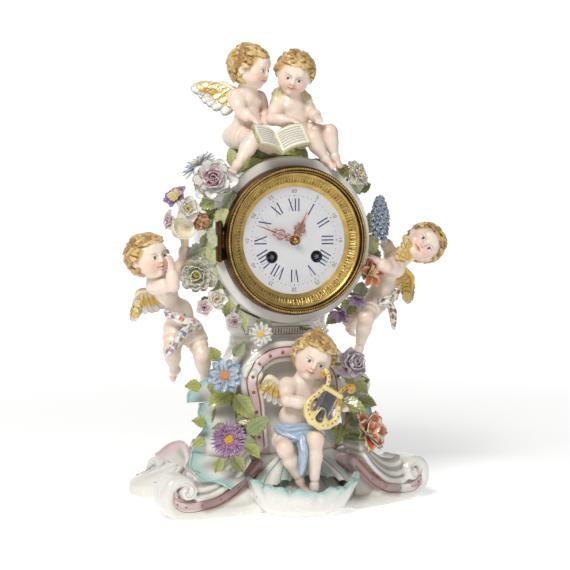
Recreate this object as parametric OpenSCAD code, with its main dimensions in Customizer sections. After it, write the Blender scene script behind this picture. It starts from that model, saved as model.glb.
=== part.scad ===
/* [Drum] */
// Height of the dial's centre above the table
dial_height = 222; // [212:1:236]
// Largest radius of the porcelain drum
drum_radius = 70; // [67:0.5:76]
// Depth of the drum in front of the column's middle plane
drum_front = 31; // [30:0.5:36]
// Depth of the drum behind the column's middle plane
drum_back = 60; // [58:1:72]
// Radius of the drum's hollow
cavity_radius = 60; // [58:0.5:62]
// Radius of the front opening, which the brass dial ring enters
front_bore = 57; // [56:0.25:57.5]
// How far the rear opening is larger than the movement's plates, all round
rear_margin = 8.5; // [7.5:0.5:11]
// Thickness of the porcelain lips at both openings
lip_thickness = 4; // [3:0.5:5]

/* [Dial and bezel] */
// How far the dial's edge lies inside the bezel's edge
dial_margin = 15; // [14.5:0.25:15.5]
// Thickness of the dial
dial_thickness = 1.6; // [1.2:0.1:2]
// How far the sight ring's inner edge lies inside the bezel's edge
sight_margin = 17; // [16.5:0.25:18.5]
// Radius of the hole for the hand pipes
dial_hole = 4; // [3.8:0.1:5]
// Radius of each winding hole
winding_hole = 4.2; // [3.8:0.1:4.6]
// Distance of each winding arbor from the middle line
winding_spread = 19.3; // [19:0.1:20]
// Distance of the winding arbors below the dial's centre
winding_drop = 13.4; // [13:0.1:14]
// Outer radius of the bezel
bezel_radius = 61; // [60.5:0.25:62]
// Depth of the bezel, from the drum to the front of its bead
bezel_depth = 14.6; // [14:0.2:16]
// Thickness of the bezel's glass
glass_thickness = 1.6; // [1.2:0.1:1.7]
// Radius of the bezel's hinge pin
hinge_pin_radius = 1; // [0.8:0.1:1.2]
// Length of the hinge barrel
hinge_length = 31; // [26:1:36]
// Thickness of the brass dial ring
ring_thickness = 2.4; // [2:0.1:3]

/* [Hands] */
// How far the minute hand's tip stays inside the sight ring
minute_margin = 8; // [6:0.5:12]
// Length of the hour hand from the centre
hour_reach = 26; // [22:0.5:29]
// Thickness of the hands
hand_thickness = 0.8; // [0.6:0.1:1]
// Time that the minute hand shows, in degrees from twelve
minute_angle = 291; // [0:1:359]
// Direction of the hour hand, in degrees from twelve
hour_angle = 24; // [0:1:359]

/* [Movement] */
// Radius of the movement's plates
plate_radius = 41.5; // [41:0.25:43]
// Thickness of the plates
plate_thickness = 2; // [1.6:0.1:2.4]
// Distance between the plates
plate_gap = 26; // [25:0.5:28]
// Distance from the drum's front plane back to the front plate's face
plate_setback = 10; // [10:0.25:12]
// Radius of the spring barrels
barrel_radius = 15.5; // [14:0.25:15.5]
// Radius of the winding arbors
arbor_radius = 2; // [1.7:0.1:2.1]
// Side of the square that the key fits
winding_square = 2.8; // [2.4:0.1:3]
// Radius of the centre arbor
centre_radius = 1.2; // [1:0.05:1.25]
// Module of the cannon pinion and minute wheel, as pitch for each tooth
motion_module = 0.5; // [0.48:0.01:0.52]
// Radius of the escape wheel
escape_radius = 8.5; // [8:0.1:8.6]
// Height of the anchor's arbor above the dial's centre
anchor_height = 34; // [33.8:0.1:34.5]
// Distance of the bob's centre below the dial's centre
bob_drop = 42; // [38:0.5:43]
// Radius of the pendulum bob
bob_radius = 10; // [8:0.5:10.5]
// How far the bell's rim lies inside the plates' edge
bell_inset = 7; // [6.5:0.25:8.5]
// Radius of the bolt that holds the drum to the pedestal
bolt_radius = 3; // [2.5:0.1:3.4]

/* [Plinth] */
// Half the distance between the front scroll feet
foot_spread = 85; // [80:1:92]
// Radius of a front foot on the table
foot_radius = 27; // [25:0.5:29]
// Height of a front scroll foot
scroll_height = 37; // [34:0.5:40]
// Depth of the plinth in front of the middle plane, without the shell
plinth_front = 50; // [48:1:54]
// Depth of the plinth behind the middle plane
plinth_back = 85; // [80:1:90]
// Height of the plinth's mound, where the pedestal starts
mound_height = 46; // [42:1:50]
// Radius of the shell basin's rim
shell_radius = 45; // [42:0.5:48]
// Height of the shell basin's rim
shell_height = 34; // [30:0.5:38]
// Thickness of the shell
shell_wall = 4; // [3:0.5:5]

/* [Pedestal] */
// Half width of the pedestal at its foot
pedestal_foot = 60; // [56:1:64]
// Half width of the pedestal at its neck
pedestal_neck = 41; // [38:0.5:44]
// Distance of the pedestal's centre behind the middle plane
pedestal_setback = 14; // [12:0.5:16]

/* [Figures] */
// Torso length of the two cherubs on top, from seat to shoulders
top_torso = 34; // [32:0.5:36]
// Torso length of the two cherubs at the sides
side_torso = 34; // [32:0.5:36]
// Torso length of the lyre player
player_torso = 34; // [32:0.5:36]
// Thickness of the music book
book_thickness = 3; // [2.5:0.1:4]
// Height of the music book's pages
page_height = 23; // [20:0.5:26]
// Width of one page
page_width = 24; // [20:0.5:27]
// Length of the lyre from its foot to its horns
lyre_length = 44; // [40:0.5:48]

/* [Flowers] */
// Radius of the large pink rose
rose_radius = 18; // [16:0.5:20]
// Radius of the pale blue aster
aster_radius = 16; // [14:0.5:18]
// Radius of the chrysanthemum
mum_radius = 14; // [12:0.5:15]
// Radius of the white rose
white_rose_radius = 13; // [11:0.5:14]
// Radius of the waist daisies
daisy_radius = 9.5; // [8:0.5:11]
// Radius of the blue daisy
blue_daisy_radius = 14; // [12:0.5:16]
// Radius of the purple aster
purple_radius = 14; // [12:0.5:16]
// Radius of the pansies over the cup
pansy_radius = 10.5; // [9:0.5:12]
// Radius of the small roses under the drum
bud_radius = 9; // [7.5:0.5:10]
// Radius of the bellflowers
bell_flower_radius = 8; // [7:0.5:9.5]
// Radius of the peony
peony_radius = 14; // [12:0.5:16]
// Radius of the parrot tulip
tulip_radius = 17; // [15:0.5:19]
// Radius of the orange lily
lily_radius = 14; // [12:0.5:15]
// Length of the hyacinth
hyacinth_length = 30; // [26:1:34]
// Length of a large leaf
leaf_length = 22; // [19:0.5:25]
// Thickness of leaves and petals
leaf_thickness = 2; // [1.6:0.1:2.4]

/* [Hidden] */
// Radii that follow the bezel and the movement's plates
dial_radius = bezel_radius - dial_margin;
sight_radius = bezel_radius - sight_margin;
minute_reach = sight_radius - minute_margin;
rear_bore = plate_radius + rear_margin;
bell_radius = plate_radius - bell_inset;

// Gap between pieces that are luted together, and between rigid pieces that pass each other
seat = 0.15;
// Gap between pieces on different bodies
pass = 0.4;
// Radial clearance of a running fit
running = 0.05;
// Overrun of a cut beyond the face it leaves
over = 1;
// Facets of the organic bodies
body_sides = 8;
limb_sides = 5;
leg_sides = 5;

// Colours
porcelain = [0.95, 0.94, 0.9];
flesh = [0.94, 0.83, 0.74];
gilt = [0.78, 0.6, 0.25];
brass = [0.75, 0.62, 0.32];
steel = [0.6, 0.61, 0.63];
leaf_green = [0.62, 0.7, 0.35];
turquoise = [0.66, 0.85, 0.8];

// A vector of length one along v
function unit(v) = v / norm(v);
// The part of v that is square to t, of length one
function square_to(v, t) = unit(v - (v * t) * t);
// The point that lies a share of the way from a to b
function mix(a, b, share) = a + (b - a) * share;
// Direction of a line of points at point i
function along(p, i) = unit(p[min(i + 1, len(p) - 1)] - p[max(i - 1, 0)]);
// Side directions carried along a line of points without twisting
function sides_of(p, first) =
    [for (i = 0, s = square_to(first, along(p, 0)); i < len(p);
            i = i + 1, s = square_to(s, along(p, min(i, len(p) - 1)))) s];
// A ring of n points about c; squash flattens it and fold draws every other point in
function round_ring(c, t, s, r, n, squash, fold = 0) =
    [for (k = [0:n - 1])
        c + r * (1 - fold * (k % 2)) *
            (cos(360 * k / n) * s + squash * sin(360 * k / n) * cross(t, s))];

// A closed skin over rings that all have the same number of points
module skin(rings) {
    n = len(rings[0]);
    last = len(rings) - 1;
    walls = [for (i = [0:last - 1], k = [0:n - 1])
        let (a = i * n + k, b = i * n + (k + 1) % n)
            each [[a, b + n, b], [a, a + n, b + n]]];
    start = [for (k = [0:n - 1]) k];
    end = [for (k = [n - 1:-1:0]) last * n + k];
    polyhedron([for (ring = rings) each ring], concat(walls, [start, end]));
}

// Round end of a tube, as shares of its radius there: how far out, how wide
tube_end_shares = [0.75, 0.55];

// A round-ended tube through the points p, with a radius at each
module tube(p, r, n = limb_sides, first = [0, 1, 0.2], squash = 1, fold = 0) {
    last = len(p) - 1;
    e = tube_end_shares;
    line = concat([p[0] + unit(p[0] - p[1]) * r[0] * e[0]], p,
        [p[last] + unit(p[last] - p[last - 1]) * r[last] * e[0]]);
    wide = concat([r[0] * e[1]], r, [r[last] * e[1]]);
    s = sides_of(line, first);
    skin([for (i = [0:last + 2])
        round_ring(line[i], along(line, i), s[i], wide[i], n, squash, fold)]);
}

// Moves children so that their Z points along t and their X lies towards s
module facing(at, t, s = [1, 0, 0]) {
    z = unit(t);
    x = square_to(s, z);
    y = cross(z, x);
    multmatrix([[x.x, y.x, z.x, at.x], [x.y, y.y, z.y, at.y], [x.z, y.z, z.z, at.z]])
        children();
}

// Children drawn with Z towards the viewer and Y upwards, on the dial's axis
module on_dial() {
    translate([0, 0, dial_height]) rotate([90, 0, 0]) children();
}

// A disc on the dial's axis between two depths
module disc(r, back, front, at = [0, 0]) {
    translate([at.x, at.y, back]) cylinder(r = r, h = front - back, $fn = 96);
}

// Places on the clock, in drum radii from the dial's centre
function by_drum(share) = [0, 0, dial_height] + drum_radius * share;
// Places on the base, in pedestal heights from the middle of the mound's top
neck_height = dial_height - drum_radius - mound_height;
function by_base(share) = [0, 0, mound_height] + neck_height * share;

// Depths in front of the middle plane, from the back of the clock to the front
plate_front = drum_front - plate_setback;
plate_back = plate_front - plate_thickness;
back_front = plate_back - plate_gap;
back_back = back_front - plate_thickness;
dial_back = drum_front + ring_thickness;
dial_front = dial_back + dial_thickness;

// Drum

// Outline of the drum: depth as a share of its front or back, radius as a share of its own
drum_outline_shares = [[1, 0.965], [0.93, 0.98], [0.87, 0.965], [0.83, 0.94], [0.72, 0.937],
    [0.5, 0.965], [0.2, 0.993], [-0.06, 1], [-0.26, 0.99], [-0.5, 0.96], [-0.73, 0.92],
    [-0.9, 0.88], [-1, 0.85]];
function drum_outline(grow) = [for (s = drum_outline_shares)
    [drum_radius * s[1] + grow, s[0] > 0 ? drum_front * s[0] : drum_back * s[0]]];

// The drum as a plain solid, larger all over by a gap, with its flats outside the real one
drum_sides = 30;
module drum_solid(grow) {
    outline = drum_outline(grow) / cos(180 / drum_sides);
    on_dial() rotate_extrude($fn = drum_sides)
        polygon(concat([[0, outline[0].y]], outline, [[0, outline[len(outline) - 1].y]]));
}

// Room that the brass bezel needs in front of the drum
module bezel_room() {
    on_dial() disc(bezel_radius + pass, drum_front - over, drum_front + 2 * bezel_depth);
    on_dial() translate([-hinge_x - hinge_room, -hinge_length / 2 - pass, drum_front - over])
        cube([hinge_room * 2, hinge_length + pass * 2, bezel_depth + over]);
}

module drum_case() {
    color(porcelain) difference() {
        on_dial() rotate_extrude($fn = 120) polygon(concat(
            [[front_bore, drum_front]], drum_outline(0),
            [[rear_bore, -drum_back], [rear_bore, lip_thickness - drum_back],
                [cavity_radius, lip_thickness * 2 - drum_back],
                [cavity_radius, drum_front - lip_thickness * 2],
                [front_bore, drum_front - lip_thickness]]));
        case_bolt_hole();
    }
}

// Dial, bezel and their hinge

hinge_radius = hinge_pin_radius * 2.2;
hinge_x = bezel_radius + hinge_radius + pass;
hinge_room = hinge_radius + pass;
hinge_depth = drum_front + hinge_radius * 2.7;
// Share of the hinge barrel that is the bezel's middle knuckle
knuckle_share = 0.33;
knuckle_half = hinge_length * knuckle_share / 2;
// Wall of the bezel's skirt, and its lips
skirt_wall = 2.1;
ring_edge = bezel_radius - skirt_wall * 1.3 - pass;
// Radius of the posts that carry the movement, and how far inside the plate's edge they stand
post_radius = 2.5;
post_circle = plate_radius - post_radius - over;
post_angles = [90, 210, 330];

module dial_ring() {
    color(brass) on_dial() {
        difference() {
            union() {
                disc(ring_edge, drum_front, dial_back);
                disc(front_bore - 2 * seat, drum_front - lip_thickness * 1.5, drum_front);
            }
            disc(dial_radius - ring_thickness / 2, drum_front - over, dial_back + over);
            disc(rear_bore, 0, drum_front);
        }
        for (a = post_angles) rotate([0, 0, a]) {
            disc(post_radius, plate_front, drum_front, [post_circle, 0]);
            translate([post_circle - post_radius, -post_radius, drum_front])
                cube([dial_radius - post_circle + post_radius, post_radius * 2, ring_thickness]);
        }
        for (side = [0, 1]) mirror([0, side, 0]) difference() {
            union() {
                translate([-hinge_x, knuckle_half + seat, hinge_depth]) rotate([-90, 0, 0])
                    cylinder(r = hinge_radius, h = hinge_length / 2 - knuckle_half - seat,
                        $fn = 48);
                translate([-hinge_x - hinge_radius, knuckle_half + seat, drum_front])
                    cube([hinge_radius * 1.4, hinge_length / 2 - knuckle_half - seat,
                        hinge_depth - drum_front]);
                translate([-hinge_x - hinge_radius, knuckle_half + seat, drum_front])
                    cube([hinge_x + hinge_radius * 2 - ring_edge,
                        hinge_length / 2 - knuckle_half - seat, hinge_tab]);
            }
            translate([-hinge_x, 0, hinge_depth]) rotate([-90, 0, 0])
                cylinder(r = hinge_pin_radius + running, h = hinge_length, $fn = 48);
        }
    }
}
hinge_tab = ring_thickness * 0.6;

module bezel_hinge_pin() {
    color(brass) on_dial() translate([-hinge_x, 0, hinge_depth]) rotate([-90, 0, 0]) {
        translate([0, 0, -hinge_length / 2 - hinge_pin_radius])
            cylinder(r = hinge_pin_radius, h = hinge_length + 2 * hinge_pin_radius, $fn = 48);
        for (side = [-1, 1])
            translate([0, 0, side * (hinge_length / 2 + hinge_pin_radius / 2 + seat)])
                cylinder(r = hinge_pin_radius * 1.5, h = hinge_pin_radius, center = true,
                    $fn = 48);
    }
}

// Depths inside the bezel: its bead, the glass and the lip behind the glass
bezel_front = drum_front + bezel_depth;
glass_back = bezel_front - glass_thickness - pass;
glass_radius = bezel_radius - skirt_wall * 2;
sight_front = glass_back - lip_thickness * 0.6;
sight_edge = glass_radius - 2.5 * pass;

module bezel_ring() {
    color(brass) on_dial() difference() {
        union() {
            rotate_extrude($fn = 120) polygon([
                [bezel_radius, drum_front + pass],
                [bezel_radius, drum_front + bezel_depth * 0.5],
                [bezel_radius - skirt_wall * 0.35, bezel_front - bezel_depth * 0.22],
                [bezel_radius - skirt_wall * 0.9, bezel_front - bezel_depth * 0.18],
                [bezel_radius - skirt_wall, bezel_front],
                [glass_radius + seat, bezel_front],
                [glass_radius + seat, glass_back],
                [glass_radius - skirt_wall, glass_back],
                [glass_radius - skirt_wall, glass_back - lip_thickness * 0.35],
                [glass_radius, glass_back - lip_thickness * 0.35],
                [glass_radius, dial_back + pass],
                [bezel_radius - skirt_wall, dial_back + pass],
                [bezel_radius - skirt_wall * 0.35, drum_front + pass]]);
            translate([-hinge_x, -knuckle_half, hinge_depth]) rotate([-90, 0, 0])
                cylinder(r = hinge_radius, h = knuckle_half * 2, $fn = 48);
            translate([-hinge_x, -knuckle_half, hinge_depth - hinge_radius * 0.8])
                cube([hinge_x - bezel_radius + skirt_wall * 0.8, knuckle_half * 2,
                    hinge_radius * 1.6]);
        }
        translate([-hinge_x, -knuckle_half - over, hinge_depth]) rotate([-90, 0, 0])
            cylinder(r = hinge_pin_radius + running, h = knuckle_half * 2 + over * 2, $fn = 48);
        for (side = [0, 1]) mirror([0, side, 0])
            translate([-hinge_x - hinge_radius * 2, knuckle_half - pass, drum_front])
                cube([hinge_x + hinge_radius * 4 - ring_edge,
                    hinge_length / 2 - knuckle_half + pass * 2, hinge_tab + pass]);
    }
}

module bezel_glass() {
    color([0.9, 0.95, 0.95, 0.3]) on_dial()
        disc(glass_radius, glass_back, glass_back + glass_thickness);
}

module sight_ring() {
    color(gilt) on_dial() rotate_extrude($fn = 120) polygon([
        [sight_radius, dial_front + seat], [sight_radius, dial_front + hand_thickness],
        [sight_edge - lip_thickness * 0.5, sight_front], [sight_edge, sight_front],
        [sight_edge, dial_back], [dial_radius + seat, dial_back],
        [dial_radius + seat, dial_front + seat]]);
}

module dial() {
    color("white") on_dial() difference() {
        disc(dial_radius, dial_back, dial_front);
        disc(dial_hole, dial_back - over, dial_front + over);
        for (side = [-1, 1])
            disc(winding_hole, dial_back - over, dial_front + over,
                [side * winding_spread, -winding_drop]);
    }
}

// Hands and motion work

// Teeth of the motion work, which turns the hour hand once for twelve turns of the other
cannon_teeth = 12;
minute_teeth = 36;
pinion_teeth = 10;
hour_teeth = 40;
motion_distance = motion_module * (cannon_teeth + minute_teeth) / 2;
hour_module = 2 * motion_distance / (pinion_teeth + hour_teeth);
// Radii of the hand pipes, one inside the other
// Walls of the two pipes that turn on the centre arbor
cannon_wall = 1;
hour_pipe_wall = 0.9;
cannon_radius = centre_radius + cannon_wall;
hour_pipe_radius = cannon_radius + hour_pipe_wall;
hour_hand_back = dial_front + hand_thickness * 2;
minute_hand_back = hour_hand_back + hand_thickness * 3;
motion_back = plate_front + hand_thickness;
motion_width = hand_thickness * 1.5;
pinion_back = motion_back + motion_width + seat;

// A wheel's outline: tooth tips and roots as shares of the module, widths of a pitch
tooth_tip_share = 0.85;
tooth_root_share = 1.25;
tooth_width_shares = [0.21, 0.06];
module wheel(teeth, unit_size, first = 0) {
    r = teeth * unit_size / 2;
    w = tooth_width_shares * 360 / teeth;
    rows = [[r - tooth_root_share * unit_size, -w[0]], [r + tooth_tip_share * unit_size, -w[1]],
        [r + tooth_tip_share * unit_size, w[1]], [r - tooth_root_share * unit_size, w[0]]];
    polygon([for (k = [0:teeth - 1], p = rows)
        p[0] * [cos(first + 360 * k / teeth + p[1]), sin(first + 360 * k / teeth + p[1])]]);
}

// A pierced hand outline pointing up: a ring at its root, scrolls and a fine tip
hand_wide_shares = [0.05, 0.16, 0.09, 0.21, 0.12, 0.05, 0.035, 0.012];
hand_along_shares = [0.03, 0.22, 0.36, 0.5, 0.64, 0.72, 0.86, 1];
module hand_outline(reach, hub) {
    difference() {
        union() {
            circle(r = hub, $fn = 48);
            polygon([for (i = [0:7]) [hand_wide_shares[i], hand_along_shares[i]] * reach,
                for (i = [7:-1:0]) [-hand_wide_shares[i], hand_along_shares[i]] * reach]);
        }
        for (side = [-1, 1])
            translate([side * reach * hand_wide_shares[0] * 1.6, reach * hand_along_shares[3]])
                circle(r = reach * hand_wide_shares[0], $fn = 24);
        translate([0, reach * hand_along_shares[1]])
            circle(r = reach * hand_wide_shares[0] * 0.8, $fn = 24);
    }
}

module hour_hand() {
    color([0.72, 0.5, 0.36]) on_dial() rotate([0, 0, -hour_angle])
        translate([0, 0, hour_hand_back]) linear_extrude(hand_thickness) difference() {
            hand_outline(hour_reach, hour_pipe_radius + hand_thickness);
            circle(r = cannon_radius + running * 2, $fn = 48);
        }
}

module hour_wheel() {
    color(brass) on_dial() difference() {
        union() {
            translate([0, 0, pinion_back + pass]) linear_extrude(motion_width)
                wheel(hour_teeth, hour_module, 90 + 180 / hour_teeth);
            disc(hour_pipe_radius, pinion_back + pass, hour_hand_back);
        }
        disc(cannon_radius + running, plate_front, hour_hand_back + over);
    }
}

module cannon_pinion() {
    color(brass) on_dial() difference() {
        union() {
            translate([0, 0, motion_back - pass]) linear_extrude(motion_width + pass)
                wheel(cannon_teeth, motion_module, 90);
            disc(cannon_radius, motion_back, minute_hand_back);
        }
        disc(centre_radius + running, plate_front, minute_hand_back + over);
    }
}

module minute_hand() {
    color([0.72, 0.5, 0.36]) on_dial() difference() {
        union() {
            rotate([0, 0, -minute_angle]) translate([0, 0, minute_hand_back])
                linear_extrude(hand_thickness) hand_outline(minute_reach, cannon_radius);
            disc(cannon_radius * 0.9, minute_hand_back, minute_hand_back + hand_thickness * 3);
        }
        disc(centre_radius + running, minute_hand_back - over,
            minute_hand_back + hand_thickness * 4);
    }
}

module minute_wheel() {
    color(brass) on_dial() translate([0, motion_distance, 0]) difference() {
        union() {
            translate([0, 0, motion_back]) linear_extrude(motion_width)
                wheel(minute_teeth, motion_module, -90 + 180 / minute_teeth);
            translate([0, 0, pinion_back - seat]) linear_extrude(motion_width * 2 + seat)
                wheel(pinion_teeth, hour_module, -90);
        }
        disc(centre_radius / 2 + running, plate_front, drum_front);
    }
}

// Movement

// Angles of the four pillars, seen from the front
pillar_angles = [40, 140, 250, 290];
pillar_radius = 2.4;
pillar_circle = plate_radius - pillar_radius * 2.2;
// Wheels of the two trains: place across and up, wheel and pinion, as shares of the plate's
// radius, then the wheel's and the pinion's depth as shares of the gap between the plates
going_shares = [
    [0.41, 0.12, 0.365, 0.048, 0.88, 0.02], [0, 0, 0.28, 0.048, 0.03, 0.86],
    [-0.145, 0.297, 0.23, 0.036, 0.56, 0.01], [0, 0.53, 0.03, 0.036, 0.4, 0.55]];
strike_shares = [
    [-0.53, 0.12, 0.26, 0.048, 0.8, 0.02], [-0.82, 0.217, 0.13, 0.036, 0.4, 0.79],
    [-0.711, 0.342, 0.03, 0.03, 0.3, 0.39]];
wheel_thickness = 1.2;
wheel_arbor = 0.9;
hammer_place_shares = [-0.89, -0.24];
hammer_place = plate_radius * hammer_place_shares;
barrel_back = back_front + plate_gap * 0.15;
barrel_front = back_front + plate_gap * 0.77;

module plate_outline(holes) {
    difference() {
        circle(r = plate_radius, $fn = 96);
        for (p = holes) translate([p.x, p.y]) circle(r = p.z, $fn = 48);
    }
}
// Holes of both plates: the train's pivots, the winding arbors and the hammer's arbor
shared_holes = concat(
    [for (s = concat(going_shares, strike_shares)) if (norm([s[0], s[1]]) > 0)
        [s[0] * plate_radius, s[1] * plate_radius, wheel_arbor / 2 + running]],
    [for (side = [-1, 1]) [side * winding_spread, -winding_drop, arbor_radius + running],
        [0, 0, centre_radius + running]]);

module front_plate() {
    color(brass) on_dial() {
        translate([0, 0, plate_back]) linear_extrude(plate_thickness)
            plate_outline(concat(shared_holes,
                [[0, anchor_height, wheel_arbor / 2 + running],
                    [hammer_place.x, hammer_place.y, wheel_arbor / 2 + running]]));
        disc(centre_radius / 2, plate_front - seat, pinion_back + motion_width * 2 + pass,
            [0, motion_distance]);
    }
}

module back_plate() {
    color(brass) on_dial() translate([0, 0, back_back]) linear_extrude(plate_thickness)
        plate_outline(concat(shared_holes, [[0, anchor_height, wheel_arbor * 1.6],
            [hammer_place.x, hammer_place.y, wheel_arbor + running]]));
}

module pillars() {
    color(brass) on_dial() for (a = pillar_angles) rotate([0, 0, a]) {
        translate([pillar_circle, 0, back_front]) rotate_extrude($fn = 48) polygon([[0, 0],
            [pillar_radius, 0], [pillar_radius, plate_gap * 0.06],
            [pillar_radius * 0.7, plate_gap * 0.14], [pillar_radius * 0.85, plate_gap * 0.5],
            [pillar_radius * 0.7, plate_gap * 0.86], [pillar_radius, plate_gap * 0.94],
            [pillar_radius, plate_gap], [0, plate_gap]]);
        translate([pillar_circle, 0, plate_front])
            cylinder(r = pillar_radius, h = hand_thickness * 1.5, $fn = 6);
        translate([pillar_circle, 0, back_back - hand_thickness * 1.5])
            cylinder(r = pillar_radius, h = hand_thickness * 1.5, $fn = 6);
    }
}

module barrel(side) {
    on_dial() translate([side * winding_spread, -winding_drop, 0]) difference() {
        union() {
            disc(barrel_radius, barrel_back, barrel_front);
            translate([0, 0, barrel_back]) linear_extrude(wheel_thickness * 2)
                wheel(72, (barrel_radius + hand_thickness) / 36);
        }
        disc(arbor_radius + running, back_back, plate_front);
        disc(barrel_radius - hand_thickness * 2, barrel_front - hand_thickness, barrel_front + over);
    }
}
module going_barrel() { color(brass) barrel(1); }
module strike_barrel() { color(brass) barrel(-1); }

// One arbor of a train with its wheel, its pinion and its two pivots
module train_arbor(s, long_front) {
    at = plate_radius * [s[0], s[1]];
    wheel_at = back_front + plate_gap * s[4];
    pinion_at = back_front + plate_gap * s[5];
    disc(wheel_arbor / 2, back_back, plate_front, at);
    disc(wheel_arbor, back_front + seat, plate_back - seat, at);
    translate([at.x, at.y, wheel_at]) linear_extrude(wheel_thickness) difference() {
        wheel(round(plate_radius * s[2] * 3.2), 2 / 3.2);
        if (s[2] > 0.2) for (a = [0:72:288]) rotate([0, 0, a])
            translate([plate_radius * s[2] * 0.52, 0])
                circle(r = plate_radius * s[2] * 0.2, $fn = 24);
    }
    translate([at.x, at.y, pinion_at]) linear_extrude(plate_gap * 0.1)
        wheel(8, plate_radius * s[3] / 4.5);
}

// The escape wheel's hooked teeth
escape_teeth = 30;
escape_depth = back_front + plate_gap * 0.2;
escape_height = anchor_height - escape_radius * sqrt(2);
module escape_wheel() {
    translate([0, escape_height, escape_depth]) linear_extrude(wheel_thickness) difference() {
        polygon([for (k = [0:escape_teeth - 1], p = [[0.78, 1], [1, 3.6], [0.99, 4.4],
                [0.78, 3]])
            escape_radius * p[0] * [cos(escape_turn + 12 * k + p[1]),
                sin(escape_turn + 12 * k + p[1])]]);
        for (a = [45:90:315]) rotate([0, 0, a]) translate([escape_radius * 0.45, 0])
            circle(r = escape_radius * 0.17, $fn = 24);
    }
}
escape_turn = 2.3;

module going_train() {
    color(brass) on_dial() {
        for (i = [0, 2, 3]) train_arbor(going_shares[i]);
        centre = going_shares[1];
        disc(centre_radius, back_back, minute_hand_back + hand_thickness * 3.5);
        translate([0, 0, back_front + plate_gap * centre[4]]) linear_extrude(wheel_thickness)
            difference() {
                wheel(round(plate_radius * centre[2] * 3.2), 2 / 3.2);
                for (a = [0:72:288]) rotate([0, 0, a])
                    translate([plate_radius * centre[2] * 0.55, 0])
                        circle(r = plate_radius * centre[2] * 0.2, $fn = 24);
            }
        translate([0, 0, back_front + plate_gap * centre[5]])
            linear_extrude(plate_gap * 0.12) wheel(8, plate_radius * centre[3] / 4.5);
        escape_wheel();
    }
}

module strike_train() {
    color(brass) on_dial() {
        for (s = strike_shares) train_arbor(s);
        pins = strike_shares[0];
        for (a = [0:45:315]) translate(plate_radius * [pins[0], pins[1], 0]) rotate([0, 0, a])
            disc(wheel_arbor / 2, back_front + plate_gap * pins[4] + wheel_thickness,
                back_front + plate_gap * pins[4] + wheel_thickness * 2,
                [plate_radius * pins[2] * 0.8, 0]);
        fly = strike_shares[2];
        translate([plate_radius * fly[0], plate_radius * fly[1],
            back_front + plate_gap * 0.55]) cube([plate_radius * 0.16, wheel_thickness / 2,
                plate_gap * 0.24], center = true);
        count = [-winding_spread, -winding_drop];
        translate([count.x, count.y, back_back - wheel_thickness * 2 - seat])
            linear_extrude(wheel_thickness) difference() {
                wheel(36, plate_radius * 0.31 / 18);
                circle(r = arbor_radius + pass, $fn = 48);
            }
        for (a = [60, 180, 300]) translate([count.x, count.y, 0]) rotate([0, 0, a])
            disc(wheel_arbor, back_back - wheel_thickness - seat, back_back,
                [plate_radius * 0.2, 0]);
    }
}

// One winding arbor with its square end behind the hole in the dial
module winding_arbor(side) {
    on_dial() translate([side * winding_spread, -winding_drop, 0]) {
        disc(arbor_radius, back_back - wheel_thickness, dial_back - pass);
        translate([0, 0, dial_back - pass + dial_thickness])
            cube([winding_square, winding_square, 2 * dial_thickness], center = true);
    }
}
module going_arbor() { color(steel) winding_arbor(1); }
module strike_arbor() { color(steel) winding_arbor(-1); }

// Escapement and pendulum

rod_radius = 0.9;
rod_depth = back_back - plate_radius * 0.22;
crutch_depth = back_back - wheel_thickness * 1.5;
cock_depth = crutch_depth - wheel_thickness * 2.6;
// The pallets lie on circles about the anchor's arbor, at the tangent points of the wheel
pallet_radius = escape_radius;
pallet_wall = escape_radius * 0.025;
pallet_angle = 45;
pallet_sweep = 6.5;

module ring_sector(inner, outer, from, to) {
    polygon(concat(
        [for (i = [0:6]) outer * [cos(from + (to - from) * i / 6),
            sin(from + (to - from) * i / 6)]],
        [for (i = [6:-1:0]) inner * [cos(from + (to - from) * i / 6),
            sin(from + (to - from) * i / 6)]]));
}

module anchor_crutch() {
    color(steel) on_dial() translate([0, anchor_height, 0]) {
        disc(wheel_arbor / 2, cock_depth - wheel_thickness * 0.8, plate_front);
        disc(wheel_arbor, back_back + seat, plate_back - seat);
        translate([0, 0, escape_depth]) linear_extrude(wheel_thickness) difference() {
            union() {
                circle(r = wheel_arbor * 2, $fn = 48);
                for (side = [-1, 1]) {
                    ring_sector(pallet_radius - pallet_wall, pallet_radius + pallet_wall,
                        -90 + side * pallet_angle - side * pallet_reach,
                        -90 + side * pallet_angle + side * pallet_sweep * 2.4);
                    rotate([0, 0, -90 + side * (pallet_angle + pallet_sweep * 1.9)])
                        translate([0, -wheel_arbor * 0.6])
                            square([pallet_radius + pallet_wall, wheel_arbor * 1.2]);
                }
            }
            circle(r = wheel_arbor / 2, $fn = 48);
        }
        disc(wheel_arbor * 1.3, crutch_depth, back_back + seat * 2);
        translate([-wheel_arbor, -crutch_drop, crutch_depth])
            cube([wheel_arbor * 2, crutch_drop, wheel_thickness]);
        for (side = [-1, 1])
            translate([side * (rod_radius + running + wheel_arbor / 2) - wheel_arbor / 2,
                -crutch_drop, rod_depth - rod_radius])
                cube([wheel_arbor, wheel_arbor * 2, crutch_depth - rod_depth + rod_radius]);
        translate([-rod_radius - running - wheel_arbor, -crutch_drop,
            crutch_depth - wheel_arbor])
            cube([(rod_radius + running + wheel_arbor) * 2, wheel_arbor * 2, wheel_arbor]);
    }
}
crutch_drop = anchor_height * 0.6;
pallet_reach = 0.2;

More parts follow.
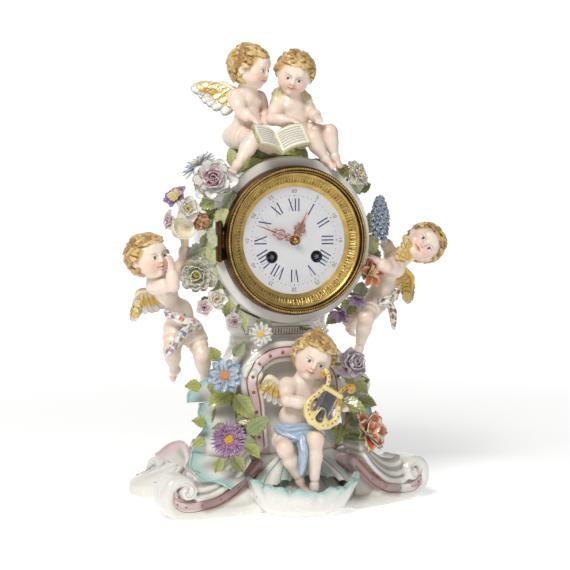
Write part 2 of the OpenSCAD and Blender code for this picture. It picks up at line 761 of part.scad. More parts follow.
module suspension_cock() {
    color(brass) on_dial() {
        difference() {
            translate([-plate_radius * 0.19, anchor_height - plate_radius * 0.1, cock_depth])
                cube([plate_radius * 0.38, cock_top - anchor_height + plate_radius * 0.1,
                    wheel_thickness]);
            disc(wheel_arbor / 2 + running, cock_depth - over, back_back, [0, anchor_height]);
        }
        for (side = [-1, 1])
            disc(wheel_arbor * 1.2, cock_depth, back_back,
                [side * plate_radius * 0.15, anchor_height + plate_radius * 0.03]);
        translate([-wheel_arbor * 2, anchor_height + spring_length + pass,
            rod_depth - wheel_arbor * 1.5])
            cube([wheel_arbor * 4, cock_top - anchor_height - spring_length - pass,
                cock_depth - rod_depth + wheel_arbor * 1.5]);
    }
}
spring_length = 3.5;
cock_top = anchor_height + spring_length + plate_radius * 0.09;

module pendulum() {
    color(brass) on_dial() translate([0, 0, rod_depth]) {
        translate([-rod_radius, anchor_height - spring_length, -running * 2])
            cube([rod_radius * 2, spring_length * 2, running * 4]);
        translate([0, anchor_height - spring_length, 0]) rotate([90, 0, 0])
            cylinder(r = rod_radius, h = anchor_height - spring_length + bob_drop + bob_radius,
                $fn = 48);
        translate([0, -bob_drop, 0]) rotate_extrude($fn = 72) polygon([
            [0, -bob_radius * 0.28], [bob_radius * 0.7, -bob_radius * 0.2],
            [bob_radius, -bob_radius * 0.04], [bob_radius, bob_radius * 0.04],
            [bob_radius * 0.7, bob_radius * 0.2], [0, bob_radius * 0.28]]);
        translate([0, -bob_drop - bob_radius - pass, 0]) rotate([90, 0, 0])
            cylinder(r = rod_radius * 2, h = rod_radius * 1.6, center = true, $fn = 48);
    }
}

// Striking

bell_depth = back_back - plate_radius * 0.66;
bell_height = bell_radius * 0.4;
bell_wall = 1.4;
stand_place = [plate_radius * 0.29, -plate_radius * 0.29];

module bell() {
    color([0.72, 0.66, 0.45]) on_dial() {
        difference() {
            translate([0, 0, bell_depth]) mirror([0, 0, 1]) rotate_extrude($fn = 96) polygon([
                [bell_radius - bell_wall, 0], [bell_radius, 0],
                [bell_radius * 0.94, bell_height * 0.3], [bell_radius * 0.82, bell_height * 0.65],
                [bell_radius * 0.55, bell_height * 0.92], [bell_radius * 0.2, bell_height],
                [0, bell_height], [0, bell_height - bell_wall],
                [bell_radius * 0.2, bell_height - bell_wall],
                [bell_radius * 0.53, bell_height * 0.92 - bell_wall],
                [bell_radius * 0.79, bell_height * 0.65 - bell_wall],
                [bell_radius * 0.9, bell_height * 0.3 - bell_wall / 2]]);
            disc(wheel_arbor, bell_depth - bell_height * 2, bell_depth);
        }
        disc(wheel_arbor * 1.6, stand_back, back_back, stand_place);
        translate([stand_place.x / 2, stand_place.y / 2, stand_back - wheel_arbor])
            rotate([0, 0, -45]) cube([norm(stand_place) + wheel_arbor * 4, wheel_arbor * 4,
                wheel_arbor * 2], center = true);
        disc(wheel_arbor - running, bell_depth - bell_height - wheel_arbor * 2.5, stand_back);
        disc(wheel_arbor * 2.6, bell_depth - bell_height - wheel_arbor * 2,
            bell_depth - bell_height);
        disc(wheel_arbor * 2.2, bell_depth - bell_height + bell_wall, stand_back);
    }
}
stand_back = bell_depth - bell_height * 0.45;

hammer_reach = plate_radius * 0.56;
hammer_head = 4.2;
hammer_depth = bell_depth - hammer_head * 0.7;
module hammer() {
    color(steel) on_dial() translate([hammer_place.x, hammer_place.y, 0]) {
        disc(wheel_arbor / 2, back_back, plate_front);
        disc(wheel_arbor, hammer_depth, plate_back - seat);
        translate([-wheel_arbor, 0, hammer_depth])
            cube([wheel_arbor * 2, hammer_reach, wheel_arbor * 1.5]);
        translate([-hammer_lean, hammer_reach, hammer_depth + wheel_arbor])
            rotate([0, 90, 0]) cylinder(r = hammer_head * 0.75, h = hammer_head * 1.6,
                center = true, $fn = 48);
    }
}
hammer_lean = 1.5;

// Brass that holds the movement in the drum

strap_angles = [38, 218];
strap_radius = rear_bore - lip_thickness;
module case_straps() {
    color(brass) on_dial() for (a = strap_angles) rotate([0, 0, a]) {
        translate([strap_radius - wheel_thickness, -lip_thickness, -drum_back])
            cube([wheel_thickness * 1.4, lip_thickness * 2, drum_front + drum_back]);
        disc(wheel_arbor * 2.2, -drum_back - ring_thickness - wheel_thickness,
            -drum_back - ring_thickness, [strap_radius - wheel_thickness / 3, 0]);
    }
}

door_radius = rear_bore - lip_thickness * 1.6;
door_hinge_x = rear_bore + lip_thickness * 0.4;
door_hinge_depth = drum_back + ring_thickness + hinge_radius;
module rear_ring() {
    color(brass) on_dial() difference() {
        union() {
            translate([0, 0, -drum_back - ring_thickness]) difference() {
                cylinder(r = rear_bore + lip_thickness * 1.4, h = ring_thickness, $fn = 96);
                translate([0, 0, -over])
                    cylinder(r = door_radius + pass, h = ring_thickness + over * 2, $fn = 96);
            }
            difference() {
                disc(rear_bore - 2 * seat, -drum_back, -drum_back + lip_thickness);
                disc(strap_radius + wheel_thickness * 1.2, -drum_back - over, 0);
            }
            for (side = [-1, 1]) translate([door_hinge_x, side * lip_thickness * 1.5,
                -door_hinge_depth]) {
                rotate([90, 0, 0]) cylinder(r = hinge_radius, h = lip_thickness * 1.4,
                    center = true, $fn = 48);
                translate([-hinge_radius, -lip_thickness * 0.7, 0])
                    cube([hinge_radius * 2, lip_thickness * 1.4, hinge_radius]);
            }
        }
        translate([door_hinge_x, 0, -door_hinge_depth]) rotate([90, 0, 0])
            cylinder(r = hinge_pin_radius + running, h = lip_thickness * 8, center = true,
                $fn = 48);
    }
}

module rear_door() {
    color(brass) on_dial() {
        difference() {
            union() {
                translate([0, 0, -drum_back - ring_thickness]) difference() {
                    cylinder(r = door_radius, h = wheel_thickness, $fn = 96);
                    for (a = [0:30:330]) rotate([0, 0, a])
                        translate([door_radius * 0.62, 0, -over])
                            cylinder(r = door_radius * 0.09, h = wheel_thickness + over * 2,
                                $fn = 24);
                }
                translate([door_radius * 0.8, -lip_thickness * 0.7,
                    -drum_back - ring_thickness - wheel_thickness])
                    cube([door_hinge_x - door_radius * 0.8, lip_thickness * 1.4,
                        wheel_thickness]);
                translate([door_hinge_x, 0, -door_hinge_depth]) rotate([90, 0, 0])
                    cylinder(r = hinge_radius, h = lip_thickness * 1.4, center = true,
                        $fn = 48);
            }
        }
        translate([door_hinge_x, 0, -door_hinge_depth]) rotate([90, 0, 0])
            cylinder(r = hinge_pin_radius, h = lip_thickness * 4.6, center = true, $fn = 48);
        disc(lip_thickness * 0.7, -drum_back - ring_thickness - lip_thickness,
            -drum_back - ring_thickness, [-door_radius * 0.8, 0]);
    }
}

// The bolt that holds the drum on the pedestal
bolt_y = drum_back * 0.46;
bolt_head = bolt_radius * 1.5;
bolt_recess = scroll_height * 0.3;
bolt_seat = dial_height - sqrt(cavity_radius * cavity_radius - bolt_head * bolt_head) + pass;
module case_bolt_hole() {
    translate([0, bolt_y, -over])
        cylinder(r = bolt_radius + pass, h = dial_height, $fn = 48);
}
module case_bolt() {
    color(steel) translate([0, bolt_y, 0]) {
        translate([0, 0, bolt_recess - bolt_radius * 2])
            cylinder(r = bolt_radius, h = bolt_seat - bolt_recess + bolt_radius * 3, $fn = 48);
        translate([0, 0, bolt_seat]) cylinder(r = bolt_head, h = bolt_radius, $fn = 6);
        translate([0, 0, bolt_recess - bolt_radius])
            cylinder(r = bolt_head * 1.2, h = bolt_radius - seat, $fn = 6);
    }
}

// Plinth

// The feet as circles on the table [x, y, radius], then the mound that they carry
back_foot_spread = foot_spread * 1.08;
plinth_middle = (plinth_back - plinth_front) / 2;
feet = concat([for (side = [-1, 1], f = [[foot_spread, -foot_radius * 0.85],
        [back_foot_spread, plinth_back - foot_radius],
        [foot_spread * 0.55, -plinth_front + foot_radius],
        [foot_spread * 0.4, plinth_back - foot_radius * 1.25]]) [side * f.x, f.y, foot_radius]],
    [[0, plinth_middle, pedestal_foot]]);
plinth_sides = 28;

// How far a ray from the plinth's middle reaches in a circle c = [x, y, radius]
function reach(angle, c) =
    let (u = [cos(angle), sin(angle)], p = [c.x, c.y - plinth_middle], d = p * u,
        off = norm(p - d * u))
    off < c.z ? d + sqrt(c.z * c.z - off * off) : 0;
function plinth_outline(angle) = max([for (c = feet) reach(angle, c)]);
// An oval with the given half width and depth; corner makes it squarer
function oval(angle, wide, deep, corner = 2) =
    pow(pow(abs(cos(angle)) / wide, corner) + pow(abs(sin(angle)) / deep, corner), -1 / corner);

// The plinth's side: height as a share of the mound, then how far it leans in to the mound
plinth_shares = [[0, 0.03], [0.06, -0.01], [0.22, -0.01], [0.36, 0.12], [0.5, 0.42],
    [0.7, 0.76], [1, 1]];
module plinth_body(grow) {
    skin([for (s = plinth_shares) [for (k = [0:plinth_sides - 1])
        let (a = 360 * k / plinth_sides,
            r = mix(plinth_outline(a), oval(a, pedestal_foot * 1.2, pedestal_foot * 0.9),
                s[1]) + grow)
        [r * cos(a), r * sin(a) + plinth_middle,
            mound_height * s[0] + (s[0] == 1 ? grow : 0)]]]);
}

// A scroll foot in side view, in shares of its height: the rim from the mound down, along the
// table and round to its eye, then the inner edge of its band back to the mound
scroll_rim_shares = [[-1.6, 0.4], [-1.62, 0.05], [-1.2, 0], [0.12, 0], [0.42, 0.1], [0.62, 0.32],
    [0.67, 0.6], [0.56, 0.86], [0.3, 1], [0.02, 0.96], [-0.13, 0.8], [-0.12, 0.62], [0, 0.52]];
scroll_band_shares = [[0.12, 0.56], [0.06, 0.66], [0.1, 0.75], [0.24, 0.76], [0.37, 0.66],
    [0.38, 0.5], [0.28, 0.36], [0.08, 0.27], [-0.5, 0.34], [-1, 0.66], [-1.6, 1.15]];
scroll_deep = foot_radius * 0.95;
// Eye of each scroll in foot spreads and plinth fronts, turn, then its height as a share
scroll_places = [[[-1.08, -1.06], -6, 1], [[1.17, -0.62], -20, 1],
    [[-1.14, 1.18], 72, 0.86], [[1.14, 1.18], -72, 0.86]];
// A lobed rocaille edge: round lobes along a line
module lobes(a, b, count, r, grow) {
    for (i = [0:count - 1])
        hull() translate(mix(a, b, i / (count - 1))) sphere(r = r + grow, $fn = 5);
}
module plinth_form(grow) {
    plinth_body(grow);
    for (p = scroll_places) let (high = scroll_height * p[2], side = p[0].x > 0 ? 1 : -1)
        translate([p[0].x * foot_spread, p[0].y * plinth_front, 0])
            rotate([0, 0, -p[1]]) rotate([90, 0, 0]) {
                translate([0, 0, -scroll_deep]) linear_extrude(scroll_deep + grow)
                    polygon([for (s = concat(scroll_rim_shares, scroll_band_shares))
                        [side * s[0], s[1]] * high]);
                // The web that fills the volute behind its band
                translate([0, 0, -scroll_deep]) linear_extrude(scroll_deep * 0.8)
                    polygon([for (s = scroll_rim_shares) [side * s[0], s[1]] * high]);
            }
    for (side = [-1, 1])
        lobes([side * foot_spread * 0.92, foot_radius * 0.8, scroll_height * 0.5],
            [side * pedestal_foot * 1.2, foot_radius / 2, mound_height], 3,
            scroll_height * 0.22, grow);
}
module plinth() {
    color(porcelain) difference() {
        plinth_form(0);
        translate([0, 0, -foot_radius])
            cube([foot_spread * 3, plinth_back * 3, foot_radius * 2], center = true);
        case_bolt_hole();
        translate([0, bolt_y, -over])
            cylinder(r = bolt_head * 1.2 + pass, h = bolt_recess + over, $fn = 24);
    }
}

// Shell basin

// The shell's skin: radius and height as shares of the rim's, outside and then inside
shell_shares = [[0.6, 0], [0.84, 0.2], [0.96, 0.55], [1.03, 1]];
shell_inside_shares = [[0.96, 1], [0.84, 0.62], [0.3, 0.42]];
shell_ribs = 12;
// How much the rim rises from front to back, and how deep its waves are
shell_tilt_share = 0.22;
shell_wave_share = 0.06;
shell_place = [shell_radius * 0.08, -plinth_front + foot_radius * 0.4];
function shell_ring(s, grow) = [for (k = [0:shell_ribs * 3 - 1])
    let (a = 120 * k / shell_ribs, rise = abs(sin(a * shell_ribs / 2)),
        w = shell_wave_share * s[1], r = shell_radius * s[0] * (1 + w * rise) + grow)
    [r * cos(a) + shell_place.x, r * sin(a) + shell_place.y,
        shell_height * s[1] * (1 - 2 * w * (1 - rise)) * (1 + shell_tilt_share * sin(a))]];
module shell_form(grow, hollow = true) {
    skin(concat([for (s = shell_shares) shell_ring(s, grow)],
        hollow ? [for (s = shell_inside_shares) shell_ring(s, -grow - shell_wall * 0.6)] : []));
}
module shell_basin() {
    color(porcelain) union() difference() {
        shell_form(0);
        plinth_form(seat);
        pedestal_form(seat);
    }
}

// Pedestal

// The pedestal's side: height as a share of the neck's, half width as shares from foot (0)
// to neck (1), then how square it is
pedestal_shares = [[0, 0, 2.6], [0.14, 0.35, 2.6], [0.34, 0.75, 2.4], [0.5, 0.6, 2.3],
    [0.62, 0.6, 2.2], [0.76, 0.9, 2.2], [0.84, 1.15, 2], [0.9, 1.2, 2], [0.93, 0.95, 2],
    [1.2, 0.75, 2]];
pedestal_sides = 18;
// Scrolled shoulders that carry the side figures: two ends of each and their girths
shoulder_shares = [[[0.62, -0.12, 0.5], 0.22, [0.4, 0.05, 0.35], 0.28],
    [[0.62, -0.12, 0.5], 0.22, [0.36, -0.08, 0.8], 0.14],
    [[0.58, -0.12, 0.14], 0.2, [0.5, -0.1, 0.42], 0.22]];
module pedestal_form(grow) {
    skin([for (s = pedestal_shares) [for (k = [0:pedestal_sides - 1])
        let (a = 360 * k / pedestal_sides, wide = mix(pedestal_foot, pedestal_neck, s[1]),
            r = oval(a, wide, wide * 0.72, s[2]) + grow)
        [r * cos(a), r * sin(a) + pedestal_setback, mound_height + neck_height * s[0] +
            (s[0] == 0 ? -grow : 0)]]]);
    for (side = [-1, 1], s = shoulder_shares) hull() for (e = [0, 2])
        translate(by_base([side * s[e].x, s[e].y, s[e].z]))
            sphere(r = pedestal_neck * s[e + 1] + grow, $fn = 6);
    // The moulded arch behind the lyre player, and its foot on the mound
    for (i = [0:len(arch_shares) - 2]) hull() for (e = [0, 1], deep = [0, 0.12])
        translate(by_base(arch_shares[i + e] + [0, deep, 0])) rotate([0, 45, 0])
            sphere(r = pedestal_neck * 0.16 + grow, $fn = 4);
}
arch_shares = [[-0.3, -0.34, 0.08], [-0.32, -0.3, 0.4], [-0.34, -0.27, 0.62],
    [-0.22, -0.27, 0.76], [-0.05, -0.28, 0.8], [0.14, -0.27, 0.76], [0.3, -0.27, 0.6],
    [0.32, -0.3, 0.4]];
module pedestal() {
    color(porcelain) difference() {
        pedestal_form(0);
        drum_solid(seat);
        case_bolt_hole();
        translate([0, 0, mound_height - foot_radius])
            cube([foot_spread * 3, plinth_back * 3, foot_radius * 2], center = true);
    }
}

// Leaves and petals

// Outline of half a leaf: across and along, as shares of its length, with cut teeth
leaf_edge_shares = [[-0.03, 0], [0.25, 0.1], [0.21, 0.28], [0.36, 0.42], [0.24, 0.64],
    [-0.03, 1]];
leaf_fold = 18;
// A leaf along t that shows its face towards n
module leaf(at, t, n, length, grow = 0) {
    facing(at, t, cross(n, t)) rotate([90, 0, 0]) for (side = [-1, 1])
        rotate([0, side * leaf_fold, 0]) translate([0, 0, -leaf_thickness / 2 - grow])
            linear_extrude(leaf_thickness + 2 * grow)
                polygon([for (p = leaf_edge_shares) [side * p[0], p[1]] * length]);
}
// Edge of one petal: turn as a share of its pitch, then distance as a share of its reach
round_petal_shares = [[0, 0.7], [0.2, 0.95], [0.5, 1.02], [0.8, 0.95]];
narrow_petal_shares = [[0, 0.55], [0.28, 0.97], [0.72, 0.97]];
// A ring of petals grown together at their roots, cupped towards their tips
module petals(count, edge, r, cup, lift, turn, grow) {
    t = leaf_thickness / 2 + grow;
    rim = [for (k = [0:count - 1], s = edge) let (a = 360 * (k + turn + s[0]) / count)
        [(r * s[1] + grow) * cos(a), (r * s[1] + grow) * sin(a), r * cup * s[1] + lift]];
    n = len(rim);
    polyhedron(concat([for (p = rim) p - [0, 0, t]], [for (p = rim) p + [0, 0, t]],
            [[0, 0, lift - t], [0, 0, lift + t]]),
        [for (k = [0:n - 1]) let (next = (k + 1) % n) each [[k, next, 2 * n],
            [next, k, n + k], [next, n + k, n + next], [n + next, n + k, 2 * n + 1]]]);
}
// One flower: place, facing, radius, rows, size and lift of its heart, foot of its stem. A row
// is its petals, their edge, reach, cup and lift as shares of the radius, and its turn
module flower(f, grow) {
    facing(f[0], f[1], [1, 0.01, 0.3]) {
        for (row = f[3]) petals(row[0], row[1], f[2] * row[2], row[3], f[2] * row[4], row[5],
            grow);
        translate([0, 0, f[2] * f[5]]) sphere(r = f[2] * f[4] + grow, $fn = 6);
    }
    hull() {
        translate(f[0] - unit(f[1]) * f[2] * 0.1) sphere(r = f[2] * 0.26 + grow, $fn = 5);
        translate(f[6]) sphere(r = f[2] * 0.22 + grow, $fn = 5);
    }
}
daisy_rows = [[8, narrow_petal_shares, 1, 0.12, 0, 0.2]];
aster_rows = [[11, narrow_petal_shares, 1, 0.12, 0, 0]];
bud_rows = [[5, narrow_petal_shares, 1, 0.45, 0, 0]];
bell_rows = [[5, narrow_petal_shares, 0.9, 1.1, -0.3, 0]];
rose_rows = [[5, round_petal_shares, 1, 0.1, 0, 0], [5, round_petal_shares, 0.72, 0.5, 0.1, 0.5]];
mum_rows = [[8, narrow_petal_shares, 1, 0.15, -0.1, 0],
    [6, narrow_petal_shares, 0.74, 0.5, 0.12, 0.4]];
peony_rows = [[5, round_petal_shares, 1, 0.2, -0.2, 0],
    [5, round_petal_shares, 0.84, 0.8, 0, 0.5]];
open_rows = [[5, narrow_petal_shares, 1, 0.35, 0, 0],
    [4, narrow_petal_shares, 0.85, 0.85, 0, 0.5]];
// A flower on the drum or on the pedestal, with a stem to the nearest place there
function on_drum(share, face, r, rows, heart = 0.4, lift = 0.2) =
    [by_drum(share), face, r, rows, heart, lift, [0, -drum_front * 0.55, dial_height] +
        unit([share.x, 0, share.z]) * drum_radius * 0.98];
function on_base(share, face, r, rows, heart = 0.35, lift = 0.12, side = 0.75) =
    [by_base(share), face, r, rows, heart, lift, by_base([0, 0, share.z]) +
        [0, pedestal_setback, 0] + unit([share.x, share.y, 0]) * pedestal_neck * side];
function blooms(name) =
    name == "rose_pink" ?
        [on_drum([-0.98, -0.5, 0.7], [-0.35, -1, 0.3], rose_radius, rose_rows)] :
    name == "aster_blue" ? [on_drum([-1.06, -0.2, 0.86], [-0.7, -0.4, 0.6], aster_radius,
        aster_rows)] :
    name == "mum_green" ? [on_drum([-1.13, -0.4, -0.37], [-0.4, -1, 0.1], mum_radius,
        mum_rows)] :
    name == "bouquet_left" ? [
        on_drum([-1.3, -0.57, 0.37], [0, -1, 0.2], pansy_radius, bud_rows),
        on_drum([-1.36, -0.3, 0.5], [-0.6, -0.5, 0.6], pansy_radius, bud_rows),
        on_drum([-1.48, -0.5, 0.24], [-1, -0.3, 0.1], pansy_radius * 0.8, bud_rows),
        on_drum([-1.15, -0.48, 0.24], [0.2, -1, 0], pansy_radius * 0.8, bud_rows)] :
    name == "small_roses" ? [
        on_drum([-0.94, -0.5, -0.66], [-0.3, -1, -0.1], bud_radius, bud_rows),
        on_drum([-0.72, -0.45, -0.92], [-0.1, -1, -0.4], bud_radius * 0.8, bud_rows, 0.6),
        on_drum([-1.06, -0.42, -0.76], [-0.6, -0.8, 0], bud_radius * 0.8, bud_rows, 0.6)] :
    name == "waist_daisies" ? [
        on_base([-0.285, -0.37, 0.95], [-0.3, -1, -0.1], daisy_radius, daisy_rows,
            0.38, 0.13),
        on_base([0.17, -0.4, 0.96], [0.2, -1, -0.1], daisy_radius, daisy_rows, 0.38, 0.13)] :
    name == "blue_daisy" ? [on_base([-0.61, -0.5, 0.66], [-0.35, -1, 0.3], blue_daisy_radius,
        daisy_rows)] :
    name == "purple_aster" ? [on_base([-0.62, -0.62, 0.2], [-0.15, -1, 0.05], purple_radius,
        aster_rows, 0.35, 0.12, 1)] :
    name == "white_rose" ? [on_drum([0.79, -0.48, 0.76], [0.3, -1, 0.35], white_rose_radius,
        rose_rows)] :
    name == "orange_lily" ? [on_drum([1, -0.38, -0.4], [0.35, -1, 0.1], lily_radius,
        open_rows, 0.25, 0.1)] :
    name == "bellflowers" ? [
        on_drum([0.8, -0.46, -0.7], [0.3, -1, -0.5], bell_flower_radius, bell_rows, 0.3, 0),
        on_drum([0.62, -0.42, -0.88], [0.1, -1, -0.5], bell_flower_radius, bell_rows, 0.3, 0)] :
    name == "peony" ? [on_base([0.42, -0.46, 0.7], [0.35, -1, 0.3], peony_radius, peony_rows,
        0.45, 0.45)] :
    name == "parrot_tulip" ? [on_base([0.52, -0.56, 0.18], [0.45, -1, 0.35], tulip_radius,
        open_rows, 0.3, 0.1, 1)] : [];

// Figures

// Girths as shares of the torso's length: torso, arms and legs from the body outwards
torso_girth_shares = [0.38, 0.4, 0.36, 0.2];
arm_girth_shares = [0.22, 0.19, 0.16, 0.12, 0.13];
leg_girth_shares = [0.3, 0.27, 0.21, 0.21, 0.13, 0.11];
arm_between_shares = [0.5, 0.75];
leg_between_shares = [0.5, 0.35];
// Rings of the head, height and radius, then of its curly hair, with their set-back from
// the face, all as shares of the head's radius
head_height_shares = [[-1, 0.42], [-0.68, 0.78], [-0.15, 0.98], [0.4, 0.97], [1, 0.4]];
hair_shares = [[-0.62, 0.7, 0.3], [-0.2, 1.04, 0.26], [0.35, 1.1, 0.2], [0.9, 0.84, 0],
    [1.2, 0.3, 0]];
hair_points = 8;
curl_share = 0.12;

function arm_line(p) = [p[0], mix(p[0], p[1], arm_between_shares[0]), p[1],
    mix(p[1], p[2], arm_between_shares[1]), p[2]];
function leg_line(p) = [p[0], mix(p[0], p[1], leg_between_shares[0]), p[1],
    mix(p[1], p[2], leg_between_shares[1]), p[2], p[3]];
function placed(f, p) = [for (q = p) f[0] + f[1] * q];
function girths(size, shares, grow) = [for (g = shares) g * size + grow];

module head(at, r, up, face, grow) {
    facing(at, up, face) {
        skin([for (s = head_height_shares) [for (k = [0:7])
            (r * s[1] + grow) * [cos(45 * k), sin(45 * k), 0] + [0, 0, (r + grow) * s[0]]]]);
        skin([for (i = [0:len(hair_shares) - 1]) [for (k = [0:hair_points - 1])
            let (s = hair_shares[i], a = 360 * k / hair_points,
                w = r * s[1] * (1 - curl_share * ((k + i) % 2)) + grow)
            [w * cos(a) - r * s[2], w * sin(a), r * s[0]]]]);
        for (b = bump_shares) hull() translate(r * b[0]) sphere(r = r * b[1] + grow, $fn = 5);
    }
}
// Nose, cheeks and forelock: places and sizes as shares of the head's radius
bump_shares = [[[0.97, 0, -0.1], 0.14], [[0.6, -0.4, -0.42], 0.34], [[0.6, 0.4, -0.42], 0.34],
    [[0.66, 0, 0.9], 0.34]];
// A closed hand or a foot: a rounded block that ends a limb
module limb_end(f, p, q, broad, long, grow) {
    facing(f[0] + f[1] * (q + unit(q - p) * long * 0.5), q - p, [0.1, 1, 0.2]) hull()
        cylinder(r1 = f[1] * broad + grow, r2 = f[1] * broad * 0.7 + grow,
            h = f[1] * (broad + long) + 2 * grow, center = true, $fn = 5);
}
module cherub(f, grow) {
    p = f[2];
    size = f[1];
    tube(placed(f, p[0]), girths(size, torso_girth_shares, grow), body_sides);
    for (arm = [p[1], p[2]]) {
        tube(placed(f, arm_line(arm)), girths(size, arm_girth_shares, grow), limb_sides);
        limb_end(f, arm[1], arm[2], 0.14, 0.12, grow);
    }
    for (leg = [p[3], p[4]]) {
        tube(placed(f, leg_line(leg)), girths(size, leg_girth_shares, grow), leg_sides,
            [1, 0, 0.1]);
        limb_end(f, leg[2], leg[3], 0.12, 0.08, grow);
    }
    head(f[0] + size * p[5][0], size * p[5][3], p[5][1], p[5][2], grow);
    for (w = f[3]) tube(placed(f, w[0]), girths(size, wing_shares, grow), limb_sides, w[1], 0.3);
}
wing_shares = [0.1, 0.24, 0.08];

// Each figure: torso from seat to neck, two arms (shoulder, elbow, hand), two legs (hip,
// knee, ankle, toe), then the head's centre, its upward direction, where it faces, its size
reader_shares = [[[0, 0, 0], [0.1, -0.1, 0.4], [0.15, -0.1, 0.8], [0.12, -0.15, 1.2]],
    [[-0.2, -0.2, 0.92], [-0.15, -0.55, 0.55], [0.1, -0.9, 0.35]],
    [[0.5, 0.1, 0.92], [0.65, 0.2, 0.6], [0.55, -0.3, 0.4]],
    [[-0.1, -0.05, -0.05], [0.05, -0.95, -0.1], [-0.4, -1.05, -0.7], [-0.55, -1.3, -0.8]],
    [[0.15, 0.1, 0], [0.4, -0.65, -0.15], [0.55, -0.65, -0.3], [0.7, -0.8, -0.3]],
    [[0.15, -0.3, 1.64], [0, -0.1, 1], [0.75, -0.8, -0.1], 0.47]];
listener_shares = [[[0, 0, 0], [-0.15, -0.15, 0.35], [-0.22, -0.2, 0.68], [-0.2, -0.2, 1.05]],
    [[-0.55, -0.2, 0.75], [-0.8, -0.5, 0.35], [-0.35, -0.95, 0.3]],
    [[0.18, -0.05, 0.75], [0.3, -0.4, 0.5], [0.25, -0.85, 0.4]],
    [[-0.15, -0.1, -0.05], [0.1, -0.95, -0.1], [0.4, -1, -0.6], [0.5, -1.2, -0.7]],
    [[0.2, -0.05, 0], [0.6, -0.7, 0.05], [0.72, -0.8, -0.55], [0.82, -1, -0.7]],
    [[-0.2, -0.36, 1.53], [-0.1, -0.1, 1], [-0.3, -1, -0.25], 0.47]];
left_shares = [[[0, 0, 0], [-0.2, -0.15, 0.45], [-0.5, -0.25, 0.95], [-0.78, -0.32, 1.32]],
    [[-0.85, -0.5, 1.1], [-0.62, -1, 1.25], [-0.68, -0.95, 1.85]],
    [[-0.3, 0, 1.25], [-0.02, -0.2, 1.7], [-0.1, -0.5, 2.15]],
    [[-0.22, 0, 0], [-0.4, -0.4, -0.45], [-0.22, 0.1, -1], [-0.3, 0.25, -1.2]],
    [[0.22, 0, -0.05], [0.36, -0.35, -0.6], [0.5, -0.1, -1.2], [0.4, -0.35, -1.3]],
    [[-1.03, -0.52, 1.8], [-0.15, 0, 1], [0.85, -0.6, -0.2], 0.49]];
right_shares = [[[0, 0, 0], [0.12, -0.08, 0.4], [0.3, -0.15, 0.85], [0.72, -0.25, 1.12]],
    [[0.5, 0.05, 1.12], [0.3, -0.1, 1.4], [0.1, -0.25, 1.62]],
    [[0.4, -0.4, 0.9], [-0.05, -0.8, 0.95], [-0.3, -0.7, 1.15]],
    [[-0.15, -0.12, -0.05], [-0.5, -0.6, -0.3], [-0.6, -0.4, -1.1], [-0.75, -0.6, -1.45]],
    [[-0.1, 0.2, 0.05], [-0.65, 0.15, -0.35], [-0.5, 0.42, -0.65], [-0.35, 0.6, -0.75]],
    [[1.12, -0.4, 1.45], [0.9, -0.1, 0.42], [-0.25, -1, 0.05], 0.47]];
player_shares = [[[0, 0, 0], [0, -0.15, 0.45], [0.14, -0.2, 0.92], [0.28, -0.22, 1.35]],
    [[-0.15, -0.2, 1.2], [-0.28, -0.6, 0.9], [0.38, -0.95, 0.8]],
    [[0.58, -0.12, 1.1], [0.92, -0.4, 0.85], [1.02, -0.75, 0.75]],
    [[-0.2, -0.05, 0], [-0.4, -0.8, -0.2], [0.05, -0.6, -1.05], [0.1, -0.8, -1.2]],
    [[0.22, -0.05, -0.03], [0.3, -0.95, 0], [0.32, -0.85, -1.15], [0.26, -1.05, -1.35]],
    [[0.53, -0.25, 1.88], [0.54, -0.05, 0.84], [0.1, -1, -0.2], 0.51]];
// Wings: three places from the shoulder to the tip, and the direction across the blade
reader_wing_shares = [[[[0.04, 0.06, 1], [-0.4, 0.4, 1.15], [-0.75, 0.6, 1.25]], [0, 0.3, 1]]];
left_wing_shares = [[[[-0.7, 0.1, 0.95], [-0.95, 0.35, 0.75], [-1.1, 0.5, 0.3]], [0.2, 1, 0.4]]];
right_wing_shares = [[[[0.72, -0.05, 0.9], [0.98, 0.2, 0.6], [1.12, 0.4, 0.1]], [0.3, -1, 0.3]],
    [[[0.62, -0.5, 1.1], [0.62, -0.6, 1.35], [0.6, -0.62, 1.6]], [1, 0, 0]]];
player_wing_shares = [[[[-0.1, 0.25, 1.1], [-0.4, 0.32, 1.2], [-0.65, 0.4, 0.9]], [0, -0.2, 1]]];

// A figure as its seat, its torso's length, its shares and its wings
reader = [by_drum([-0.5, 0, 1.22]), top_torso, reader_shares, reader_wing_shares];
listener = [by_drum([0.21, 0.03, 1.24]), top_torso, listener_shares, []];
left = [by_drum([-1.23, -0.11, -1.04]), side_torso, left_shares, left_wing_shares];
right = [by_drum([1.196, -0.09, -0.8]), side_torso, right_shares, right_wing_shares];
player = [by_base([-0.07, -0.43, 0.18]), player_torso, player_shares, player_wing_shares];

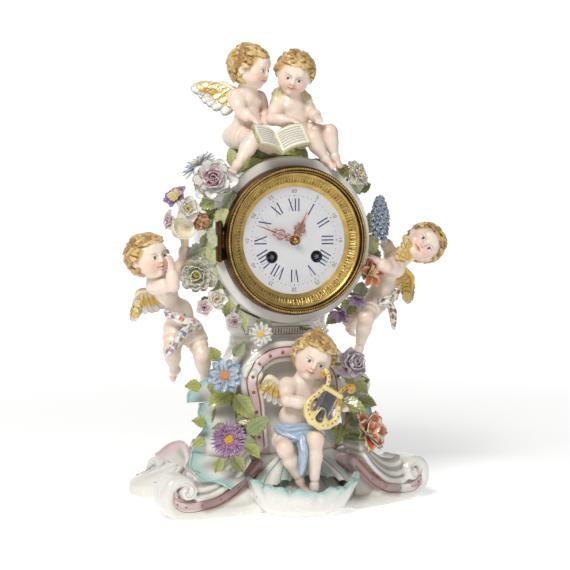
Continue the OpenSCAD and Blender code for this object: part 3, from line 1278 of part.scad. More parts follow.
// Every luted form by name, larger all over by a gap, for cutting what sits against it
module form(name, grow) {
    for (f = blooms(name)) flower(f, grow);
    if (name == "drum") drum_solid(grow);
    if (name == "bezel") bezel_room();
    if (name == "plinth") plinth_form(grow);
    if (name == "shell") shell_form(grow, false);
    if (name == "shell_wall") shell_form(grow);
    if (name == "pedestal") pedestal_form(grow);
    if (name == "reader") cherub(reader, grow);
    if (name == "listener") {
        cherub(listener, grow);
        // The shawl round the shoulders
        tube(placed(listener, [[-0.5, 0, 0.85], [-0.25, 0.12, 0.92], [0.12, 0.1, 0.85]]),
            girths(top_torso, [0.16, 0.2, 0.16], grow));
    }
    if (name == "left") cherub(left, grow);
    if (name == "right") cherub(right, grow);
    if (name == "player") cherub(player, grow);
    if (name == "book") book_form(grow);
    if (name == "lyre") lyre_form(grow);
    if (name == "drapery") cloth(player, drapery_shares, grow);
    if (name == "sash_left") cloth(left, sash_left_shares, grow);
    if (name == "sash_right") cloth(right, sash_right_shares, grow);
    if (name == "cup") cup_form(grow);
    if (name == "hyacinth") hyacinth_form(grow);
    if (name == "base_leaves") base_leaves_form(grow);
}
// A form cut to sit against the others that are named
module luted(name, others) {
    union() difference() {
        union() {
            form(name, 0);
            children();
        }
        for (other = others) form(other, seat);
    }
}
module putto_left() { color(flesh) luted("left", ["drum", "pedestal", "plinth"]); }
module putto_right() { color(flesh) luted("right", ["drum", "pedestal", "plinth"]); }
module putto_reader() { color(flesh) luted("reader", ["drum", "bezel"]); }
module putto_listener() { color(flesh) luted("listener", ["drum", "bezel", "reader"]); }
module putto_lyre() { color(flesh) luted("player", ["plinth", "shell_wall", "pedestal"]); }

// The open music book, leaning on the knees of the two readers
book_foot = by_drum([-0.2, -0.66, 1]);
book_lean = [0.15, 0.4, 1];
// How far the pages swing forward and down from the spine's cross direction, as shares, then
// the curve of a page: across and out of its plane, as shares of its width
page_swing_shares = [0.45, 0.32];
page_curve_shares = [[-0.04, 0.01], [0.3, -0.1], [0.68, -0.08], [1, 0.02]];
function page_edge(side, out, back = false) = let (n = len(page_curve_shares) - 1)
    [for (i = [0:n]) let (c = page_curve_shares[back ? n - i : i])
        [side * page_width * c.x, page_width * c.y + out]];
module book_form(grow) {
    for (side = [-1, 1])
        facing(book_foot, book_lean, [1, side * page_swing_shares[0],
                side * page_swing_shares[1]])
            translate([0, 0, -grow - side * seat])
                linear_extrude(page_height + 2 * grow + 2 * side * seat)
                polygon(concat(page_edge(side, book_thickness / 2 + grow),
                    page_edge(side, -book_thickness / 2 - grow, true)));
}
module music_book() {
    color(porcelain) luted("book", ["reader", "listener", "drum", "bezel"]);
}

// The lyre: a sound box between two curved horns, with strings to a crossbar
lyre_foot = player[0] + player_torso * [0.22, -1.1, 0.35];
lyre_up = [0.42, 0.12, 1];
lyre_horn_shares = [[0.08, 0.05], [0.24, 0.16], [0.3, 0.34], [0.22, 0.55], [0.14, 0.75],
    [0.2, 0.92], [0.3, 0.98]];
lyre_horn_girth_shares = [0.08, 0.08, 0.06, 0.05, 0.045, 0.05, 0.07];
lyre_box_shares = [[0, 0.06, 0.1], [0.14, 0.14, 0.07], [-0.14, 0.14, 0.07], [0, 0.28, 0.07]];
string_count = 4;
module lyre_form(grow) {
    facing(lyre_foot, lyre_up, [1, -0.1, -0.4]) {
        for (side = [-1, 1])
            tube([for (s = lyre_horn_shares) lyre_length * [side * s[0], 0, s[1]]],
                girths(lyre_length, lyre_horn_girth_shares, grow), 6, [0, 1, 0]);
        hull() for (s = lyre_box_shares) translate(lyre_length * [s[0], 0, s[1]])
            sphere(r = lyre_length * s[2] + grow, $fn = 6);
        hull() for (side = [-1, 1]) translate(lyre_length * [side * 0.18, 0, 0.7])
            sphere(r = lyre_length * 0.04 + grow, $fn = 5);
        for (i = [0:string_count - 1]) hull()
            translate(lyre_length * [(i - (string_count - 1) / 2) * 0.05, 0, 0.2])
                cylinder(r = lyre_length * 0.014 + grow, h = lyre_length * 0.5, $fn = 4);
    }
}
module lyre() { color([0.95, 0.86, 0.6]) luted("lyre", ["player"]); }

// Cloth: bands with folds along them, each as its places, girths, flatness and the
// direction across it, all as shares of the figure's torso
drapery_shares = [[[[-0.42, -0.3, 0.25], [-0.25, -0.5, 0.12], [0.05, -0.62, 0.1],
        [0.4, -0.6, 0.05], [0.62, -0.45, -0.1]], [0.12, 0.24, 0.28, 0.26, 0.12], 0.8, [0, 0, 1]],
    [[[0, -0.8, 0.05], [-0.02, -1, -0.35], [-0.06, -0.95, -0.8]], [0.15, 0.16, 0.08], 0.5,
        [1, 0, 0]]];
sash_left_shares = [[[[-0.5, -0.35, 0.45], [-0.2, -0.5, 0.3], [0.1, -0.4, 0.15],
        [0.2, -0.15, 0]], [0.1, 0.17, 0.17, 0.1], 0.6, [0, 0, 1]],
    [[[0.1, -0.4, 0.15], [-0.35, -0.7, -0.2], [-0.6, -0.75, -0.5]], [0.14, 0.17, 0.09], 0.4,
        [1, 0, 0]]];
sash_right_shares = [[[[0.45, -0.3, 0.3], [0.15, -0.45, 0.1], [-0.2, -0.35, 0]],
        [0.1, 0.18, 0.14], 0.6, [0, 0, 1]],
    [[[0.15, -0.45, 0.1], [0.3, -0.4, -0.2], [0.35, -0.35, -0.6]], [0.14, 0.16, 0.08], 0.4,
        [1, 0, 0]]];
fold_share = 0.3;
module cloth(f, shares, grow) {
    for (c = shares) tube(placed(f, c[0]), girths(f[1], c[1], grow), 10, c[3], c[2],
        fold_share);
}
module lyre_drapery() {
    color([0.62, 0.72, 0.88])
        luted("drapery", ["player", "lyre", "plinth", "shell_wall", "pedestal"]);
}
module sash_left() { color("white") luted("sash_left", ["left", "drum", "pedestal"]); }
module sash_right() {
    color("white") luted("sash_right", ["right", "drum", "pedestal", "orange_lily"]);
}

// Flowers

cup_at = by_drum([-1.35, -0.55, 0.2]);
cup_rings_shares = [[-0.38, 0.12], [-0.25, 0.26], [0, 0.34], [0.06, 0.38], [0.06, 0.28],
    [-0.12, 0.22]];
module cup_form(grow) {
    facing(cup_at, [-0.3, -0.5, 0.8]) skin([for (i = [0:len(cup_rings_shares) - 1])
        let (s = cup_rings_shares[i], r = side_torso * s[1] + (i < 4 ? grow : -grow))
        [for (k = [0:9]) [r * cos(36 * k), r * sin(36 * k), side_torso * s[0]]]]);
}
module flower_cup() {
    color([0.95, 0.9, 0.75]) luted("cup", ["left", "drum"]);
}
module bouquet_left() {
    color([0.85, 0.6, 0.55]) luted("bouquet_left", ["cup", "left", "drum", "bezel"]);
}
module rose_pink() {
    color([0.93, 0.75, 0.78]) luted("rose_pink", ["drum", "bezel", "reader"]);
}
module aster_blue() {
    color([0.7, 0.78, 0.88])
        luted("aster_blue", ["drum", "rose_pink", "reader", "bouquet_left"]);
}
module mum_green() { color([0.88, 0.9, 0.72]) luted("mum_green", ["drum", "bezel", "left"]); }
module small_roses() {
    color([0.95, 0.88, 0.8])
        luted("small_roses", ["drum", "bezel", "left", "mum_green", "sash_left"]);
}
module waist_daisies() {
    color("white") luted("waist_daisies", ["drum", "bezel", "pedestal", "player",
        "small_roses"]);
}
module blue_daisy() {
    color([0.72, 0.8, 0.92]) luted("blue_daisy", ["pedestal", "left", "base_leaves"]);
}
module purple_aster() {
    color([0.7, 0.4, 0.65]) luted("purple_aster", ["pedestal", "plinth", "base_leaves",
        "blue_daisy", "player"]);
}
module white_rose() {
    color([0.93, 0.93, 0.8]) luted("white_rose", ["drum", "bezel", "listener"]);
}
// A spike of florets round a stem: turn of each, its place along and its sizes, as shares
hyacinth_at = by_drum([1.12, -0.33, 0.23]);
floret_count = 9;
module hyacinth_form(grow) {
    for (i = [0:floret_count - 1]) translate(hyacinth_at + hyacinth_length *
            [0.14 * cos(144 * i), 0.14 * sin(144 * i), i / floret_count - 0.45])
        sphere(r = hyacinth_length * (0.2 - 0.05 * i / floret_count) + grow, $fn = 6);
    hull() {
        translate(hyacinth_at) sphere(r = hyacinth_length * 0.14 + grow, $fn = 5);
        translate([0, -drum_front * 0.5, dial_height] + unit([1, 0, 0.2]) * drum_radius)
            sphere(r = hyacinth_length * 0.12 + grow, $fn = 5);
    }
}
module hyacinth() { color([0.5, 0.58, 0.7]) luted("hyacinth", ["drum", "bezel", "right"]); }
module orange_lily() {
    color([0.85, 0.5, 0.35]) luted("orange_lily", ["drum", "bezel", "right"]);
}
module bellflowers() {
    color([0.62, 0.56, 0.68]) luted("bellflowers", ["drum", "bezel", "right", "sash_right",
        "orange_lily", "pedestal"]);
}
module peony() {
    color([0.8, 0.68, 0.76]) luted("peony", ["pedestal", "player", "lyre", "right"]);
}
module parrot_tulip() {
    color([0.85, 0.48, 0.3]) luted("parrot_tulip", ["pedestal", "plinth", "player", "lyre",
        "base_leaves", "drapery"]);
}

// Leaves on the base: place, direction, face, length as a share of a large leaf
base_leaf_shares = [[[-0.5, -0.34, 0.52], [-0.8, -0.3, -0.3], [-0.3, -1, 0.5], 1.1],
    [[-0.5, -0.36, 0.5], [0.5, -0.4, -0.7], [-0.2, -1, 0.1], 1.2],
    [[-0.5, -0.4, 0.2], [-0.8, -0.4, 0.4], [-0.4, -0.5, 1], 1.1],
    [[-0.42, -0.42, 0.2], [0.5, -0.5, 0.5], [0, -1, 0.5], 1.1],
    [[-0.45, -0.42, 0.12], [0.3, -0.7, -0.2], [0, -0.4, 1], 1],
    [[0.4, -0.3, 0.62], [0.7, -0.4, -0.5], [0.4, -1, 0.3], 1.3],
    [[0.36, -0.34, 0.4], [0.6, -0.6, -0.2], [0.2, -1, 0.6], 1.2],
    [[0.38, -0.4, 0.12], [0.8, -0.5, 0], [0, -0.4, 1], 1.3]];
// Stems: two ends and their girth as a share of a leaf's thickness
base_stem_shares = [[[-0.45, -0.2, -0.06], [-0.56, -0.45, 0.2], 1.2],
    [[-0.42, -0.25, -0.06], [-0.47, -0.44, 0.12], 1.2],
    [[-0.35, -0.2, 0.1], [-0.52, -0.38, 0.5], 1.2], [[0.36, -0.2, -0.06], [0.42, -0.44, 0.3], 1.4],
    [[0.2, -0.2, 0.4], [0.37, -0.36, 0.4], 1.4], [[0.28, -0.2, 0.5], [0.42, -0.34, 0.62], 1.4]];
module base_leaves_form(grow) {
    for (l = base_leaf_shares) leaf(by_base(l[0]), l[1], l[2], leaf_length * l[3], grow);
    for (s = base_stem_shares) hull() for (e = [0, 1])
        translate(by_base(s[e])) sphere(r = leaf_thickness * s[2] + grow, $fn = 5);
}
module base_leaves() {
    color(leaf_green) luted("base_leaves", ["plinth", "pedestal", "shell", "player", "lyre",
        "drapery"]);
}
// Leaves round the drum, as angles from the top, clockwise
rim_leaf_angles = [-126, -108, -92, -76, -28, 26, 64, 88, 112];
mound_seat_shares = [[-0.46, 0.06, 0.98], [0.18, 0.06, 0.98]];
module drum_leaves() {
    color(leaf_green) luted("none", ["drum", "bezel", "reader", "listener", "left", "right",
        "rose_pink", "mum_green", "small_roses", "white_rose", "hyacinth", "orange_lily",
        "bellflowers", "cup", "bouquet_left", "aster_blue", "sash_left", "sash_right", "book"]) {
        for (a = rim_leaf_angles) on_dial() rotate([0, 0, -a])
            leaf([-leaf_length * 0.4, drum_radius * 0.992, drum_front * 0.4],
                [1, 0.1, 0.7], [0, 1, 0.4], leaf_length);
        // The mossy mound on which the two readers sit
        hull() for (s = mound_seat_shares) translate(by_drum(s))
            sphere(r = drum_radius * 0.2, $fn = 6);
    }
}

plinth();
shell_basin();
pedestal();
base_leaves();
drum_case();
drum_leaves();
putto_reader();
putto_listener();
putto_left();
putto_right();
putto_lyre();
music_book();
lyre();
lyre_drapery();
sash_left();
sash_right();
flower_cup();
bouquet_left();
rose_pink();
aster_blue();
mum_green();
small_roses();
waist_daisies();
blue_daisy();
purple_aster();
white_rose();
hyacinth();
orange_lily();
bellflowers();
peony();
parrot_tulip();
dial_ring();
sight_ring();
bezel_hinge_pin();
dial();
front_plate();
back_plate();
pillars();
going_barrel();
strike_barrel();
going_train();
strike_train();
suspension_cock();
bell();
case_straps();
rear_ring();
case_bolt();
bezel_ring();
bezel_glass();
minute_hand();
cannon_pinion();
hour_hand();
hour_wheel();
minute_wheel();
going_arbor();
strike_arbor();
anchor_crutch();
pendulum();
hammer();
rear_door();
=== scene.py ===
"""A glazed porcelain table clock with cherubs and flowers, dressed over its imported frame.

Sizes are in millimetres until a mesh is made. Figures, scroll feet and pedestal are sculpted
as distances on a grid and skinned. Petals, leaves, wings and the music book are bent sheets
with a thickness. The dial's painting lies on the enamel as thin relief."""
import math
import bpy
import numpy as np
from mathutils import Matrix, Vector

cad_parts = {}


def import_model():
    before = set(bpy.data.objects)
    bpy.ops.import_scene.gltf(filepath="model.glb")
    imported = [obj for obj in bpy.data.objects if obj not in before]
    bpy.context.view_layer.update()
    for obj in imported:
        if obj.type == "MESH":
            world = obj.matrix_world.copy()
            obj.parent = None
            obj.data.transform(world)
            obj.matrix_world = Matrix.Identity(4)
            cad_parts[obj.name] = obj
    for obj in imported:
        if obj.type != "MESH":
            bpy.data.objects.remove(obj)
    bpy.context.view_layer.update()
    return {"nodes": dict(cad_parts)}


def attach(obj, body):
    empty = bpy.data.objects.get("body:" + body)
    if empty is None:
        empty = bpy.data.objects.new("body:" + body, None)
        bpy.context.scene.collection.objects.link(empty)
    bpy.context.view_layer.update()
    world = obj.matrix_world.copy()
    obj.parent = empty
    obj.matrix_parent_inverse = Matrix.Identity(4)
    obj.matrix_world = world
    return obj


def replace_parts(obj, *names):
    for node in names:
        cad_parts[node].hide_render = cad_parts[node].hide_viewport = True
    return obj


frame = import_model()
MM = 0.001

# Driving sizes, as in the solids: how high the dial's middle stands, the drum's radius, and the
# heights of the mound and of the pedestal between it and the drum
DIAL_HIGH = 222.0
DIAL = np.array([0.0, 0.0, DIAL_HIGH])
DRUM = 70.0
MOUND = 46.0
NECK = DIAL_HIGH - DRUM - MOUND
# The pedestal's oval: half its width at the waist and at the foot, its depth as a share of its
# width, and how far back its middle stands
WAIST, FOOT_WIDE, OVAL, OVAL_BACK = 41.0, 60.0, 0.72, 14.0
GOLDEN_ANGLE = 2.39996


def v3(*p):
    return np.array(p, float)


def on_drum(p):
    """A place in drum radii from the dial's centre."""
    return DIAL + DRUM * np.array(p, float)


def on_base(p):
    """A place in pedestal heights from the middle of the mound's top."""
    return v3(0, 0, MOUND) + NECK * np.array(p, float)


def unit(v):
    v = np.asarray(v, float)
    return v / max(np.linalg.norm(v), 1e-9)


def axes(z, x=(1, 0, 0.01)):
    """A turn whose columns are X, Y, Z, with Z along z and X as near x as it can be."""
    z = unit(z)
    x = np.array(x, float)
    x = unit(x - z * x.dot(z))
    return np.stack([x, np.cross(z, x), z], 1)


def mix(a, b, t):
    return np.asarray(a, float) * (1 - t) + np.asarray(b, float) * t


def tangents(line):
    """Unit directions along a line of places."""
    t = np.gradient(line, axis=0)
    return t / np.maximum(np.linalg.norm(t, axis=1, keepdims=True), 1e-9)


def full_turn(count):
    """Angles of one whole turn, its end left off."""
    return np.linspace(0, 2 * math.pi, count, endpoint=False)


def spread(count, shares, values):
    """Values at even shares of a line, from those at a few shares of it."""
    return np.interp(np.linspace(0, 1, count), shares, values)


def smooth_line(points, count):
    """A Catmull-Rom line through points, as count + 1 places."""
    p = np.array(points, float)
    p = np.vstack([2 * p[0] - p[1], p, 2 * p[-1] - p[-2]])
    s = np.linspace(0, len(p) - 3, count + 1)
    i = np.minimum(s.astype(int), len(p) - 4)
    t = (s - i)[:, None]
    a, b, c, d = p[i], p[i + 1], p[i + 2], p[i + 3]
    return 0.5 * (2 * b + (c - a) * t + (2 * a - 5 * b + 4 * c - d) * t ** 2
                  + (3 * b - a - 3 * c + d) * t ** 3)


# Colours of the glazes, as linear light
def rgb(r, g, b):
    """A colour as it looks, in shares of 255, to linear light."""
    c = np.array([r, g, b]) / 255
    return np.where(c <= 0.04045, c / 12.92, ((c + 0.055) / 1.055) ** 2.4)


WHITE = rgb(234, 231, 224)
GREY = rgb(170, 170, 168)
FLESH = rgb(242, 224, 208)
BLUSH = rgb(232, 158, 138)
HAIR = rgb(206, 168, 106)
HAIR_DARK = rgb(150, 110, 62)
GOLD_PAINT = rgb(196, 150, 62)
YELLOW = rgb(240, 206, 92)
PINK = rgb(224, 198, 202)
PINK_DEEP = rgb(190, 128, 142)
PLUM = rgb(120, 84, 96)
TURQUOISE = rgb(178, 208, 204)
TURQUOISE_DEEP = rgb(140, 180, 174)
LEAF = rgb(142, 154, 92)
LEAF_LIGHT = rgb(214, 218, 138)
LEAF_DARK = rgb(74, 84, 52)
BLUE_PALE = rgb(176, 200, 228)
BLUE_DEEP = rgb(84, 116, 172)
MAGENTA = rgb(168, 92, 158)
ORANGE = rgb(216, 112, 62)
ORANGE_PALE = rgb(242, 196, 156)
BROWN = rgb(96, 62, 38)
INK = rgb(38, 34, 40)


# Meshes

def piece(name, verts, faces, body, look, paint=None, extra=()):
    """A mesh object from places in millimetres. paint is a colour at each point, and extra
    holds more values at each point by name."""
    verts = np.asarray(verts, np.float32) * MM
    faces = [np.asarray(f, np.int32) for f in (faces if isinstance(faces, tuple) else (faces,))]
    mesh = bpy.data.meshes.new(name)
    mesh.vertices.add(len(verts))
    mesh.vertices.foreach_set("co", verts.ravel())
    sizes = np.concatenate([np.full(len(f), f.shape[1]) for f in faces])
    mesh.loops.add(int(sizes.sum()))
    mesh.polygons.add(len(sizes))
    mesh.loops.foreach_set("vertex_index", np.concatenate([f.ravel() for f in faces]))
    mesh.polygons.foreach_set("loop_start", np.concatenate([[0], np.cumsum(sizes)[:-1]]))
    mesh.polygons.foreach_set("use_smooth", np.full(len(sizes), True))
    mesh.update(calc_edges=True)
    if paint is not None:
        store(mesh, "paint", np.c_[np.clip(paint, 0, 1), np.ones(len(verts))], "FLOAT_COLOR",
              "color")
    for key, values in extra:
        store(mesh, key, values, "FLOAT_VECTOR", "vector")
    mesh.materials.append(look)
    obj = bpy.data.objects.new(name, mesh)
    bpy.context.scene.collection.objects.link(obj)
    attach(obj, body)
    return obj


def store(mesh, key, values, kind, field):
    """Values at a mesh's points, under a name that materials read."""
    layer = mesh.attributes.new(key, kind, "POINT")
    layer.data.foreach_set(field, np.asarray(values, np.float32).ravel())


class Heap:
    """Gathers several patches into one mesh."""

    def __init__(self):
        self.v, self.f, self.c, self.n = [], [], [], 0

    def add(self, v, f, c):
        v = np.asarray(v, float).reshape(-1, 3)
        self.v.append(v)
        self.f.append(np.asarray(f) + self.n)
        self.c.append(np.broadcast_to(np.asarray(c, float), v.shape))
        self.n += len(v)

    def make(self, name, body, look, slot):
        """One piece of all patches, its quads first."""
        quads = [f for f in self.f if f.shape[1] == 4]
        tris = [f for f in self.f if f.shape[1] == 3]
        faces = tuple(np.vstack(g) for g in (quads, tris) if g)
        return piece(name, np.vstack(self.v), faces, body, look, np.vstack(self.c))


def grid_faces(nu, nv, wrap_u=False, wrap_v=False):
    """Quads of a grid of nu by nv points."""
    i, j = np.meshgrid(np.arange(nu - (not wrap_u)), np.arange(nv - (not wrap_v)), indexing="ij")
    a = i * nv + j
    b = ((i + 1) % nu) * nv + j
    c = ((i + 1) % nu) * nv + (j + 1) % nv
    d = i * nv + (j + 1) % nv
    return np.stack([a, b, c, d], -1).reshape(-1, 4)


def normals_of(grid):
    """Directions across a grid of places."""
    du = np.gradient(grid, axis=0)
    dv = np.gradient(grid, axis=1)
    n = np.cross(du, dv)
    return n / np.maximum(np.linalg.norm(n, axis=-1, keepdims=True), 1e-9)


def thick(grid, t):
    """A sheet of places (u, v, 3) with a thickness t, closed round its edge."""
    nu, nv = grid.shape[:2]
    n = normals_of(grid) * np.asarray(t)[..., None] / 2 if np.ndim(t) else normals_of(grid) * t / 2
    top, low = grid + n, grid - n
    faces = grid_faces(nu, nv)
    m = nu * nv
    rim = np.concatenate([np.arange(nv), np.arange(1, nu) * nv + nv - 1,
                          (nu - 1) * nv + np.arange(nv - 2, -1, -1),
                          np.arange(nu - 2, 0, -1) * nv])
    nxt = np.roll(rim, -1)
    side = np.stack([rim, nxt, nxt + m, rim + m], 1)
    return np.vstack([top.reshape(-1, 3), low.reshape(-1, 3)]), \
        np.vstack([faces, faces[:, ::-1] + m, side[:, ::-1]])


def pipe(line, radius, n=8, squash=1.0, up=None):
    """A closed tube along a line. radius is one size or one for each place."""
    line = np.asarray(line, float)
    t = tangents(line)
    x = np.array([0, 0, 1.0]) if up is None else np.array(up, float)
    radius = np.broadcast_to(np.asarray(radius, float), len(line))
    rings = []
    for p, d, r in zip(line, t, radius):
        x = x - d * x.dot(d)
        x = unit(x) if np.linalg.norm(x) > 1e-6 else unit(np.cross(d, [0.3, 0.9, 0.1]))
        y = np.cross(d, x)
        a = 2 * math.pi * np.arange(n) / n
        rings.append(p + r * (squash * np.cos(a)[:, None] * x + np.sin(a)[:, None] * y))
    v = np.vstack(rings + [line[:1], line[-1:]])
    f = grid_faces(len(line), n, wrap_v=True)
    m = len(line) * n
    k = np.arange(n)
    first = np.stack([np.full(n, m), (k + 1) % n, k], 1)
    last = np.stack([np.full(n, m + 1), m - n + k, m - n + (k + 1) % n], 1)
    return v, f[:, ::-1], np.vstack([first, last])[:, ::-1]


# Sculpting

class Clay:
    """A grid of distances to a surface, in mm, with the colours of the lumps put on it."""

    def __init__(self, low, high, step):
        self.step = step * 1
        self.low = np.array(low, float)
        self.n = np.ceil((np.array(high, float) - self.low) / self.step).astype(int) + 1
        self.d = np.full(self.n, 6.0, np.float32)
        self.marks = []
        self.stains = []

    def region(self, low, high):
        """The part of the grid inside a box, and its places."""
        i = np.clip(np.floor((np.asarray(low) - self.low) / self.step).astype(int), 0, self.n - 1)
        j = np.clip(np.ceil((np.asarray(high) - self.low) / self.step).astype(int) + 1, 1, self.n)
        if (j <= i).any():
            return None, None
        where = tuple(slice(a, b) for a, b in zip(i, j))
        ax = [(self.low[k] + self.step * np.arange(i[k], j[k])).astype(np.float32)
              for k in range(3)]
        return where, np.stack(np.meshgrid(*ax, indexing="ij"), -1)

    def put(self, shape, blend=1.0, colour=None, cut=False):
        """Adds a lump, or cuts it away, melting the join over blend mm."""
        measure, low, high = shape
        margin = blend + 2.5 * self.step
        where, p = self.region(low - margin, high + margin)
        if where is None:
            return
        d, new = self.d[where], measure(p)
        if cut:
            new = -new
            h = np.clip(0.5 - 0.5 * (new - d) / blend, 0, 1)
            self.d[where] = new * (1 - h) + d * h + blend * h * (1 - h)
        else:
            h = np.clip(0.5 + 0.5 * (new - d) / blend, 0, 1)
            self.d[where] = new * (1 - h) + d * h - blend * h * (1 - h)
            self.marks.append((measure, low, high, colour))

    def trace(self, line, girth, blend, colour=None, cut=False):
        """Puts rounded bars along a line, of one girth or one at each place."""
        girth = [girth] * len(line) if np.ndim(girth) == 0 else girth
        for a, b, ra, rb in zip(line, line[1:], girth, girth[1:]):
            self.put(limb(a, b, ra, rb), blend, colour, cut)

    def stain(self, shape, colour, soft, strength=1.0):
        """Paint laid on where the surface is near a shape."""
        self.stains.append((shape, colour, soft, strength))

    def sample(self, p):
        """The distance at places, between the grid's own."""
        q = np.clip((np.asarray(p) - self.low) / self.step, 0, self.n - 1.001)
        i = q.astype(int)
        t = q - i
        out = 0
        for c in np.ndindex(2, 2, 2):
            w = np.prod(np.where(np.array(c), t, 1 - t), axis=-1)
            out = out + w * self.d[i[..., 0] + c[0], i[..., 1] + c[1], i[..., 2] + c[2]]
        return out

    def skin(self, base, soft=0.6, relax=2, fold_shade=0.5):
        """The surface as (verts, quads, colours), with painted shade darkening its folds."""
        d = self.d
        inside = d < 0
        n = np.array(d.shape) - 1
        cut = [slice(0, -1), slice(1, None)]
        total = sum(inside[cut[a], cut[b], cut[c]].astype(np.int8)
                    for a, b, c in np.ndindex(2, 2, 2))
        cells = np.argwhere((total > 0) & (total < 8))
        ids = np.full(n, -1, np.int32)
        ids[tuple(cells.T)] = np.arange(len(cells))
        acc = np.zeros((len(cells), 3))
        hits = np.zeros(len(cells))
        corner = {c: d[tuple((cells + c).T)] for c in np.ndindex(2, 2, 2)}
        for c in np.ndindex(2, 2, 2):
            for k in range(3):
                if c[k]:
                    continue
                e = list(c)
                e[k] = 1
                a, b = corner[c], corner[tuple(e)]
                cross = (a < 0) != (b < 0)
                t = np.where(cross, a / np.where(cross, a - b, 1), 0)
                at = np.array(c, float) + np.outer(t, np.eye(3)[k])
                acc += at * cross[:, None]
                hits += cross
        v = self.low + self.step * (cells + acc / hits[:, None])
        quads = []
        for k in range(3):
            i, j = [m for m in range(3) if m != k]
            a = [slice(1, -1)] * 3
            b = list(a)
            a[k] = slice(0, -1)
            b[k] = slice(1, None)
            s0, s1 = inside[tuple(a)], inside[tuple(b)]
            p = np.argwhere(s0 != s1) + [0 if m == k else 1 for m in range(3)]
            ei, ej = np.eye(3, dtype=int)[i], np.eye(3, dtype=int)[j]
            q = np.stack([ids[tuple((p - o).T)] for o in (0 * ei, ei, ei + ej, ej)], 1)
            flip = inside[tuple(p.T)]
            if k == 1:
                flip = ~flip
            q[flip] = q[flip][:, ::-1]
            quads.append(q)
        quads = np.vstack(quads)
        quads = quads[(quads >= 0).all(1)][:, ::-1]
        e = np.vstack([quads[:, [0, 1]], quads[:, [1, 2]], quads[:, [2, 3]], quads[:, [3, 0]]])
        count = np.bincount(e[:, 0], minlength=len(v))[:, None]

        def around(x):
            return np.stack([np.bincount(e[:, 0], x[e[:, 1], k], len(x))
                             for k in range(x.shape[1])], 1) / np.maximum(count, 1)
        for _ in range(relax):
            v = v + 0.5 * (around(v) - v)
        g = np.stack([self.sample(v + o) - self.sample(v - o) for o in np.eye(3) * self.step], -1)
        g /= np.maximum(np.linalg.norm(g, axis=-1, keepdims=True), 1e-6)
        bend = ((around(v) - v) * g).sum(1, keepdims=True) / self.step
        for _ in range(3):
            bend = around(bend)
        colours = self.coloured(v, base, soft)
        # Painted shade: colours darken where the surface bends inwards, in creases and hollows
        fold_shade_amount = np.clip(bend * 7, 0, 1) ** 0.8 * fold_shade
        return v, quads, colours * (1 - fold_shade_amount * np.array([0.55, 0.62, 0.7]))

    def coloured(self, v, base, soft):
        """The colours at places: each lump's own near it, melting over soft mm, then stains."""
        near = np.full(len(v), 99.0)
        groups = {}
        for measure, low, high, colour in self.marks:
            key = None if colour is None else tuple(np.round(colour, 4))
            groups.setdefault(key, []).append((measure, low, high))
        total = np.zeros(len(v))
        acc = np.zeros((len(v), 3))
        dist = {}
        for key, shapes in groups.items():
            d = np.full(len(v), 9.0)
            for measure, low, high in shapes:
                m = ((v > low - 3) & (v < high + 3)).all(1)
                if m.any():
                    d[m] = np.minimum(d[m], measure(v[m].astype(np.float32)))
            dist[key] = d
            near = np.minimum(near, d)
        for key, d in dist.items():
            w = np.exp(-np.clip((d - near) / soft, 0, 30) * 3)
            total += w
            acc += w[:, None] * (np.asarray(base) if key is None else np.array(key))
        out = acc / np.maximum(total, 1e-9)[:, None]
        for (measure, low, high), colour, soft_edge, strength in self.stains:
            m = ((v > low - soft_edge) & (v < high + soft_edge)).all(1)
            if m.any():
                w = strength * np.clip(0.5 - measure(v[m].astype(np.float32)) / soft_edge, 0, 1)
                out[m] = mix(out[m], colour, w[:, None])
        return out


def land(clay, line, way, over=0.0):
    """The places where lines of sight along way through a line's places meet a surface."""
    reach, pace = 12.0, 0.3
    line, way = np.asarray(line, float), unit(way)
    steps = np.arange(-reach, reach, pace)
    d = clay.sample(line[:, None] + steps[None, :, None] * way)
    met = (d < 0).any(1)
    first = (d < 0).argmax(1)
    return (line + (steps[first] - over)[:, None] * way)[met]


def ball(at, r):
    """A ball, or an ellipsoid along the axes when r holds three radii."""
    at = np.array(at, np.float32)
    r = np.broadcast_to(np.array(r, np.float32), 3)
    if np.ptp(r) < 1e-6:
        return (lambda p: np.linalg.norm(p - at, axis=-1) - r[0]), at - r, at + r

    def measure(p):
        q = (p - at) / r
        k = np.linalg.norm(q, axis=-1)
        return k * (k - 1) / np.maximum(np.linalg.norm(q / r, axis=-1), 1e-6)
    return measure, at - r, at + r


def egg(at, r, turn):
    """An ellipsoid with radii r along the columns of turn."""
    at, r, turn = np.array(at, np.float32), np.array(r, np.float32), np.array(turn, np.float32)
    reach = np.abs(turn) @ r

    def measure(p):
        q = (p - at) @ turn / r
        k = np.linalg.norm(q, axis=-1)
        return k * (k - 1) / np.maximum(np.linalg.norm(q / r, axis=-1), 1e-6)
    return measure, at - reach, at + reach


def limb(a, b, ra, rb, flat=1.0, across=None):
    """A rounded bar from a to b, its thickness along across being flat times its width."""
    a, b = np.array(a, np.float32), np.array(b, np.float32)
    ab = b - a
    length = max(float(ab.dot(ab)), 1e-9)
    n = None if across is None else unit(across).astype(np.float32)

    def measure(p):
        q = p - a
        t = np.clip((q @ ab) / length, 0, 1)
        q = q - t[..., None] * ab
        if n is not None:
            q = q + n * ((q @ n) * (1 / flat - 1))[..., None]
        return np.linalg.norm(q, axis=-1) - (ra + (rb - ra) * t)
    r = max(ra, rb)
    return measure, np.minimum(a, b) - r, np.maximum(a, b) + r


def lathe_mesh(profile, count):
    """A turned mesh about the forward axis, from (radius, forward)."""
    p = np.array(profile, float)
    a = full_turn(count)[None, :]
    r = p[:, 0][:, None]
    v = np.stack([r * np.sin(a), -p[:, 1][:, None] + 0 * a, r * np.cos(a)], -1)
    return v.reshape(-1, 3), grid_faces(len(p), count, wrap_v=True)


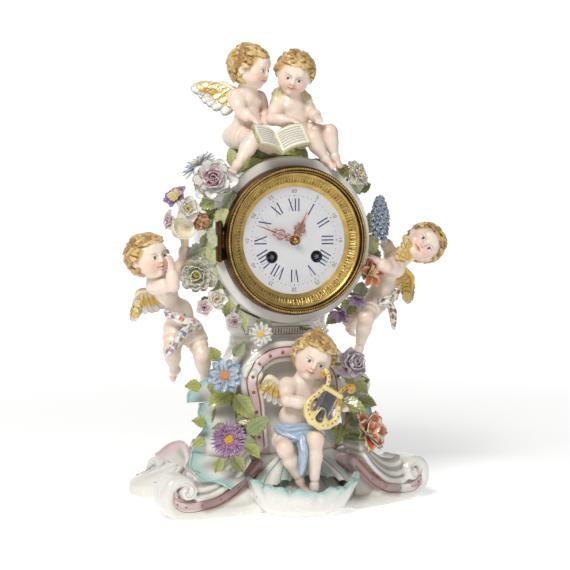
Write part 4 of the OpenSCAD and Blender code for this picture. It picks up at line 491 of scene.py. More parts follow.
def ball_mesh(at, radius, squash=1.0):
    """A ball as a turned mesh, its forward half thickness being squash radii."""
    n = 12
    t = np.linspace(1e-3, math.pi - 1e-3, n)
    v, q = lathe_mesh([(radius * math.sin(x), -radius * squash * math.cos(x)) for x in t], n * 2)
    return v + at, q


# Materials

class Tree:
    """Short calls for building a material's nodes."""

    def __init__(self, name):
        self.mat = bpy.data.materials.new(name)
        self.mat.use_nodes = True
        self.t = self.mat.node_tree
        self.shader = self.t.nodes["Principled BSDF"]

    def node(self, kind, out=0, props=(), **inputs):
        n = self.t.nodes.new("ShaderNode" + kind)
        for k, v in props:
            setattr(n, k, v)
        for k, v in inputs.items():
            sock = n.inputs[int(k[1:])] if k[0] == "i" and k[1:].isdigit() else n.inputs[k]
            self.feed(sock, v)
        return n.outputs[out]

    def feed(self, sock, v):
        """Links a node's output to a socket, or sets the socket. An array is a colour."""
        if hasattr(v, "is_linked"):
            self.t.links.new(v, sock)
        else:
            sock.default_value = tuple(v) + (1,) if isinstance(v, np.ndarray) else v

    def math(self, op, a, b=0.0, clamp=False):
        return self.node("Math", props=(("operation", op), ("use_clamp", clamp)), i0=a, i1=b)

    def vec(self, op, a, b=(0, 0, 0)):
        kind = 1 if op in ("LENGTH", "DOT_PRODUCT", "DISTANCE") else 0
        return self.node("VectorMath", kind, (("operation", op),), i0=a, i1=b)

    def mix(self, fac, a, b, blend="MIX"):
        n = self.t.nodes.new("ShaderNodeMix")
        n.data_type, n.blend_type = "RGBA", blend
        for k, v in ((0, fac), (6, a), (7, b)):
            self.feed(n.inputs[k], v)
        return n.outputs[2]

    def ramp(self, fac, low, high, to_low=0.0, to_high=1.0):
        return self.node("MapRange", i0=fac, i1=low, i2=high, i3=to_low, i4=to_high)

    def noise(self, where, scale, detail=2.0):
        return self.node("TexNoise", Vector=where, Scale=scale, Detail=detail)

    def brushed(self, at, colour, grain, faint):
        """A colour with brush marks, where the faintest are a share of it."""
        brush = self.ramp(self.noise(at, grain, 3.0), 0.3, 0.7, faint, 1.0)
        shade = self.node("CombineColor", i0=brush, i1=brush, i2=brush)
        return self.mix(1.0, colour, shade, "MULTIPLY")

    def place(self):
        """A place in the object's own frame."""
        return self.node("TexCoord", 3)

    def attribute(self, key, out=0):
        return self.node("Attribute", out, (("attribute_name", key),))

    def bump(self, height, strength, distance):
        n = self.node("Bump", Height=height, Strength=strength, Distance=distance)
        self.feed(self.shader.inputs["Normal"], n)

    def set(self, **values):
        names = {"colour": "Base Color", "rough": "Roughness", "metal": "Metallic",
                 "coat": "Coat Weight", "coat_rough": "Coat Roughness", "ior": "IOR",
                 "glassy": "Transmission Weight"}
        for k, v in values.items():
            self.feed(self.shader.inputs[names[k]], v)
        return self.mat


def glaze(name, rough=0.16, mottle=0.06, flat=None, coat=0.6):
    """Glazed porcelain that takes its painting from the mesh, with a slightly wavy gloss."""
    t = Tree(name)
    at = t.place()
    colour = t.attribute("paint") if flat is None else flat
    t.set(colour=t.brushed(at, colour, 420.0, 1 - mottle), coat=coat, coat_rough=0.08, ior=1.5)
    t.set(rough=t.ramp(t.noise(at, 160.0), 0.3, 0.7, rough, rough + 0.12))
    t.bump(t.noise(at, 110.0, 1.0), 0.12, 0.0006)
    return t


def metal(name, colour, dark, rough, grain=900.0, wear=0.5):
    """Turned or cast metal, darker where dirt sits, with fine tooling marks."""
    t = Tree(name)
    at = t.place()
    dirt = t.ramp(t.noise(at, 130.0, 4.0), 0.35, 0.75, 0.0, wear)
    t.set(colour=t.mix(dirt, colour, dark), metal=1.0)
    t.set(rough=t.ramp(t.noise(at, grain, 2.0), 0.2, 0.8, rough - 0.06, rough + 0.12))
    t.bump(t.noise(at, grain, 3.0), 0.15, 0.00015)
    return t


def stamped_paint(t, base, key, spots):
    """Painted spots by a piece's own coordinates: centre, radii, colour, edge, strength and
    whether the spot is there on both sides of the face. A radius of None has no end."""
    where = t.attribute(key, 1)
    parts = t.node("SeparateXYZ", i0=where).node.outputs
    both = t.node("CombineXYZ", i0=parts[0], i1=t.math("ABSOLUTE", parts[1]), i2=parts[2])
    front = t.math("GREATER_THAN", parts[0], 0.2)
    for centre, radii, colour, edge, strength, sided in spots:
        q = t.vec("SUBTRACT", both if sided else where, tuple(centre))
        q = t.vec("MULTIPLY", q, tuple(0.0 if r is None else 1 / r for r in radii))
        inside = t.ramp(t.vec("LENGTH", q), 1 - edge, 1 + edge, strength, 0.0)
        base = t.mix(t.math("MULTIPLY", inside, front), base, colour)
    return base


def painted_face():
    """The glaze of a cherub's head, with its eyes, brows, lips and cheeks painted on."""
    t = Tree("painted_face")
    at = t.place()
    skin = t.attribute("paint")
    spots = [
        ((0.8, 0.42, -0.32), (None, 0.26, 0.22), BLUSH, 0.9, 0.55, True),
        ((0.9, 0, -0.2), (None, 0.12, 0.1), BLUSH, 0.9, 0.25, False),
        ((0.9, 0.32, 0.235), (None, 0.17, 0.022), rgb(150, 108, 74), 0.8, 0.5, True),
        ((0.9, 0.3, 0.03), (None, 0.15, 0.08), WHITE, 0.2, 0.8, True),
        ((0.9, 0.29, 0.03), (None, 0.072, 0.076), rgb(104, 112, 122), 0.2, 1.0, True),
        ((0.9, 0.29, 0.035), (None, 0.04, 0.044), INK, 0.25, 1.0, True),
        ((0.9, 0.31, 0.105), (None, 0.17, 0.018), rgb(120, 82, 56), 0.6, 0.8, True),
        ((0.9, 0, -0.43), (None, 0.18, 0.055), rgb(206, 96, 84), 0.45, 0.85, False),
        ((0.9, 0, -0.425), (None, 0.15, 0.012), rgb(140, 48, 44), 0.5, 0.7, False),
        ((0.9, 0.075, -0.235), (None, 0.028, 0.016), rgb(190, 100, 84), 0.5, 0.7, True)]
    colour = stamped_paint(t, skin, "face", spots)
    t.set(colour=t.brushed(at, colour, 500.0, 0.95), coat=0.25, coat_rough=0.1, ior=1.5)
    t.set(rough=t.ramp(t.noise(at, 180.0), 0.3, 0.7, 0.3, 0.42))
    return t.mat


PORCELAIN = glaze("glazed_porcelain").mat
BISQUE = glaze("painted_flesh", 0.32, coat=0.25).mat
FACE = painted_face()
BLOOM = glaze("painted_petals", 0.24, 0.14).mat
GREEN = glaze("painted_leaves", 0.2, 0.2).mat
GILT = metal("burnished_gilding", rgb(204, 168, 92), rgb(128, 94, 44), 0.26, 700.0).mat
BRASS = metal("turned_brass", rgb(206, 168, 92), rgb(92, 66, 32), 0.3).mat
chased = metal("chased_gilt_brass", rgb(226, 194, 116), rgb(138, 106, 52), 0.42, 1400.0)
# The ring's mesh carries painted shade in the ground of its pattern, which darkens the metal's
# colour
chased.set(colour=chased.mix(1.0, chased.shader.inputs["Base Color"].links[0].from_socket,
                             chased.attribute("paint"), "MULTIPLY"))
CHASED = chased.mat
MILLED = metal("milled_brass", rgb(176, 148, 92), rgb(92, 70, 40), 0.42, 1200.0).mat
DARK_BRASS = metal("toned_brass", rgb(104, 74, 42), rgb(46, 30, 18), 0.34, 900.0, 0.8).mat
STEEL = metal("blued_steel", rgb(150, 152, 158), rgb(70, 72, 80), 0.3, 1100.0).mat
COPPER = metal("copper_gilding", rgb(206, 142, 106), rgb(130, 78, 52), 0.3, 1200.0).mat
BELL = metal("bell_metal", rgb(188, 160, 104), rgb(110, 84, 48), 0.2, 500.0).mat


def enamel():
    """White vitreous enamel, faintly uneven."""
    t = Tree("white_enamel")
    at = t.place()
    uneven = t.ramp(t.noise(at, 90.0), 0.3, 0.7)
    t.set(colour=t.mix(uneven, rgb(252, 252, 255), rgb(246, 247, 251)),
          rough=0.14, coat=0.7, coat_rough=0.04, ior=1.5)
    t.bump(t.noise(at, 60.0, 1.0), 0.08, 0.0006)
    return t.mat


def clear_glass():
    """Thin clear glass that lets the lamps through."""
    t = Tree("clear_glass")
    at = t.place()
    t.set(colour=rgb(250, 252, 251), ior=1.45, glassy=1.0,
          rough=t.ramp(t.noise(at, 40.0), 0.4, 0.7, 0.0, 0.02))
    out = t.t.nodes["Material Output"]
    see = t.node("BsdfTransparent", Color=(1, 1, 1, 1))
    gloss = t.node("BsdfGlossy", Color=(1, 1, 1, 1), Roughness=0.03)
    weight = t.math("MULTIPLY", t.node("Fresnel", IOR=1.5), 0.45)
    both = t.node("MixShader", i0=weight, i1=see, i2=gloss)
    t.t.links.new(both, out.inputs["Surface"])
    return t.mat


ENAMEL, GLASS = enamel(), clear_glass()
INK_BLACK = glaze("black_enamel_paint", 0.25, 0.1, rgb(32, 30, 34)).mat
INK_BLUE = glaze("blue_enamel_paint", 0.25, 0.25, rgb(44, 62, 132)).mat
plain_white = glaze("white_glaze", 0.14, 0.03, WHITE).mat

# The CAD objects that are seen as they are
node_looks = {
    DARK_BRASS: ("bezel_ring", "bezel_hinge_pin", "dial_ring"),
    BRASS: ("front_plate", "back_plate", "pillars", "going_barrel",
            "strike_barrel", "going_train", "strike_train", "suspension_cock", "case_straps",
            "rear_ring", "rear_door", "hour_wheel", "cannon_pinion", "minute_wheel", "pendulum"),
    GILT: ("sight_ring",), ENAMEL: ("dial",), GLASS: ("bezel_glass",),
    STEEL: ("case_bolt", "going_arbor", "strike_arbor", "anchor_crutch", "hammer"),
    BELL: ("bell",), COPPER: ("minute_hand", "hour_hand"), plain_white: ("drum_case",)}
for look, names in node_looks.items():
    for name in names:
        mesh = frame["nodes"][name].data
        mesh.materials.clear()
        mesh.materials.append(look)


# Cherubs

TORSO = 34.0
# Each cherub: seat, then shares of the torso's length. torso from seat to neck, arms as
# shoulder, elbow and hand, legs as hip, knee, ankle and toe, and the head as its centre, its
# upward direction, where it faces and its radius
putti = {
    "putto_reader": dict(
        seat=on_drum((-0.5, 0, 1.22)),
        torso=[(0, 0, 0), (0.1, -0.1, 0.4), (0.15, -0.1, 0.8), (0.12, -0.15, 1.2)],
        arms=[[(-0.2, -0.2, 0.92), (-0.15, -0.55, 0.55), (0.1, -0.9, 0.35)],
              [(0.5, 0.1, 0.92), (0.65, 0.2, 0.6), (0.55, -0.3, 0.4)]],
        legs=[[(-0.1, -0.05, -0.05), (0.05, -0.95, -0.1), (-0.4, -1.05, -0.7),
               (-0.55, -1.3, -0.8)],
              [(0.15, 0.1, 0), (0.4, -0.65, -0.15), (0.55, -0.65, -0.3), (0.7, -0.8, -0.3)]],
        head=[(0.15, -0.32, 1.62), (0.16, -0.22, 1), (0.8, -0.75, -0.3), 0.49]),
    "putto_listener": dict(
        seat=on_drum((0.21, 0.03, 1.24)),
        torso=[(0, 0, 0), (-0.15, -0.15, 0.35), (-0.22, -0.2, 0.68), (-0.2, -0.2, 1.05)],
        arms=[[(-0.55, -0.2, 0.75), (-0.8, -0.5, 0.35), (-0.35, -0.95, 0.3)],
              [(0.18, -0.05, 0.75), (0.3, -0.4, 0.5), (0.25, -0.85, 0.4)]],
        legs=[[(-0.15, -0.1, -0.05), (0.1, -0.95, -0.1), (0.4, -1, -0.6), (0.5, -1.2, -0.7)],
              [(0.2, -0.05, 0), (0.6, -0.7, 0.05), (0.72, -0.8, -0.55), (0.82, -1, -0.7)]],
        head=[(-0.2, -0.42, 1.46), (0.12, -0.55, 1), (-0.42, -1, -0.5), 0.48]),
    "putto_left": dict(
        seat=on_drum((-1.23, -0.11, -1.04)),
        torso=[(0, 0, 0), (-0.2, -0.15, 0.45), (-0.5, -0.25, 0.95), (-0.78, -0.32, 1.32)],
        arms=[[(-0.85, -0.5, 1.1), (-0.5, -0.95, 1.12), (-0.58, -1.04, 1.66)],
              [(-0.3, 0, 1.25), (-0.02, -0.2, 1.7), (-0.1, -0.5, 2.15)]],
        legs=[[(-0.22, 0, 0), (-0.4, -0.4, -0.45), (-0.22, 0.1, -1), (-0.3, 0.25, -1.2)],
              [(0.22, 0, -0.05), (0.36, -0.35, -0.6), (0.5, -0.1, -1.2), (0.4, -0.35, -1.3)]],
        head=[(-0.98, -0.5, 1.76), (-0.18, 0, 1), (0.42, -0.9, -0.02), 0.5]),
    "putto_right": dict(
        seat=on_drum((1.196, -0.09, -0.8)),
        torso=[(0, 0, 0), (0.12, -0.08, 0.4), (0.3, -0.15, 0.85), (0.72, -0.25, 1.12)],
        arms=[[(0.5, 0.05, 1.12), (0.3, -0.1, 1.4), (0.1, -0.25, 1.62)],
              [(0.4, -0.4, 0.9), (-0.05, -0.8, 0.95), (-0.3, -0.7, 1.15)]],
        legs=[[(-0.15, -0.12, -0.05), (-0.5, -0.6, -0.3), (-0.6, -0.4, -1.1),
               (-0.75, -0.6, -1.45)],
              [(-0.1, 0.2, 0.05), (-0.65, 0.15, -0.35), (-0.5, 0.42, -0.65),
               (-0.35, 0.6, -0.75)]],
        head=[(1.12, -0.4, 1.49), (0.86, -0.22, 0.5), (-0.62, -0.9, -0.1), 0.5]),
    "putto_lyre": dict(
        seat=on_base((-0.07, -0.43, 0.18)),
        torso=[(0, 0, 0), (0, -0.15, 0.45), (0.14, -0.2, 0.92), (0.28, -0.22, 1.35)],
        arms=[[(-0.15, -0.2, 1.2), (-0.28, -0.6, 0.9), (0.38, -0.95, 0.8)],
              [(0.58, -0.12, 1.1), (0.92, -0.4, 0.85), (1.02, -0.75, 0.75)]],
        legs=[[(-0.2, -0.05, 0), (-0.4, -0.8, -0.2), (0.05, -0.6, -1.05), (0.1, -0.8, -1.2)],
              [(0.22, -0.05, -0.03), (0.3, -0.95, 0), (0.32, -0.85, -1.15),
               (0.26, -1.05, -1.35)]],
        head=[(0.48, -0.3, 1.84), (0.38, -0.3, 0.9), (-0.3, -1, -0.3), 0.52])}


def put_arm(clay, s, e, h, S):
    """A chubby arm with a wrist crease and a hand whose fingers curl."""
    d = unit(h - e)
    wrist = mix(e, h, 0.8)
    clay.put(limb(s, e, 0.165 * S, 0.135 * S), 0.12 * S)
    clay.put(ball(mix(s, e, 0.45) + v3(0, 0, 0.01 * S), 0.165 * S), 0.1 * S)
    clay.put(limb(e, mix(e, h, 0.4), 0.132 * S, 0.14 * S), 0.08 * S)
    clay.put(limb(mix(e, h, 0.35), wrist, 0.138 * S, 0.088 * S), 0.08 * S)
    clay.put(ring(mix(e, h, 0.74), d, 0.115 * S, 0.018 * S), 0.05 * S, cut=True)
    put_hand(clay, wrist, d, S)


def ring(at, axis, r, thin):
    """A ring, for the creases of fat wrists, thighs and ankles."""
    at, n = np.array(at, np.float32), unit(axis).astype(np.float32)

    def measure(p):
        q = p - at
        z = q @ n
        out = np.linalg.norm(q - z[..., None] * n, axis=-1) - r
        return np.hypot(out, z) - thin
    reach = r + thin
    return measure, at - reach, at + reach


def put_hand(clay, wrist, d, S):
    """A palm that faces down, four bent fingers and a thumb."""
    palm_down = unit(np.cross(d, np.cross(v3(0, 0.35, -1), d)))
    side = np.cross(palm_down, d)
    turn = np.stack([side, palm_down, d], 1)
    palm = wrist + d * 0.1 * S
    clay.put(egg(palm, (0.1 * S, 0.06 * S, 0.11 * S), turn), 0.06 * S)
    for k in range(4):
        root = palm + side * (k - 1.5) * 0.05 * S + d * 0.07 * S
        mid = root + (d + palm_down * 0.35) * 0.075 * S
        end = mid + (d * 0.4 + palm_down * 0.9) * (0.07 - 0.008 * abs(k - 1.2)) * S
        clay.put(limb(root, mid, 0.03 * S, 0.028 * S), 0.012 * S)
        clay.put(limb(mid, end, 0.028 * S, 0.023 * S), 0.01 * S)
    root = palm + side * 0.07 * S
    clay.put(limb(root, root + (side * 0.6 + d + palm_down * 0.5) * 0.07 * S,
                  0.032 * S, 0.026 * S), 0.02 * S)


def put_leg(clay, hip, knee, ankle, toe, back, S):
    """A fat thigh and calf, a dimpled knee, and a foot with five toes."""
    clay.put(limb(hip, knee, 0.275 * S, 0.185 * S), 0.14 * S)
    clay.put(ball(mix(hip, knee, 0.4), 0.262 * S), 0.12 * S)
    clay.put(ball(knee, 0.188 * S), 0.08 * S)
    d = unit(ankle - knee)
    bend = unit(unit(knee - hip) - d)
    calf = mix(knee, ankle, 0.34) - bend * 0.035 * S
    clay.put(limb(knee, calf, 0.175 * S, 0.178 * S), 0.1 * S)
    clay.put(limb(calf, ankle, 0.176 * S, 0.1 * S), 0.1 * S)
    clay.put(ring(mix(hip, knee, 0.55), knee - hip, 0.25 * S, 0.015 * S), 0.06 * S, cut=True)
    clay.put(ring(mix(knee, ankle, 0.88), d, 0.112 * S, 0.014 * S), 0.05 * S, cut=True)
    f = unit(toe - ankle)
    sole = unit(d - f * f.dot(d)) if abs(f.dot(d)) < 0.97 else unit(back)
    side = np.cross(f, sole)
    reach = 0.3 * S
    heel = ankle + sole * 0.05 * S - f * 0.05 * S
    clay.put(ball(heel, 0.1 * S), 0.06 * S)
    instep = ankle + f * reach * 0.5 + sole * 0.07 * S
    clay.put(limb(ankle, instep, 0.1 * S, 0.078 * S), 0.07 * S)
    front = ankle + f * reach * 0.8 + sole * 0.09 * S
    clay.put(egg(front, (0.105 * S, 0.055 * S, 0.09 * S), np.stack([side, sole, f], 1)),
             0.05 * S)
    for k in range(5):
        at = front + side * (k - 2) * 0.046 * S + f * (0.085 - 0.008 * (k - 1.5) ** 2) * S
        clay.put(ball(at, (0.032 - 0.003 * k) * S), 0.012 * S)


def put_torso(clay, f, S):
    """A round belly, a chest, buttocks and shoulders, with a navel and a line down the back."""
    seat, waist, chest, neck = f["torso"]
    hips, shoulders = (unit(f["legs"][1][0] - f["legs"][0][0]),
                       unit(f["arms"][1][0] - f["arms"][0][0]))
    up = unit(chest - seat)
    back = unit(np.cross(up, mix(hips, shoulders, 0.5)))
    low = axes(unit(waist - seat), hips)
    high = axes(unit(neck - waist), shoulders)
    clay.put(egg(seat + up * 0.06 * S, (0.37 * S, 0.3 * S, 0.3 * S), low), 0.15 * S)
    clay.put(egg(waist - back * 0.05 * S, (0.335 * S, 0.3 * S, 0.34 * S), low), 0.18 * S)
    clay.put(egg(chest, (0.335 * S, 0.25 * S, 0.3 * S), high), 0.18 * S)
    clay.put(ball(mix(seat, waist, 0.75) - back * 0.16 * S, 0.2 * S), 0.15 * S)
    for s in (-1, 1):
        clay.put(ball(seat + back * 0.15 * S + hips * s * 0.16 * S, 0.23 * S), 0.08 * S)
        clay.put(egg(mix(chest, neck, 0.15) - back * 0.19 * S + shoulders * s * 0.14 * S,
                     (0.13 * S, 0.07 * S, 0.1 * S), high), 0.07 * S)
    a, b = f["arms"][0][0], f["arms"][1][0]
    clay.put(limb(mix(a, b, 0.08), mix(a, b, 0.92), 0.155 * S, 0.155 * S), 0.16 * S)
    for p in (a, b):
        clay.put(ball(p, 0.168 * S), 0.1 * S)
    clay.put(limb(mix(a, b, 0.5), f["head_at"] - f["head_axes"][:, 2] * 0.45 * f["head_r"],
                  0.23 * S, 0.22 * S), 0.14 * S)
    clay.put(ball(mix(seat, waist, 0.7) - back * 0.365 * S, 0.024 * S), 0.04 * S, cut=True)
    clay.put(limb(seat + back * 0.42 * S, mix(waist, chest, 0.7) + back * 0.3 * S,
                  0.03 * S, 0.02 * S), 0.08 * S, cut=True)
    clay.stain(ball(mix(seat, waist, 0.6) - back * 0.3 * S, 0.1 * S), BLUSH, 0.3 * S, 0.25)


def put_head(clay, at, turn, r, hair_seed):
    """A round child's head with full cheeks, in its own axes: X to the face, Z up."""
    def P(x, y, z):
        return at + turn @ (np.array([x, y, z], float) * r)

    def E(x, y, z, rx, ry, rz, blend, **k):
        clay.put(egg(P(x, y, z), np.array([rx, ry, rz]) * r, turn), blend * r, **k)

    E(-0.06, 0, 0.12, 0.98, 0.86, 0.88, 0.1)
    E(0.22, 0, -0.25, 0.66, 0.7, 0.66, 0.25)
    for s in (-1, 1):
        E(0.47, s * 0.36, -0.36, 0.36, 0.35, 0.34, 0.16)
        E(-0.02, s * 0.83, -0.1, 0.16, 0.08, 0.21, 0.05)
        E(0.0, s * 0.92, -0.08, 0.08, 0.05, 0.11, 0.04, cut=True)
    E(0.62, 0, -0.7, 0.2, 0.2, 0.16, 0.14)
    E(0.3, 0, -0.72, 0.35, 0.36, 0.2, 0.2)
    E(0.78, 0, 0.42, 0.13, 0.4, 0.25, 0.25)
    for s in (-1, 1):
        E(0.94, s * 0.3, 0.06, 0.1, 0.19, 0.12, 0.14, cut=True)
        E(0.755, s * 0.295, 0.03, 0.13, 0.15, 0.12, 0.02)
        arc = [P(0.86 - 0.1 * abs(t) ** 2, s * (0.295 + 0.17 * t), 0.1 - 0.06 * t * t)
               for t in np.linspace(-1, 1, 5)]
        clay.trace(arc, 0.03 * r, 0.03 * r)
    clay.put(limb(P(0.86, 0, 0.12), P(0.99, 0, -0.15), 0.055 * r, 0.085 * r), 0.09 * r)
    for s in (-1, 1):
        clay.put(ball(P(0.94, s * 0.085, -0.17), 0.06 * r), 0.04 * r)
    clay.put(limb(P(0.93, 0, -0.28), P(0.92, 0, -0.36), 0.02 * r, 0.02 * r), 0.06 * r)
    for s in (-1, 1):
        clay.put(limb(P(0.93, 0.0, -0.385), P(0.85, s * 0.15, -0.42), 0.042 * r, 0.022 * r),
                 0.03 * r)
        clay.put(limb(P(0.9, 0.0, -0.485), P(0.85, s * 0.11, -0.46), 0.05 * r, 0.025 * r),
                 0.03 * r)
        clay.put(ball(P(0.83, s * 0.19, -0.43), 0.03 * r), 0.04 * r, cut=True)
    arc = [P(0.965 - 0.1 * abs(t) ** 2, 0.16 * t, -0.435 - 0.01 * t * t)
           for t in np.linspace(-1, 1, 5)]
    clay.trace(arc, 0.014 * r, 0.03 * r, cut=True)
    put_hair(clay, P, turn, r, hair_seed)


def put_hair(clay, P, turn, r, seed):
    """Thick wavy locks in rings round the crown, each of three strands, turned up at its end."""
    draw = np.random.default_rng(seed)
    clay.put(egg(P(-0.13, 0, 0.2), np.array((0.95, 0.93, 0.85)) * r, turn), 0.06 * r, HAIR)

    def skull(polar, a):
        return np.array([math.sin(polar) * math.cos(a), math.sin(polar) * math.sin(a),
                         math.cos(polar)])

    def bare(n):
        return n[0] > 0.42 and n[2] < 0.46 or n[0] > 0.12 and n[2] < 0.02
    for i, (polar, count) in enumerate(((0.1, 5), (0.45, 9), (0.8, 12), (1.15, 14), (1.5, 14),
                                        (1.85, 12), (2.15, 9))):
        for k in range(count):
            a = 2 * math.pi * (k + 0.5 * (i % 2) + draw.uniform(-0.25, 0.25)) / count
            length, wave = draw.uniform(0.55, 0.75), draw.choice((-1, 1)) * draw.uniform(0.1, 0.2)
            phase, tip = draw.uniform(0, 0.5), draw.uniform(0.08, 0.2)
            tone = mix(HAIR, HAIR_DARK if draw.random() < 0.45 else rgb(232, 206, 150),
                       draw.uniform(0.15, 0.75))
            if bare(skull(polar, a)):
                continue
            while bare(skull(polar + length, a)) and length > 0.2:
                length *= 0.8
            for strand in (-1, 0, 1):
                line = []
                for t in np.linspace(0, 1, 7):
                    b = polar + length * t * (1 - 0.2 * t)
                    drift = wave * math.sin(2 * math.pi * (t + phase)) \
                        + 0.09 * strand * (1 - 0.6 * t)
                    n = skull(b, a + drift / max(math.sin(b), 0.4))
                    lift = 1.02 + 0.08 * math.sin(math.pi * t) + tip * t ** 3 \
                        + 0.035 * (strand == 0)
                    line.append(n * lift * np.array([1.0, 0.94, 0.98]) * 0.93 + [-0.1, 0, 0.14])
                for m in range(6):
                    thin = 0.082 - 0.007 * m
                    clay.put(limb(P(*line[m]), P(*line[m + 1]), thin * r, (thin - 0.006) * r),
                             0.035 * r, tone * (1 if strand == 0 else 0.86))


def sculpt_putto(name, seed):
    """A cherub's body and head from the places of its joints."""
    f = dict(putti[name])
    S, seat = TORSO, f["seat"]
    f["torso"] = [seat + S * np.array(p) for p in f["torso"]]
    f["arms"] = [[seat + S * np.array(p) for p in a] for a in f["arms"]]
    f["legs"] = [[seat + S * np.array(p) for p in a] for a in f["legs"]]
    at, up, face, size = f["head"]
    f["head_at"], f["head_r"] = seat + S * np.array(at), S * size
    z = unit(up)
    x = unit(np.array(face, float) - z * z.dot(face))
    f["head_axes"] = np.stack([x, np.cross(z, x), z], 1)
    places = np.array(f["torso"] + sum(f["arms"] + f["legs"], []))
    clay = Clay(places.min(0) - 0.44 * S, places.max(0) + 0.44 * S, 0.62)
    put_torso(clay, f, S)
    hips = unit(f["legs"][1][0] - f["legs"][0][0])
    back = unit(np.cross(unit(f["torso"][1] - f["torso"][0]), hips))
    for leg in f["legs"]:
        put_leg(clay, *leg, back, S)
        clay.stain(ball(leg[1], 0.2 * S), BLUSH, 0.2 * S, 0.3)
        clay.stain(ball(leg[3], 0.12 * S), BLUSH, 0.2 * S, 0.4)
    for arm in f["arms"]:
        put_arm(clay, *arm, S)
        clay.stain(ball(arm[1], 0.15 * S), BLUSH, 0.15 * S, 0.3)
        clay.stain(ball(arm[2], 0.12 * S), BLUSH, 0.2 * S, 0.3)
    v, q, c = clay.skin(FLESH, relax=2, fold_shade=0.55)
    body = piece(name + "_body", v, q, "case", BISQUE, c)
    r = f["head_r"]
    head = Clay(f["head_at"] - 1.3 * r, f["head_at"] + 1.3 * r, 0.42)
    put_head(head, f["head_at"], f["head_axes"], r, seed)
    hv, hq, hc = head.skin(FLESH, soft=0.25, relax=1, fold_shade=0.75)
    own = (hv - f["head_at"]) @ f["head_axes"] / r
    skull = piece(name + "_head", hv, hq, "case", FACE, hc, (("face", own),))
    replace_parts(body, name)
    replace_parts(skull, name)


for k, name in enumerate(putti):
    sculpt_putto(name, 11 + k)

# Flowers and leaves

def petal(length, width, shape, rise, curl, cup, ruffle=0.0, waves=3, point=0.5, phase=0.0,
          fine=(11, 9), teeth=0):
    """A petal as a grid of places: X outwards, Y across, Z towards the flower's face."""
    nu, nv = fine
    s = np.linspace(0, 1, nu)
    t = np.linspace(-1, 1, nv)[None, :]
    half = width / 2 * np.interp(s, np.linspace(0, 1, len(shape)), shape)[:, None]
    angle = rise + curl * s ** 1.4
    step = length / (nu - 1)
    x = np.concatenate([[0], np.cumsum(np.cos(angle[1:]) * step)])[:, None]
    z = np.concatenate([[0], np.cumsum(np.sin(angle[1:]) * step)])[:, None]
    c, n = np.cos(angle)[:, None], np.sin(angle)[:, None]
    s = s[:, None]
    back = point * width * 0.5 * t ** 2 * s ** 4
    if teeth:
        back = back + width * 0.1 * (1 - np.cos(teeth * math.pi * t)) * s ** 6
    lift = cup * half * t ** 2 + ruffle * length * s ** 2 * (0.25 + t ** 2) * np.sin(
        waves * math.pi * t + phase + 2.2 * s)
    return np.stack([x - back * c - lift * n, half * t + 0 * x, z - back * n + lift * c], -1)


def petal_paint(fine, root, body, edge, vein=0.0, lines=5):
    """Colours over a petal: its root, its body, its edge and fine brush lines."""
    nu, nv = fine
    s = np.linspace(0, 1, nu)[:, None, None]
    t = np.abs(np.linspace(-1, 1, nv))[None, :, None]
    c = mix(root, body, np.clip(s / 0.45, 0, 1) ** 0.7 + 0 * t)
    rim = np.clip(np.maximum(t - 0.55, s - 0.72) / 0.35, 0, 1)
    c = mix(c, edge, rim)
    wave = np.clip(np.cos(t * math.pi * lines), 0, 1) ** 6 * (1 - s) * vein
    return np.clip(c * (1 - wave), 0, 1).reshape(-1, 3)


ROUND = (0.3, 0.75, 0.98, 1.0, 0.86, 0.55)
NARROW = (0.45, 0.8, 1.0, 0.95, 0.75, 0.3)
SPIKY = (0.5, 0.8, 1.0, 0.8, 0.5, 0.12)
FINE = (11, 9)


def put_row(heap, at, turn, r, row, seed):
    """One ring of petals. row has count, reach, width, rise, curl, cup, start, lift and more."""
    local = np.random.default_rng(seed)
    fine = row.get("fine", FINE)
    paint = petal_paint(fine, *row["paint"], row.get("vein", 0.12), row.get("lines", 4))
    for k in range(row["n"]):
        a = 2 * math.pi * (k + row.get("turn", 0) + local.uniform(-0.12, 0.12)) / row["n"]
        size = local.uniform(0.92, 1.04)
        grid = petal(r * row["reach"] * size, r * row["width"] * size, row.get("shape", ROUND),
                     row["rise"] + local.uniform(-0.09, 0.09),
                     row["curl"] + local.uniform(-0.12, 0.12), row["cup"],
                     row.get("ruffle", 0.03), row.get("waves", 3), row.get("point", 0.5),
                     local.uniform(0, 6.28), fine, row.get("teeth", 0))
        tilt = local.uniform(-0.12, 0.12)
        x, y, z = grid[..., 0] + r * row.get("start", 0.08), grid[..., 1], grid[..., 2]
        y, z = y * math.cos(tilt) - z * math.sin(tilt), y * math.sin(tilt) + z * math.cos(tilt)
        p = np.stack([x * math.cos(a) - y * math.sin(a), x * math.sin(a) + y * math.cos(a),
                      z + r * row.get("lift", 0)], -1)
        p = at + p @ turn.T
        v, f = thick(p, row.get("thick", 0.55))
        shade = local.uniform(0.93, 1.0)
        heap.add(v, f, np.clip(np.vstack([paint, paint]) * shade, 0, 1))


def dome(heap, at, turn, r, height, colour):
    """A heart of a flower: a low dome covered with grains set in a spiral."""
    n, m, bumps, count = 22, 11, 0.16, 30
    a = full_turn(n)[:, None]
    e = np.linspace(0, 1, m)[None, :]
    w = np.sin(e * math.pi / 2)
    p = np.stack([r * w * np.cos(a), r * w * np.sin(a), height * np.cos(e * math.pi / 2) + 0 * a],
                 -1)
    dark = colour * 0.55
    heap.add(at + p.reshape(-1, 3) @ turn.T, grid_faces(n, m, wrap_u=True)[:, ::-1], dark)
    unit_v, unit_f = BEAD
    for k in range(count):
        q = math.sqrt((k + 0.5) / count)
        b = k * GOLDEN_ANGLE
        c = v3(r * q * 0.93 * math.cos(b), r * q * 0.93 * math.sin(b),
               height * math.sqrt(max(1 - q * q, 0.02)))
        heap.add(at + (c + unit_v * r * bumps * 1.5) @ turn.T, unit_f,
                 mix(colour, dark, 0.25 * (k % 3 == 0)))


